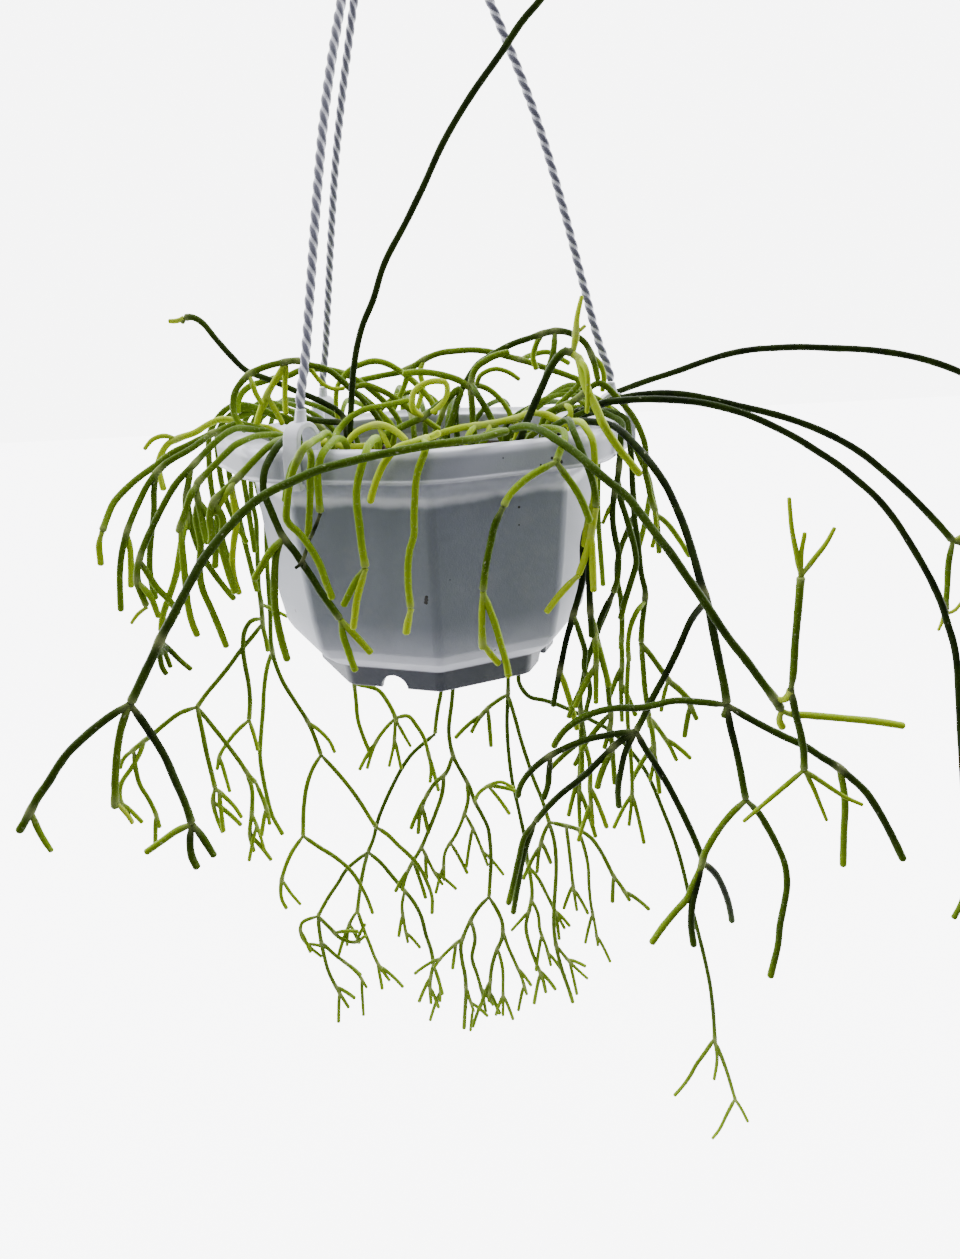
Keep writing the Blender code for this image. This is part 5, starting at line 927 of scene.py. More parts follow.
# short sprays over the back of the rim
fill = {
    "turns": (30.0, 97.0, 156.0, 168.0),
    "seed": 7,
    "root": 50.0 * mm,           # from the pot's axis
    "branches": 3,
    "lengths": (34.0 * mm, 62.0 * mm),
    "first": 1.35,               # the first branch is longer by this
    "widths": (2.6 * mm, 2.0 * mm),
    "age": 0.3,
    "air": 4.0 * mm,             # from the rim's edge to the first branch,
    "layer": 3.0 * mm,           # and from each branch to the next
    "lean": 6.0 * mm,            # along the rim, from each branch to the next
    "leanWander": (-2.0, 2.0),   # in mm
    "tipWander": (-6.0, 4.0),
    "crest": 2.0 * mm,           # each branch crosses the rim higher than the last by this
    # a branch's knots: share of the way to its edge, further out in mm, share of its lean, height above the
    # rim plane in mm, and share of its length that it has fallen by
    "knots": ((0.93, 0.0, 0.4, 9.0, 0.0), (1.0, 1.0, 0.7, 4.0, 0.0), (1.0, 4.0, 1.0, -14.0, 0.0),
              (1.0, 2.0, 1.6, -14.0, 0.5), (1.0, 0.0, 2.4, -14.0, 1.0)),
    "joint": 9,                  # the others leave the first branch this many points from its root
}

# for each spray, where its root stands, in mm, and its branches: the width at both ends in mm, the age from
# 0 to 1, and the way's knots as pixels of the view, across and down, with the depth in mm where one is set
sprayRoutes = {
    "stem_tall": ((-33, -30), """
    2.7 2.5 0.05 350,436,-34 351,410 352,388 357,347 362,327 373,300 383,267 407,220 423,187 443,143 470,97
      503,50 523,20 540,0,-42 558,-30 574,-62,-40;
    1.8 1.4 0.35 568,-50 584,-58,-36 596,-72"""),
    "stem_upper_left": ((-38, 0), """
    2.7 2.4 0.1 346,428,0 345,420 338,411 328,405 309,396 296,391 280,384 265,378 247,371 230,355 215,338
      200,321 192,317,6 184,318;
    2.2 1.4 0.9 185,318 177,321 168,321;
    2.4 2.4 0.2 186,317 182,324;
    2.4 2.0 0.1 345,423 334,422 308,419,8 297,417"""),
    "stem_right_high": ((64, 16), """
    3.0 3.2 0.03 604,424,10 612,411 628,399,10 650,386 679,373 700,364 726,355 750,350 774,348 800,347
      830,348 870,350 905,355 930,361 960,372,-26 985,386 1006,404 1020,430,-30 1026,462;
    2.6 2.0 0.4 1008,408 1030,424 1044,452,-34"""),
    "stem_right_middle": ((68, 4), """
    3.1 3.5 0.03 606,424,-14 616,413 628,407 645,401 667,397 690,397 715,401 738,406 765,412 790,419 817,429
      840,440 860,452 885,472 905,490 925,510 940,526 953,541,-40;
    3.2 3.0 0.2 952,540 975,547 996,560,-44;
    2.4 2.0 0.6 952,539 964,536 980,538;
    3.2 2.8 0.5 952,541 949,560 947,590 945,614,-46;
    1.6 1.0 0.9 946,610 942,622 938,631;
    1.6 1.0 0.9 946,612 954,611 963,600"""),
    "stem_right_low": ((66, -14), """
    3.1 3.5 0.03 600,436,-28 610,421 630,412 655,406 679,404 705,405 730,410 750,416 775,427 798,439 817,451
      837,464 857,480 877,498 895,520 908,540 920,560 932,582 942,605 948,625 954,645 957,665 959,700
      961,740,-62 964,790 967,850;
    2.6 2.2 0.2 967,846 966,880 962,902 953,919,-64;
    2.6 2.0 0.5 967,846 978,872 984,905,-66"""),
    "stem_right_front": ((34, -56), """
    3.2 3.3 0.05 522,442,-72 528,438 536,436 546,438,-88 561,446 577,456 594,470,-108 611,484 626,496 640,513
      655,533 670,552,-128 685,574 699,594 711,612 730,640 746,660 762,682 776,701 782,711,-140;
    2.6 2.2 0.6 781,711 790,714 805,715 840,718 880,722 905,726,-142;
    2.6 2.4 0.7 781,711 779,720 784,729;
    2.4 2.2 0.75 775,700 783,700 789,695 791,689,-144;
    2.0 2.0 0.15 791,691 793,675 795,645 799,600 801,576,-148;
    1.6 1.0 0.6 801,578 797,556 792,530 789,497;
    1.6 1.0 0.6 801,578 801,556 805,532;
    1.6 1.0 0.6 801,578 814,559 827,542 835,527;
    2.3 2.3 0.25 790,690 796,715 801,735 804,755 804,770,-140;
    1.6 1.1 0.5 804,768 785,786 765,803 743,822;
    1.5 1.0 0.5 804,768 813,787 820,804 827,821;
    1.6 1.1 0.5 804,768 825,784 845,797 863,805"""),
    "stem_right_drop": ((60, -33), """
    3.0 3.4 0.02 590,436,-52 600,439 612,443,-64 624,450 638,460 651,472,-84 664,488 674,506 682,523 690,545
      696,565 702,587,-112 708,605 713,630 719,660 725,690 727,705,-126;
    2.8 2.8 0.1 727,702 725,712 723,718;
    2.8 2.6 0.15 726,703 700,702 672,701 655,705 638,708 618,708 600,711 582,718 566,729 556,742
      553,748,-118;
    3.0 3.2 0.08 727,703 745,716 765,727 785,737 805,746 820,756 838,767,-134 850,777 865,791 878,810 890,832
      904,861,-138;
    3.0 2.8 0.35 838,767 843,785 845,803 844,830 843,867;
    3.0 3.0 0.05 727,703 730,725 735,745 740,768 744,790 746,800,-130;
    2.8 2.0 0.45 746,799 733,812 722,825 712,840 705,853 700,870 693,885 688,897 675,912 662,928
      651,944,-126;
    2.9 2.4 0.2 746,799 758,812 768,828 777,845 785,865 787,885 784,905 780,925 778,945 774,962 770,978,-134;
    3.0 3.0 0.03 698,600 690,622,-104 680,645 668,670 657,690 649,705 642,720 636,731,-100;
    3.0 3.0 0.03 637,730 645,748 656,765 668,785 680,808 692,833 701,855 704,864,-108;
    3.1 3.0 0.03 704,862 698,880 693,900 691,922 694,947;
    3.0 2.8 0.03 704,862 714,872 724,890 731,915 732,922,-112;
    2.9 2.8 0.08 637,730 620,733 603,736 585,740 567,747 548,757 535,767 525,778 519,790 518,798,-92;
    2.6 2.6 0.08 548,757 549,773 548,785 543,800;
    3.0 2.9 0.06 637,730 618,743 603,757 585,775 560,795 545,810 535,822,-90;
    2.8 2.6 0.3 535,821 524,838 519,858 514,880 508,905;
    2.8 2.6 0.2 535,821 529,838 523,858 518,885 513,914,-84;
    2.6 2.4 0.06 636,731 626,750 621,770 618,790 619,808,-94;
    2.4 2.2 0.3 612,749 606,762 600,777 597,789"""),
    "stem_riser": ((26, -47), """
    3.2 3.2 0.03 522,444,-62 525,436 531,420 536,407 543,390 550,373 558,360 566,353,-76 573,356;
    2.2 1.2 0.8 572,354 576,338 577,320 582,296,-72;
    1.6 1.0 0.8 576,336 582,330 586,326;
    3.6 3.0 0.85 571,355 579,360 582,372 585,384 590,396 597,410 603,424,-88 609,434 617,446 628,460
      641,476,-86;
    1.8 1.2 0.7 579,360 587,372,-84 588,395 587,414"""),
    "stem_left_front": ((22, -62), """
    3.0 3.3 0.12 512,443,-84 488,445 458,446,-101 430,448 400,452,-108 382,455 349,462,-112 316,471,-114
      293,481,-117 266,494 243,512,-124 228,528 214,545 201,563 191,581 180,602,-140 172,618 162,636 153,656
      143,677 136,692 130,704,-150;
    3.0 3.0 0.1 131,702 112,715 96,727 80,741 67,754 57,768 48,783 38,797 30,812 24,823 18,833,-160;
    1.8 1.3 0.3 31,812 40,833 52,852;
    2.9 2.6 0.35 130,703 122,725 118,745 116,765 115,785 115,809;
    1.4 1.0 0.8 115,800 125,812 133,824;
    3.0 3.0 0.06 131,702 143,722 155,740 165,757 175,780 185,803 192,824,-142;
    2.0 1.8 0.4 192,822 178,830 162,841 145,853;
    2.4 2.0 0.1 192,822 190,840 192,857 198,869;
    2.2 1.8 0.1 192,822 201,835 208,846 215,857;
    1.7 1.3 0.15 160,641 170,650,-134 182,662 192,670;
    1.7 1.3 0.15 159,643 160,656,-136 162,667 167,675;
    1.5 1.3 0.2 161,640 166,655,-132 171,668"""),
    "stem_front_left_dark": ((-46, -44), """
    2.9 3.0 0.03 300,444,-70 293,446 286,454,-84 279,463 272,474,-90 269,487 269,496 273,508 278,522 282,532
      286,540,-94 295,551 302,562 312,577 321,592 331,606 341,620,-98;
    2.6 2.4 0.5 340,618 343,635 348,650 352,662 356,672;
    2.4 2.2 0.5 341,619 352,632 362,643 372,654;
    3.0 3.1 0.25 285,537 279,550 276,565 275,585 275,600 277,618 281,638 288,662,-102;
    2.2 2.0 0.4 281,540 270,555,-98 262,568 254,581"""),
    "stem_front_left_green": ((-41, -50), """
    2.8 2.9 0.45 326,438,-66 319,440,-80 311,444,-93 303,450,-99 297,461 292,474 289,488 287,505 287,521,-101
      299,533 311,549 320,565 326,582 333,600,-104;
    2.6 2.6 0.3 298,459 291,470,-92 287,488 285,503;
    2.8 2.7 0.5 308,447 311,458,-90 310,475 310,496 309,520 308,538"""),
    "stem_front_twig": ((-33, -54), """
    2.6 2.4 0.3 334,448,-74 328,452,-84 320,463,-92 317,478 318,495 320,517,-94;
    1.2 1.0 0.0 320,516 316,528 310,541;
    1.1 0.9 0.0 311,539 305,556,-97 302,564 295,570;
    1.0 0.8 0.0 303,563 305,570"""),
    "stem_front_a": ((-21, -60), """
    3.0 3.1 0.5 374,448,-84 371,451,-92 366,463,-99 361,478 358,492 358,508 360,525 362,545 366,569,-102;
    2.9 2.8 0.75 366,567 361,585 357,600 355,615 353,630;
    2.2 2.0 0.4 365,566 356,582,-100 349,595 343,607"""),
    "stem_front_b": ((-6, -66), """
    2.9 2.8 0.8 424,448,-92 411,450,-99 399,453 390,460,-104 383,470 377,483 373,495 370,507,-104;
    2.7 2.8 0.55 422,449 426,452,-101 424,460,-105 419,472 416,485 415,500 414,520 414,536 410,550 408,565
      408,580 409,595 411,609,-106;
    2.4 2.2 0.8 411,607 408,622 406,635;
    2.6 2.4 0.9 425,449 432,447 440,443,-86"""),
    "stem_front_d": ((42, -50), """
    2.6 2.6 0.35 562,443,-78 562,449,-86 557,459,-93 553,470,-96;
    2.5 2.7 0.45 553,469 540,475 528,481 516,490 507,500 502,510,-104;
    2.8 2.9 0.2 502,508 494,527 490,545 486,565 484,580 483,592,-105;
    2.8 2.4 0.6 483,590 482,612 482,630 483,650;
    2.8 2.6 0.65 483,590 489,608 495,624 501,645 506,662 509,678,-106;
    2.0 1.8 0.7 483,646 492,656 500,665;
    2.5 2.4 0.35 553,469 562,480 571,490 578,500 584,512 589,526,-94"""),
    "stem_left_bunch_high": ((-70, -8), """
    3.0 3.0 0.15 240,432,-14 232,430,-18 222,433 206,439 190,446 172,454 156,466,-30 140,477 125,490 113,504
      107,518 102,532,-52;
    2.7 2.4 0.45 102,531 99,545 100,556 101,566;
    2.6 2.8 0.1 206,439 188,452,-30 165,465 155,475 147,486 140,500 132,518 126,535,-50 122,552 120,570
      120,590 121,612,-54;
    2.6 2.4 0.55 128,531 130,548,-48 131,566 131,588;
    2.7 2.6 0.1 154,474 154,490,-38 154,510 152,530 150,550 150,570 152,585 156,600,-46"""),
    "stem_left_bunch_low": ((-63, -18), """
    2.9 2.8 0.1 244,438,-26 232,436,-34 220,442,-40 205,455 190,470,-52 178,482 168,497 160,512 152,528
      145,543 140,557 137,572,-66 138,585 143,598 147,607;
    2.2 2.0 0.2 140,558 148,574,-62 158,589 169,600 179,615;
    2.0 1.8 0.3 140,580 150,596,-68 159,618;
    1.5 1.0 0.5 146,604 137,615 131,624;
    2.7 2.5 0.1 192,468 188,485,-54 186,500 186,515 188,531;
    2.7 2.6 0.15 187,498 191,525,-52 197,545 205,560 215,575 225,588 235,600,-58;
    2.2 2.0 0.4 186,520 181,545,-60 176,575 168,600 163,615 161,632"""),
    "stem_left_bunch_near": ((-57, -28), """
    2.8 2.8 0.1 262,446,-48 252,452,-56 237,461,-62 222,472 210,481 202,489,-72 203,505 206,525 210,546,-76;
    2.6 2.5 0.15 205,503 211,516,-74 217,531 217,550 216,569;
    2.7 2.6 0.1 203,487 195,498,-76 190,510 184,525 181,535;
    2.4 2.0 0.3 183,528 184,556,-78 186,584 188,604 192,622 198,637;
    2.4 2.0 0.2 200,500 199,520,-70 202,545 200,570 203,590 210,606 218,625 227,648,-72"""),
    "stem_left_bunch_front": ((-52, -36), """
    2.6 2.7 0.2 282,446,-62 274,452,-74 258,465,-80 245,477 230,490 215,504,-88 211,520 213,538 211,546;
    1.8 1.6 0.4 240,481 232,492,-86 223,505 216,516;
    2.0 1.7 0.8 234,488 236,505,-82 238,522 235,540 233,560 234,575 240,595;
    2.2 2.0 0.3 217,503 224,520,-86 222,545 228,570 236,594"""),
    "stem_left_pale": ((-61, 3), """
    2.4 2.2 0.85 262,428,4 250,428,0 235,422 222,420,-8 208,425 195,433 180,438 168,444,-16 161,455 158,466
      160,476 164,491,-22;
    1.8 1.3 0.7 178,439 166,436 152,440 144,450,-20"""),
    "stem_back_left": ((-44, 40), """
    2.8 2.7 0.3 290,404,50 274,404,60 263,414,68 255,440,72 251,470,76 252,500 256,520 257,545 258,568
      259,590 261,603,76 262,615 263,627 266,640 268,652,76;
    1.8 1.5 0.4 261,602 272,609,80 288,617;
    2.5 2.5 0.3 262,618 251,621,70 245,630 243,645 245,665 248,680 250,700 249,720,68;
    2.0 1.6 0.5 249,719 238,730 228,742 220,755 217,770;
    2.0 1.8 0.5 249,719 254,735 258,751;
    2.7 2.6 0.3 262,626 252,637,72 241,650 230,665 218,680 207,693 197,707,58;
    2.4 2.2 0.35 198,706 180,713 165,724,54 152,735 140,744 130,753;
    2.0 1.6 0.4 132,751 124,758 120,769;
    2.2 1.8 0.4 132,751 136,770 140,785 148,798 155,812 160,828;
    2.2 1.7 0.5 145,740 138,757 130,770 122,782 120,797 133,823;
    2.4 2.2 0.35 198,706 202,730,56 207,755 212,775 215,788;
    2.1 1.7 0.5 215,786 213,800 217,818 223,833;
    2.1 1.7 0.5 215,786 225,797 234,806 242,818;
    2.5 2.4 0.35 198,707 210,723,62 225,742 240,762 248,774 256,783;
    2.1 1.7 0.45 255,782 262,797 267,811 270,825;
    2.2 1.8 0.45 248,772 252,790,66 252,810 250,835 254,852;
    1.8 1.4 0.5 252,814 259,832 265,851"""),
    "stem_back_left_long": ((-36, 47), """
    2.7 2.7 0.3 294,400,62 282,401,70 274,414,76 268,440,82 266,480,86 266,510 267,560 270,610 273,655,86
      282,680 296,703 308,722 315,738 321,755,86;
    2.6 2.3 0.4 272,650 267,668,90 264,690 263,710 261,735 260,755 262,772 266,792 272,815 283,835;
    1.9 1.7 0.45 308,722 320,731 330,742 335,753;
    2.5 2.3 0.4 321,753 313,768 307,785 304,805 303,836;
    2.2 1.8 0.45 303,834 292,852 285,868 281,885 282,900 287,909;
    1.7 1.5 0.5 282,880 290,892 301,905;
    2.2 1.8 0.4 303,835 319,847 335,857 345,865 355,876 361,886 367,898 373,914;
    2.5 2.3 0.35 321,754 335,770 350,788 362,805 370,818 376,827;
    2.2 1.8 0.4 376,825 388,835 398,845 408,854 418,865 426,880 432,897 432,914"""),
    "stem_back_left_centre": ((-19, 62), """
    2.6 2.6 0.35 352,402,80 346,402,90 342,413,98 340,440,104 342,510 346,570 350,630 353,672,106 356,700
      358,720 363,736 370,753,102;
    2.3 2.2 0.35 354,684 366,686,102 378,690 387,701 393,712 397,722;
    2.0 1.6 0.4 396,720 385,729 376,742 371,755 367,769;
    1.8 1.5 0.4 396,720 394,743 389,767;
    1.9 1.5 0.4 397,722 404,735 411,747;
    2.1 1.7 0.4 396,719 408,716 416,725 424,738 428,752 431,768 430,783"""),
    "stem_back_centre_left": ((0, 67), """
    2.8 2.8 0.3 420,402,88 420,402,101 421,412,108 424,440,114 430,540 436,600 441,660,114 441,692 438,708
      436,722 435,734,112;
    2.6 2.6 0.25 435,732 424,743 412,754 402,768 393,785 385,802 378,820 373,840 368,852,104;
    2.6 2.4 0.3 368,850 356,861 347,869 338,883 328,898 318,916;
    1.9 1.5 0.4 318,914 302,923 301,935 309,946 322,957;
    2.2 1.7 0.35 318,915 320,935 324,955 328,970 335,985 349,1008;
    2.1 1.6 0.35 318,915 330,928 342,939 356,942 366,935;
    1.9 1.5 0.35 321,940 334,954 347,964 358,974 367,988;
    2.3 2.1 0.35 368,850 364,867,108 361,882 359,897 357,914;
    1.9 1.6 0.4 357,910 349,925 347,946;
    2.1 1.6 0.4 357,911 364,930 370,945 376,960 382,970 390,981;
    2.5 2.2 0.3 368,850 380,862,100 392,876 403,889 413,901 421,916 426,935 431,950 434,966;
    2.0 1.7 0.4 433,964 430,984 431,1004;
    1.9 1.6 0.4 434,965 440,985 440,1002;
    1.8 1.6 0.4 403,891 402,906 404,922 408,943"""),
    "stem_back_centre_right": ((12, 63), """
    2.8 2.8 0.3 454,402,84 457,403,96 459,413,103 460,440,106 460,530 458,590 456,650,98 452,700 449,735
      454,758 462,773 470,788 475,802 482,815 488,828 490,842 491,862 490,880 489,897,88;
    2.2 1.9 0.35 453,756 446,773,92 435,783 427,795 421,810 418,834;
    2.2 1.8 0.35 444,776 442,794 436,812 428,832 420,850 412,863 406,876 402,891;
    1.8 1.5 0.4 421,848 429,862 436,875 443,885;
    2.0 1.6 0.4 466,782 468,800,94 463,818 455,836 446,850 444,881;
    1.8 1.5 0.4 466,812 475,833 482,850 488,866;
    2.0 1.6 0.5 475,800 480,792,86 488,786 500,782 514,788;
    2.4 2.1 0.35 489,895 480,906 472,918 466,930 461,945 462,960 465,975 466,992 465,1010 464,1029;
    1.9 1.5 0.4 463,938 451,948 441,958 434,968;
    1.9 1.5 0.4 466,984 470,1000 474,1012;
    2.2 1.7 0.35 472,918 475,940,92 472,958 477,974 482,992 486,1012;
    2.2 1.9 0.35 489,896 497,910,84 502,922 502,938 496,952 492,966 490,985 489,1002;
    1.9 1.6 0.4 501,930 507,944 514,960 521,976 527,995;
    1.9 1.5 0.4 498,948 502,965,80 503,990 503,1016"""),
    "stem_back_right": ((25, 60), """
    2.8 2.8 0.25 500,404,74 507,408,86 511,422,96 513,450,100 511,540 509,600 508,650,108 508,694 507,720
      508,745 510,765 513,785 517,802 521,820 525,840 528,866,102;
    2.6 2.4 0.3 508,694 515,718,100 521,740 528,762 534,780 541,797 546,812 549,822,94;
    2.1 1.8 0.35 549,820 543,836 539,852 537,873;
    2.4 2.1 0.35 549,820 554,840 556,858 556,876 555,892 554,910 554,930 557,950 562,970 569,990 573,1003;
    1.8 1.5 0.4 556,946 567,959 578,970 588,979;
    2.3 2.0 0.35 549,820 562,825 577,829 590,837 600,850 607,863 613,875 621,886 630,901;
    2.0 1.6 0.4 564,826 568,840 570,857 573,885 577,911;
    1.9 1.5 0.4 577,829 584,847 588,865 589,885 591,905 595,925 598,946;
    2.2 1.9 0.4 528,864 531,880 532,896 529,911 526,925 530,946 537,965 543,980 546,993;
    1.9 1.6 0.4 532,898 538,914 540,930 546,946 551,966;
    2.0 1.6 0.4 528,864 538,878,98 546,893 555,911 565,929;
    1.8 1.5 0.4 529,910 520,921 511,931;
    2.2 2.0 0.35 508,694 497,701 487,709,112 478,720 471,733"""),
    "stem_back_arc": ((42, 52), """
    2.8 2.8 0.2 545,410,52 558,412,62 566,424,70 568,450,76 556,520 540,590 524,650,82 520,685 530,697
      543,700 556,704 568,709 583,716 597,723 611,731 623,742 634,755,76 645,770 653,786 662,808 672,833
      680,858 686,882 691,905,62 697,928 704,956 710,985 713,1010 715,1042,56;
    2.2 1.7 0.35 715,1040 704,1054 696,1065 690,1076 682,1087 674,1096;
    1.9 1.6 0.4 715,1040 717,1060 714,1080;
    2.1 1.7 0.35 715,1040 722,1058 728,1075 733,1092 736,1102;
    1.9 1.5 0.4 735,1098 726,1116 719,1130 712,1139;
    1.8 1.5 0.4 735,1098 742,1110 748,1122"""),
    "stem_curtain_inner": ((48, -46), """
    2.6 2.6 0.1 566,426,-60 573,438,-76 583,462,-82 590,480 594,497 595,510,-82;
    2.2 2.0 0.85 595,508 592,525 589,540 585,556 578,576,-84;
    2.4 2.3 0.05 595,509 592,528,-78 590,548 589,575 590,605 592,638;
    1.9 1.6 0.2 590,610 594,628 600,650,-76 604,665 607,680 609,700 611,720 608,735 604,749;
    1.9 1.6 0.3 594,628 596,655,-80 596,675 596,704"""),
    "stem_curtain_middle": ((64, -23), """
    2.7 2.6 0.05 592,424,-32 600,436,-36 604,455,-46 606,470 607,485 606,500 606,510,-48 608,525 612,540
      616,553 617,566 616,581 612,594,-50;
    2.2 2.0 0.1 613,592 606,606 600,620 597,634;
    2.0 1.7 0.15 611,595 605,613,-46 598,630 592,647 587,662 583,680 580,698 582,720 584,740 580,755 574,766;
    1.8 1.5 0.3 582,714 581,742,-44 580,770 579,800 580,827;
    1.8 1.5 0.4 584,738 590,765,-48 590,789 593,825;
    2.4 2.2 0.1 606,488 614,504,-42 622,520 628,535 633,550 635,564 631,580,-40 626,597 620,620;
    1.6 1.2 0.4 606,505 600,518 596,528"""),
    "stem_curtain_outer": ((66, -5), """
    2.7 2.6 0.05 602,424,-16 608,434,-24 614,450,-30 620,468 624,485 628,503 631,520,-30 635,537 638,555
      641,575 645,592 644,608 642,625 641,643,-32;
    2.1 1.8 0.2 642,641 643,665 645,690 648,710 650,728;
    1.9 1.5 0.3 649,716 653,738,-36 654,760 650,781;
    1.9 1.5 0.3 649,718 660,731,-28 668,743 677,761;
    2.1 1.8 0.2 642,641 652,657 662,671 671,683 682,693 690,705 697,720;
    1.7 1.4 0.3 668,680 664,695 661,712;
    2.2 1.9 0.15 630,518 625,534,-22 620,548 617,562 617,580 621,600 622,625 621,650;
    1.9 1.6 0.2 621,640 622,665,-20 621,690 622,722;
    1.9 1.6 0.3 643,600 636,613,-38 631,625 628,645 629,662;
    1.7 1.4 0.3 629,655 627,690,-42 628,725 631,760 632,795 629,826"""),
    "stem_curtain_far": ((60, 26), """
    2.4 2.4 0.3 588,422,26 603,424,20 614,430,16 626,446 636,463 645,478 650,494 654,509 657,526 658,540
      659,554,12;
    2.2 2.0 0.4 657,516 668,525,16 680,541 690,557;
    2.2 2.0 0.45 651,494 646,515,10 643,530 637,553"""),
    "stem_curtain_light": ((54, -40), """
    2.6 2.4 0.75 580,428,-62 586,434,-74 592,446,-78 594,462 594,482 594,498 590,516 586,532 584,548,-72;
    2.2 1.8 0.6 589,520 583,545,-68 583,563 582,582 577,602 572,620 567,637 562,660 559,675 556,690 553,707;
    1.9 1.5 0.3 574,612 580,634,-74 585,652 584,668 589,682 590,694 587,706 585,721"""),
    "stem_top_left": ((-30, 10), """
    2.6 2.4 0.25 384,432,6 379,420 372,410,2 360,397 350,388 340,379 330,371 320,367 310,365 300,361 291,361
      280,363 265,367,-10 250,374 240,384 234,395 233,405 235,416 240,424 246,432,-18;
    2.2 2.0 0.85 285,363 278,376,-6 270,389 264,401 259,415 255,430;
    2.0 1.8 0.8 284,363 285,384,-2 285,400 286,415;
    2.0 1.8 0.7 268,393 271,403 277,413 283,425;
    1.8 1.6 0.6 252,374 253,386,-14 257,396 263,405;
    1.8 1.4 0.7 300,361 312,371,6 322,383 334,389 345,388"""),
    "stem_top_left_back": ((-24, 22), """
    2.4 2.2 0.3 400,424,20 390,408 376,394,18 360,382 345,374 330,370 312,369,14 298,371 290,375 276,378
      262,382 250,386 242,393 238,402,10 238,414;
    1.9 1.6 0.6 276,378 270,390,16 266,403 260,412;
    1.9 1.6 0.5 345,374 337,388,22 336,405 338,420"""),
    "stem_top_arch_low": ((-17, 15), """
    2.3 2.2 0.5 394,430,14 380,413,16 364,398 350,388 343,380 350,370 362,364 375,361 388,364 400,371 412,380
      423,391 432,403,8 436,415;
    2.2 1.9 0.15 352,388 366,385,12 378,389 390,395 400,402 411,410 424,419 440,430"""),
    "stem_top_arch_wide": ((26, 20), """
    2.4 2.2 0.35 548,424,16 556,408 572,392 580,382,14 569,376 555,371 540,366 525,361 510,357 495,353
      475,350 455,351 440,353 425,359 412,367 400,372 385,375 366,379 350,383,24;
    2.0 1.7 0.4 520,360 535,354,22 548,352 560,358 570,364;
    2.0 1.7 0.6 425,359 420,372 423,386 420,400 416,411,12;
    2.0 1.7 0.5 410,368 405,384 399,398 393,411"""),
    "stem_top_arch_high": ((14, -12), """
    2.8 2.5 0.15 457,434,-14 456,422 456,410 458,399 463,387 470,375 478,364 490,356 502,349 515,343 530,338
      545,333 556,331 566,332 576,336 585,343 591,354 595,366 598,381,-20;
    2.1 1.8 0.2 545,333 536,345,-8 533,357 537,370;
    2.1 1.8 0.25 558,331 553,354,-22 547,372 540,391;
    1.9 1.6 0.6 591,354 600,364 604,377 602,392"""),
    "stem_top_loop": ((18, -26), """
    2.6 2.3 0.2 474,436,-30 473,424 472,405 471,390 472,378 476,368 485,361 497,355,-26 510,352;
    2.3 2.1 0.3 472,388 462,382 450,377 438,374 420,372 402,374,-34;
    2.2 2.0 0.15 472,386 480,399,-38 488,412 495,426 503,442"""),
    "stem_top_dark": ((-8, -34), """
    2.5 2.2 0.05 442,440,-40 450,424 456,406 461,388,-34 449,397 436,407 424,416 410,423 395,430 380,436,-48;
    2.0 1.6 0.9 424,416 412,404,-52 414,392 424,384 437,381 446,383 447,394 441,405 431,413"""),
    "stem_top_lime": ((4, -46), """
    2.6 2.8 0.8 420,448,-58 421,441 431,437 445,432 460,428,-62 475,426 490,424 504,421,-58 517,418 527,414
      537,412,-50;
    3.2 3.3 0.95 534,412 545,420,-54 555,430 566,440 573,446,-64;
    2.0 1.6 0.8 516,418 518,431 514,442;
    2.0 1.6 0.7 490,424 488,434,-66 484,443;
    1.9 1.6 0.5 476,426 468,436,-68 464,446"""),
    "stem_top_right": ((34, -20), """
    2.6 2.3 0.15 540,428,-22 546,414 560,407 572,402 583,394 591,387 599,383 607,387 614,394 623,404 632,415
      640,430,-18 645,445 646,458 645,470 648,484 651,499 656,512;
    2.0 1.7 0.6 566,404 578,418,-30 582,434 586,450;
    2.0 1.7 0.4 577,398 586,412,-14 595,423 604,430;
    1.9 1.6 0.3 584,393 592,402,-8 604,412 614,426;
    1.8 1.5 0.4 655,508 656,530 652,548"""),
    "stem_top_bright": ((-46, -26), """
    2.4 2.2 0.9 322,452,-46 316,450 318,445 324,442 332,442 340,445 352,447,-52 366,446 380,444;
    2.2 2.0 0.9 344,446 351,438 359,431 368,427 378,425 388,427 398,433 407,442,-58;
    1.8 1.5 0.7 379,425 384,437,-56 389,448;
    2.0 1.7 0.3 330,442 340,428,-40 352,416 366,409 382,406 396,403 410,400,-36"""),
    "stem_top_back": ((4, 46), """
    2.2 2.0 0.4 440,420,44 446,404 456,392 470,385 486,388 498,397 508,410,50 514,424;
    2.0 1.7 0.4 442,412 432,398,50 418,392 402,394 388,402 378,414;
    1.9 1.6 0.5 478,386 482,374,40 494,369 508,372 520,380"""),
}


def spots(pixels, depths):
    # the places where the sight lines through the pixels meet the planes y = depth
    forward, right, up = sightAxes()
    across = (pixels[:, 0] - view["middle"][0]) / view["focalPixels"]
    down = (pixels[:, 1] - view["middle"][1]) / view["focalPixels"]
    rays = forward + right * across[:, None] - up * down[:, None]
    return view["eye"] + rays * ((depths - view["eye"][1]) / rays[:, 1])[:, None]


def pixelsOf(places):
    # where places appear in the view
    forward, right, up = sightAxes()
    away = places - view["eye"]
    ahead = away @ forward
    return np.stack([view["middle"][0] + view["focalPixels"] * (away @ right) / ahead,
                     view["middle"][1] - view["focalPixels"] * (away @ up) / ahead], axis=1)


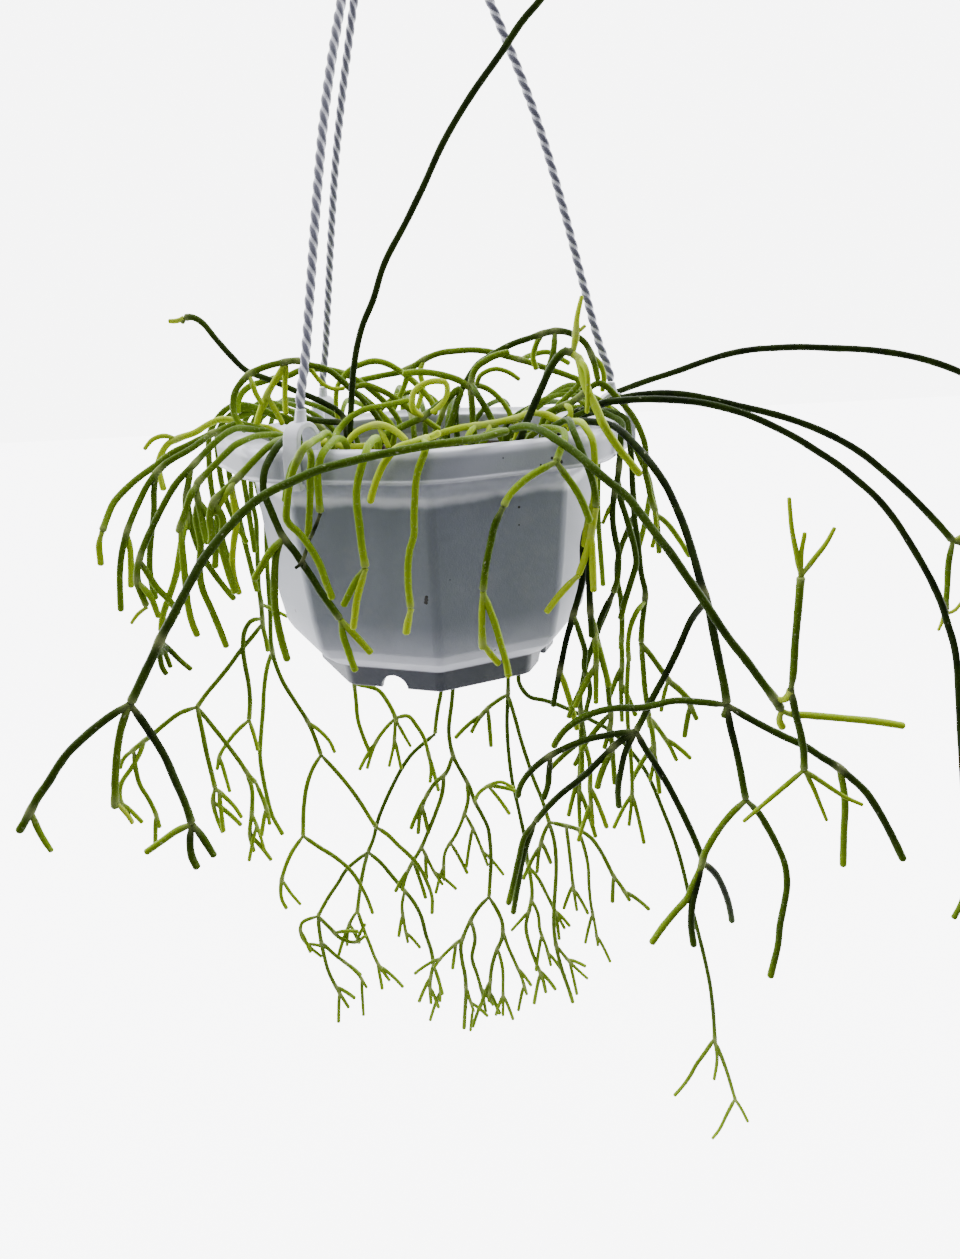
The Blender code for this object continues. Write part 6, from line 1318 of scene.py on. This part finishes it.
def runDepths(knots, start):
    # a depth for every knot: given ones are kept, those between run evenly in the picture
    along = lengthsAlong(np.array([knot[:2] for knot in knots]))
    given = [(along[number], knot[2] * mm) for number, knot in enumerate(knots) if len(knot) > 2]
    if start is not None:
        given = [(0.0, start)] + [pair for pair in given if pair[0] > 0]
    return np.interp(along, [pair[0] for pair in given], [pair[1] for pair in given])


def readBranch(text):
    base, tip, age, *way = text.split()
    return float(base), float(tip), float(age), [[float(value) for value in knot.split(",")] for knot in way]


def rootKnots(x, y):
    # from the bottom of a stem's hole straight up
    low = soil["top"] - rimDrop
    return [(x, y, low - soil["holeDepth"] + soil["seatGap"]), (x, y, low), (x, y, low + stems["rootRise"])]


def laySpray(root, branches):
    # each branch as evenly spaced points, with the branch and the point that it grows from
    laid = []
    for number, text in enumerate(branches.split(";")):
        base, tip, age, knots = readBranch(text)
        pixels = np.array([knot[:2] for knot in knots])
        if number == 0:
            places = spots(pixels, runDepths(knots, None))
            places = np.concatenate([rootKnots(root[0] * mm, root[1] * mm), places])
            parent = (-1, 0)
        else:
            reach = [np.linalg.norm(pixelsOf(other["points"]) - pixels[0], axis=1) for other in laid]
            holder = int(np.argmin([distance.min() for distance in reach]))
            joint = int(np.argmin(reach[holder]))
            origin = laid[holder]["points"][joint]
            places = spots(pixels, runDepths(knots, origin[1]))
            places[0] = origin
            parent = (holder, joint)
        points = evenSteps(smoothCurve(places), stems["step"])
        share = np.linspace(0, 1, len(points))
        laid.append({"points": points, "radii": (base + (tip - base) * share) * mm / 2,
                     "age": age, "parent": parent})
    return laid


def octagonGap(x, y, halfWidth, rounding):
    # distance outside a round-cornered octagon, less than zero inside, and the way out
    turn = np.arctan2(y, x)
    face = np.round((turn - pi / 8) / (pi / 4)) * (pi / 4) + pi / 8
    across = x * np.cos(face) + y * np.sin(face)
    beside = -x * np.sin(face) + y * np.cos(face)
    core = halfWidth - rounding
    off = across - core
    past = np.maximum(np.abs(beside) - core * tan(pi / 8), 0.0) * (off > 0)
    ahead = np.maximum(off, 0.0)
    length = np.maximum(np.hypot(ahead, past), 1e-9)
    gap = length * (off > 0) + np.minimum(off, 0.0) - rounding
    outAcross = np.where(off > 0, ahead / length, 1.0)
    outBeside = np.where(off > 0, past / length * np.sign(beside), 0.0)
    out = np.stack([outAcross * np.cos(face) - outBeside * np.sin(face),
                    outAcross * np.sin(face) + outBeside * np.cos(face)], axis=1)
    return gap, out


def keepOffPot(points, radii):
    # lift or push points that are in the pot's wall, its rim or the soil
    need = radii + stems["potGap"]
    height = points[:, 2] + rimDrop
    x, y = points[:, 0], points[:, 1]
    body = np.array(pot["outside"][:pot["bodyLevels"]]) * mm
    bodyWidth = np.interp(height, body[:, 1], body[:, 0])
    rimGap, rimOut = octagonGap(x, y, pot["rimApothem"], pot["rimRound"])
    bodyGap, bodyOut = octagonGap(x, y, bodyWidth, pot["bodyRound"])
    wellGap, wellOut = octagonGap(x, y, stems["wellApothem"], pot["bodyRound"])
    moved = points.copy()
    rimTop = pot["rimBead"] + need
    rimLow = -pot["skirt"] - need
    atRim = (height < rimTop) & (height > rimLow) & (rimGap < need) & (wellGap > -need)
    rise = rimTop - height
    pushOut = need - rimGap
    pushIn = need + wellGap
    goesUp = atRim & (rise <= pushOut) & (rise <= pushIn)
    goesOut = atRim & ~goesUp & (pushOut <= pushIn)
    goesIn = atRim & ~goesUp & ~goesOut
    below = (height <= rimLow) & (height > -pot["height"] - need) & (bodyGap < need)
    belowOut = below & (bodyGap > stems["deepInside"])
    moved[goesUp, 2] += rise[goesUp]
    moved[goesOut, :2] += rimOut[goesOut] * pushOut[goesOut, None]
    moved[goesIn, :2] -= wellOut[goesIn] * pushIn[goesIn, None]
    moved[belowOut, :2] += bodyOut[belowOut] * (need - bodyGap)[belowOut, None]
    inside = (wellGap < 0) & ~belowOut
    floor = soil["top"] + stems["soilAir"] + radii
    sunk = inside & (height < floor)
    moved[sunk, 2] += (floor - height)[sunk]
    return moved


def cordSamples(turn):
    # points along the cord, with one more close to each end
    points = cordLine(turn, stems["step"])
    nearEnds = cordLine(turn, stems["cordEndStep"])
    return np.concatenate([points[:1], nearEnds[1:2], points[1:-1], nearEnds[-2:-1], points[-1:]])


def fixedThings():
    # round samples on the cords and clips, which the stems bend round
    places = []
    radii = []
    for turn in cords["turns"].values():
        line = cordSamples(turn)
        places.append(line)
        radii.append(np.full(len(line), cords["diameter"] / 2 + stems["cordAir"]))
        way = np.array([cos(radians(turn)), sin(radians(turn)), 0.0])
        side = np.array([-way[1], way[0], 0.0])
        over = [(clip["middle"] + reach * mm, height) for reach, height in stems["clipSamples"]]
        over += [(clipLeg(turn) + reach * mm, height) for reach, height in stems["legSamples"]]
        samples = []
        for reach, height in over:
            for shift in stems["clipRows"]:
                place = way * reach + side * shift
                samples.append(place + np.array([0, 0, height * mm - rimDrop]))
        places.append(np.array(samples))
        radii.append(np.full(len(samples), stems["clipSampleRadius"]))
    things = [np.full(len(group), number) for number, group in enumerate(places)]
    return np.concatenate(places), np.concatenate(radii), np.concatenate(things)


def closePairs(pixels, radii, owners, moving):
    # samples of different sprays that lie over each other in the view
    scale = view["focalPixels"] / stems["nearest"]
    pairs = []
    for start in range(0, len(pixels), stems["block"]):
        block = slice(start, start + stems["block"])
        distance = np.abs(pixels[block, None] - pixels[None]).max(axis=2)
        near = distance < (radii[block, None] + radii[None] + stems["clearance"]) * scale
        near &= owners[block, None] != owners[None]
        near &= moving[block, None] | moving[None]
        first, second = np.nonzero(near)
        first = first + start
        keep = first < second
        pairs.append(np.stack([first[keep], second[keep]], axis=1))
    return np.concatenate(pairs)


def crossingOrder(pairs, branches, depth):
    # which sample of each pair stays in front, alike along each crossing of two branches
    first, second = pairs[:, 0], pairs[:, 1]
    order = np.lexsort((first, branches[second], branches[first]))
    first, second = first[order], second[order]
    fresh = np.ones(len(order), dtype=bool)
    fresh[1:] = ((np.diff(branches[first]) != 0) | (np.diff(branches[second]) != 0)
                 | (np.diff(first) > stems["sameCrossing"]))
    crossing = np.cumsum(fresh) - 1
    total = np.bincount(crossing, weights=(depth[second] - depth[first]))
    sign = np.where(total[crossing] >= 0, 1.0, -1.0)
    return first, second, sign


def strung(sprays):
    # all points in one row. For each point: its spray, its branch, the points before and after it, and
    # whether the soil holds it. Also where each branch starts in the row, and which point bears that one
    row = {label: [] for label in ("owners", "branches", "before", "after", "held", "children", "joints")}
    starts = {}
    count = 0
    for number, laid in enumerate(sprays):
        for branch, piece in enumerate(laid):
            size = len(piece["points"])
            own = np.arange(count, count + size)
            starts[number, branch] = count
            row["owners"].append(np.full(size, number))
            row["branches"].append(np.full(size, len(starts)))
            row["before"].append(np.maximum(own - 1, count))
            row["after"].append(np.minimum(own + 1, count + size - 1))
            low = piece["points"][:, 2] < soil["top"] - rimDrop + stems["heldRise"]
            row["held"].append(low & (own < count + stems["heldPoints"]) & (branch == 0))
            if branch:
                holder, joint = piece["parent"]
                row["children"].append([count])
                row["joints"].append([starts[number, holder] + joint])
            count += size
    return starts, {label: np.concatenate(parts) for label, parts in row.items()}


def settle(sprays):
    # bend the sprays clear of each other along the line of sight, and clear of the rest
    starts, row = strung(sprays)
    before, after, children, joints = (row[label] for label in ("before", "after", "children", "joints"))
    count = len(before)
    fixedPlaces, fixedRadii, fixedNumbers = fixedThings()
    places = np.concatenate([piece["points"] for laid in sprays for piece in laid] + [fixedPlaces])
    radii = np.concatenate([piece["radii"] for laid in sprays for piece in laid] + [fixedRadii])
    owners = np.concatenate([row["owners"], np.full(len(fixedPlaces), -1)])
    branches = np.concatenate([row["branches"], -1 - fixedNumbers])
    held = np.concatenate([row["held"], np.full(len(fixedPlaces), True)])
    sight = places - view["eye"]
    sight /= np.linalg.norm(sight, axis=1)[:, None]
    depth = np.linalg.norm(places - view["eye"], axis=1)
    pairs = closePairs(pixelsOf(places), radii, owners, owners >= 0)
    first, second, sign = crossingOrder(pairs, branches, depth)
    need = radii[first] + radii[second] + stems["clearance"]
    shareFirst = np.where(held[first], 0.0, np.where(held[second], 1.0, 0.5))
    shareSecond = np.where(held[second], 0.0, np.where(held[first], 1.0, 0.5))
    shift = np.zeros_like(places)
    total = len(places)
    for _ in range(stems["rounds"]):
        now = places + shift
        apart = now[second] - now[first]
        along = np.einsum('ij,ij->i', apart, sight[first])
        beside = np.einsum('ij,ij->i', apart, apart) - along ** 2
        wanted = np.sqrt(np.maximum(need ** 2 - beside, 0.0))
        short = np.maximum(wanted - along * sign, 0.0) * (wanted > 0)
        active = short > 0
        push = short * sign * stems["push"]
        amount = np.bincount(first, weights=-push * shareFirst, minlength=total)
        amount += np.bincount(second, weights=push * shareSecond, minlength=total)
        crowd = np.bincount(first, weights=active, minlength=total)
        crowd += np.bincount(second, weights=active, minlength=total)
        shift += sight * (amount / np.maximum(crowd * stems["crowd"], 1.0))[:, None]
        bent = shift[:count]
        bent += stems["soften"] * ((bent[before] + bent[after]) / 2 - bent)
        bent[children] = bent[joints]
        clear = keepOffPot(places[:count] + bent, radii[:count])
        shift[:count] = clear - places[:count]
        shift[held] = 0.0
    settled = places + shift
    for number, laid in enumerate(sprays):
        for branch, piece in enumerate(laid):
            start = starts[number, branch]
            piece["points"] = settled[start:start + len(piece["points"])]


def fillSprays():
    # each spray leaves its own root at its own turn, and each branch has its own lean and length
    draw = np.random.default_rng(fill["seed"])
    made = {}
    for number, turn in enumerate(fill["turns"]):
        way = np.array([cos(radians(turn)), sin(radians(turn)), 0.0])
        side = np.array([-way[1], way[0], 0.0])
        root = way * fill["root"]
        laid = []
        for branch in range(fill["branches"]):
            lean = (branch - 1) * fill["lean"] + draw.uniform(*fill["leanWander"]) * mm
            length = draw.uniform(*fill["lengths"]) * (fill["first"] if branch == 0 else 1.0)
            edge = rimReach(turn) + fill["air"] + branch * fill["layer"]
            route = [way * (edge * share + out * mm) + side * lean * aside
                     + (0, 0, height * mm - length * fall)
                     for share, out, aside, height, fall in fill["knots"]]
            route = np.array(route) - (0, 0, rimDrop)
            route[0, 2] += branch * fill["crest"]
            route[-1] += way * draw.uniform(*fill["tipWander"]) * mm
            if branch == 0:
                route = np.concatenate([rootKnots(root[0], root[1]), route])
                parent = (-1, 0)
            else:
                joint = fill["joint"] + branch
                route = np.concatenate([[laid[0]["points"][joint]], route])
                parent = (0, joint)
            points = evenSteps(smoothCurve(route), stems["step"])
            radii = np.linspace(*fill["widths"], len(points)) / 2
            laid.append({"points": points, "radii": radii, "age": fill["age"], "parent": parent})
        made[f"stem_back_fill_{number + 1}"] = laid
    return made


# The skin of the stems

skin = {
    "sides": 12,
    "step": 1.5 * mm,
    "domeSteps": 4,
    "perSpan": 4,
    "startNarrow": 0.24,         # a branch is thinner by this share just outside the stem that it grows from
    "startPlace": 1.6 * mm,
    "startReach": 2.2 * mm,
    "startPale": 0.6,            # and as pale there as this share of a joint
    "jointSwell": 0.15,          # and a stem swells by this share where a branch leaves it
    "jointReach": 2.4 * mm,
    "waves": ((23.0 * mm, 0.022), (7.3 * mm, 0.014)),
    "areolePitch": 9.0 * mm,
    "areoleTurn": 2.4,           # from one areole to the next, in radians
    "areoleRise": 0.14 * mm,
    "areoleSize": (0.95 * mm, 0.55 * mm),
    "areoleEnds": (3.0 * mm, 1.5 * mm),   # none stands this near a branch's start or its tip
    "tipFresh": 0.16,            # the last stretch of a branch is this much younger
    "tipReach": 30.0 * mm,
    "thinBelow": 2.9 * mm,       # stems thinner than this are fuller than their routes say,
    "thinSpan": 1.0 * mm,        # fully so once they are thinner by this,
    "thinGrowth": 0.46,          # by this share
    "slots": ((0.0, "stem_old"), (0.22, "stem_mid"), (0.6, "stem_new")),   # each from this mean age on
    "tones": ((0.0, (0.006, 0.012, 0.002)), (0.2, (0.044, 0.086, 0.004)), (0.5, (0.185, 0.295, 0.006)),
              (1.0, (0.46, 0.58, 0.020))),   # by age
    "jointTone": (0.42, 0.46, 0.20),
    "dustTone": (0.50, 0.56, 0.26),
    "areoleTone": (0.50, 0.52, 0.36),
    "shine": 0.04,               # low, as the skin is waxy
}

# how much fresher or duller a spray, or one of its branches, looks than the ages in its route; a pair
# is for the branch's start and its tip
freshness = {
    "stem_left_bunch_high": 0.14, "stem_left_bunch_low": 0.14, "stem_left_bunch_near": 0.18,
    "stem_left_bunch_front": 0.10, "stem_curtain_inner": 0.08, "stem_curtain_middle": 0.08,
    "stem_curtain_outer": 0.10, "stem_front_twig": 0.12, "stem_top_dark": 0.18, "stem_top_right": 0.14,
    "stem_top_bright": 0.12, "stem_top_loop": 0.06, "stem_back_left": -0.05, "stem_back_left_long": -0.05,
    "stem_back_centre_left": -0.06, "stem_back_centre_right": -0.06, "stem_back_right": -0.06,
    "stem_upper_left": -0.05, "stem_front_left_dark": 0.06, "stem_top_left_back": 0.08,
    "stem_left_front/0": (0.26, -0.12), "stem_right_front/0": (0.20, 0.0), "stem_right_front/4": 0.08,
    "stem_right_front/8": -0.10, "stem_curtain_light/1": -0.58, "stem_curtain_light/2": -0.10,
    "stem_curtain_inner/2": -0.12, "stem_curtain_middle/1": -0.16, "stem_right_middle/3": -0.22,
    "stem_right_drop/15": -0.12, "stem_right_drop/16": -0.08, "stem_right_drop/6": -0.12,
    "stem_riser/3": (-0.05, -0.20), "stem_top_arch_low/1": 0.24, "stem_top_arch_high/1": 0.26,
    "stem_left_front/3": -0.08, "stem_front_twig/1": -0.5, "stem_front_twig/2": -0.5,
    "stem_front_twig/3": -0.5, "stem_front_left_dark/1": -0.12, "stem_front_left_dark/4": -0.08,
    "stem_front_d/4": -0.10,
}


def branchTube(number, piece, joints, seed):
    # radius: an even taper, times 1 less a dip at the start, plus a swelling at each joint and two long
    # waves; the tip is a dome; each areole is a low bump, and they wind round the stem by an even turn
    curve = smoothCurve(piece["points"], skin["perSpan"])
    along = lengthsAlong(curve)
    total = along[-1]
    tipRadius = piece["radii"][-1]
    count = max(int((total - tipRadius) / skin["step"]), 2) + 1
    dome = np.linspace(0, pi / 2, skin["domeSteps"] + 2)[1:-1]
    spot = np.concatenate([np.linspace(0, total - tipRadius, count), total - tipRadius * (1 - np.sin(dome))])
    line = np.stack([np.interp(spot, along, curve[:, axis]) for axis in range(3)], axis=1)
    radius = np.interp(spot, np.linspace(0, total, len(piece["radii"])), piece["radii"])
    thin = np.clip((skin["thinBelow"] - 2 * radius) / skin["thinSpan"], 0, 1)
    radius *= 1 + skin["thinGrowth"] * thin ** 2 * (3 - 2 * thin)
    jointSpots = np.array([joint * total / (len(piece["points"]) - 1) for joint in joints] or [-1.0])
    joint = np.exp(-((spot[:, None] - jointSpots) / skin["jointReach"]) ** 2).max(axis=1)
    start = np.exp(-((spot - skin["startPlace"]) / skin["startReach"]) ** 2) * (number > 0)
    factor = (1 - skin["startNarrow"] * start) * (1 + skin["jointSwell"] * joint)
    for wave, (length, height) in enumerate(skin["waves"]):
        factor += height * np.sin(spot / length * 2 * pi + seed * (wave + 1.7))
    factor[count:] *= np.cos(dome)
    around = np.arange(skin["sides"]) * 2 * pi / skin["sides"]
    index = np.round(spot / skin["areolePitch"] - 0.5)
    off = spot - (index + 0.5) * skin["areolePitch"]
    turnOff = (around[None] - index[:, None] * skin["areoleTurn"] - seed + pi) % (2 * pi) - pi
    beside = turnOff * radius[:, None]
    areole = np.exp(-(off[:, None] / skin["areoleSize"][0]) ** 2 - (beside / skin["areoleSize"][1]) ** 2)
    areole *= ((spot > skin["areoleEnds"][0]) & (spot < total - skin["areoleEnds"][1]))[:, None]
    reach = (radius * factor)[:, None] + skin["areoleRise"] * areole
    rings = line[:, None] + ringDirections(line, np.broadcast_to(around, reach.shape)) * reach[..., None]
    fresh = np.clip((spot - total + skin["tipReach"]) / skin["tipReach"], 0, 1) ** 2 * skin["tipFresh"]
    age = np.clip(piece["age"] + fresh, 0, 1)
    pale = np.maximum(joint, start * skin["startPale"])
    marks = {"age": np.repeat(age, skin["sides"]), "joint": np.repeat(pale, skin["sides"]),
             "areole": areole.ravel()}
    marks = {label: np.concatenate([values, values[:1], values[-1:]]) for label, values in marks.items()}
    return closedStack(rings), marks


def makeSpray(name, laid, finish):
    parts = []
    marks = []
    for number, piece in enumerate(laid):
        joints = [other["parent"][1] for other in laid if other["parent"][0] == number]
        part, mark = branchTube(number, piece, joints, number * 1.3 + len(name))
        fresher = np.linspace(*np.broadcast_to(freshness.get(f"{name}/{number}", 0.0), 2), len(mark["age"]))
        mark["age"] = np.clip(mark["age"] + freshness.get(name, 0.0) + fresher, 0, 1)
        parts.append(part)
        marks.append(mark)
    values = {label: np.concatenate([mark[label] for mark in marks]) for label in marks[0]}
    places, quads, triangles = joined(parts)
    piece = makeMesh(name.replace("stem", "jointed_stem"), places, quads, triangles, finish, values)
    age = np.average([branch["age"] for branch in laid], weights=[len(branch["points"]) for branch in laid])
    settleIn(piece, [slot for fromAge, slot in skin["slots"] if age >= fromAge][-1], name)
    return len(quads) * 2 + len(triangles)


def stemMaterial():
    # dark when old, lime when new; paler at joints and areoles; a waxy skin with faint clouds and dust
    material, sheet, shader = newMaterial("waxyStem")
    shader.inputs["Specular IOR Level"].default_value = skin["shine"]
    place = sheet.add('ShaderNodeTexCoord').outputs["Object"]
    age = sheet.add('ShaderNodeAttribute', attribute_name="age").outputs["Fac"]
    joint = sheet.add('ShaderNodeAttribute', attribute_name="joint").outputs["Fac"]
    areole = sheet.add('ShaderNodeAttribute', attribute_name="areole").outputs["Fac"]
    clouds = sheet.noise(place, 90.0, 3.0, 0.6)
    aged = sheet.math('ADD', age, sheet.math('MULTIPLY_ADD', clouds, 0.22, -0.11))
    ramp = sheet.add('ShaderNodeValToRGB')
    while len(ramp.color_ramp.elements) < len(skin["tones"]):
        ramp.color_ramp.elements.new(0.5)
    for element, (position, colour) in zip(ramp.color_ramp.elements, skin["tones"]):
        element.position = position
        element.color = (*colour, 1.0)
    sheet.join(aged, ramp.inputs["Fac"])
    jointed = sheet.mix(sheet.math('MULTIPLY', joint, 0.35), ramp.outputs["Color"], skin["jointTone"])
    specks = sheet.spread(sheet.noise(place, 1100.0, 3.0, 0.75), 0.56, 0.70, 0.0, 0.42)
    dusty = sheet.mix(sheet.math('MULTIPLY', specks, sheet.spread(age, 0.0, 0.4, 0.12, 1.0)),
                      jointed, skin["dustTone"])
    sheet.join(sheet.mix(sheet.spread(areole, 0.45, 0.9, 0.0, 0.6), dusty, skin["areoleTone"]),
               shader.inputs["Base Color"])
    sheet.join(sheet.math('MULTIPLY_ADD', clouds, 0.18, 0.30), shader.inputs["Roughness"])
    addBump(sheet, shader, sheet.noise(place, 1500.0, 2.0, 0.6), 0.00012)
    return material


# short twigs near the tips of the thin sprays, by one rule: how many, how far back, how long and how wide
twigs = {
    "sprays": {"stem_back_centre_left": 2, "stem_back_centre_right": 2, "stem_back_right": 2,
               "stem_back_left": 1, "stem_back_left_centre": 1, "stem_curtain_middle": 2,
               "stem_curtain_outer": 2, "stem_curtain_inner": 2, "stem_curtain_light": 1},
    "seed": 11,
    "widestTip": 1.0 * mm,       # radius of the tips that bear twigs
    "shortest": 8,               # a branch with fewer points bears none
    "tipPoints": 3,              # the last points, which give its heading and have to be free of branches
    "back": (3, 8),              # points between a branch's tip and its first twig
    "apart": 3,                  # and from there to the next
    "lengths": (15.0 * mm, 24.0 * mm),
    "turns": (0.3, 0.58),        # away from the branch, in radians
    "droop": 11.0,               # per metre
    "swell": (1.08, 1.0),        # its radius at both ends, as a share of the branch's
    "steps": 8,
}


def growTwigs(name, laid, draw):
    # each twig leaves its branch by a turn across the sight line and droops: start + way * s - droop * s^2
    grown = []
    for number, piece in enumerate(laid):
        last = len(piece["points"]) - 1
        bearing = [other["parent"][1] for other in laid if other["parent"][0] == number]
        free = last - twigs["tipPoints"]
        if (last < twigs["shortest"] or piece["radii"][-1] > twigs["widestTip"]
                or max(bearing, default=0) > free):
            continue
        heading = piece["points"][last] - piece["points"][free]
        heading /= np.linalg.norm(heading)
        across = np.cross(heading, piece["points"][-1] - view["eye"])
        across /= np.linalg.norm(across)
        for twig in range(twigs["sprays"].get(name, 0)):
            joint = last - int(draw.integers(*twigs["back"])) - twigs["apart"] * twig
            turn = draw.uniform(*twigs["turns"]) * (1 if (number + twig) % 2 else -1)
            run = np.linspace(0, draw.uniform(*twigs["lengths"]), twigs["steps"])[:, None]
            way = heading * cos(turn) + across * sin(turn)
            points = piece["points"][joint] + way * run - np.array([0, 0, twigs["droop"]]) * run ** 2
            radii = piece["radii"][joint] * np.linspace(*twigs["swell"], twigs["steps"])
            grown.append({"points": points, "radii": radii, "age": piece["age"], "parent": (number, joint)})
    return laid + grown


def makeStems():
    sprays = {name: laySpray(*route) for name, route in sprayRoutes.items()} | fillSprays()
    settle(list(sprays.values()))
    draw = np.random.default_rng(twigs["seed"])
    grown = {name: growTwigs(name, laid, draw) for name, laid in sprays.items()}
    finish = stemMaterial()
    count = sum(makeSpray(name, laid, finish) for name, laid in grown.items())
    print("stems made:", len(grown), "sprays,", count, "triangles")


makeStems()


# Stage: a pale floor under the hanging pot, light mostly from behind it, above and the sides

stage = {
    "floor": -0.86,
    "reach": 6.0,
    "front": -3.0,
    "bright": (5.0, 5.0, 5.1),   # radiance behind the object
    "above": 0.55,               # share of the height in the way from dim to bright
    "dim": (0.13, 0.135, 0.165),   # radiance in front of it
    "turnover": (-0.25, 0.75),   # from dim to bright, on the way from the front to the back
    "backdrop": (7.0, 7.0, 7.1),   # what the eye sees behind the object,
    "seen": (5.0, 5.0, 5.1),       # and what the floor adds to its own light to be as bright
    "nearFloor": (0.08, 0.08, 0.09),
    "farFloor": (0.88, 0.88, 0.88),
    "floorTurn": (-0.45, 0.05),  # the floor goes from near to far between these depths
}

# each light's name, place, aim, size and power
lights = (
    ("left", (-1.3, 0.4, -0.1), (0.0, 0.0, -0.4), 0.7, 12.0),
    ("right", (1.3, 0.4, -0.1), (0.0, 0.0, -0.4), 0.7, 10.0),
    ("front", (-0.5, -1.4, 0.5), (0.0, 0.0, -0.35), 0.6, 5.5),
)


def makeStage():
    reach, front, floor = stage["reach"], stage["front"], stage["floor"]
    material, sheet, shader = newMaterial("paleFloor", 0.9)
    place = sheet.add('ShaderNodeTexCoord').outputs["Object"]
    parts = sheet.add('ShaderNodeSeparateXYZ')
    sheet.join(place, parts.inputs[0])
    shade = sheet.spread(parts.outputs["Y"], *stage["floorTurn"])
    sheet.join(sheet.mix(shade, stage["nearFloor"], stage["farFloor"]), shader.inputs["Base Color"])
    # seen straight, the floor is as bright as the backdrop; it lights the plant by its colour alone
    shader.inputs["Emission Color"].default_value = (*stage["seen"], 1.0)
    seen = sheet.add('ShaderNodeLightPath').outputs["Is Camera Ray"]
    sheet.join(seen, shader.inputs["Emission Strength"])
    corners = [(-reach, front, floor), (reach, front, floor), (reach, reach, floor), (-reach, reach, floor)]
    ground = makeMesh("floor", np.array(corners), np.array([[0, 1, 2, 3]]), np.zeros((0, 3), int), material)


def makeWorld():
    # brightness grows smoothly from the front to the back, and upwards
    world = bpy.data.worlds.new("studio")
    world.use_nodes = True
    bpy.context.scene.world = world
    sheet = NodeSheet(world.node_tree)
    background = world.node_tree.nodes["Background"]
    way = sheet.add('ShaderNodeSeparateXYZ')
    sheet.join(sheet.add('ShaderNodeTexCoord').outputs["Generated"], way.inputs[0])
    lift = sheet.math('MULTIPLY', way.outputs["Z"], stage["above"])
    bright = sheet.spread(sheet.math('ADD', way.outputs["Y"], lift), *stage["turnover"])
    around = sheet.mix(bright, stage["dim"], stage["bright"])
    seen = sheet.add('ShaderNodeLightPath').outputs["Is Camera Ray"]
    sheet.join(sheet.mix(seen, around, stage["backdrop"]), background.inputs["Color"])


def makeLight(name, place, target, size, power):
    lamp = bpy.data.lights.new(name, 'AREA')
    lamp.shape = 'DISK'
    lamp.size = size
    lamp.energy = power
    light = bpy.data.objects.new(name, lamp)
    way = Vector(target) - Vector(place)
    light.matrix_world = Matrix.Translation(place) @ way.to_track_quat('-Z', 'Y').to_matrix().to_4x4()
    bpy.context.collection.objects.link(light)


makeStage()
makeWorld()
for light in lights:
    makeLight(*light)
print("stage made")
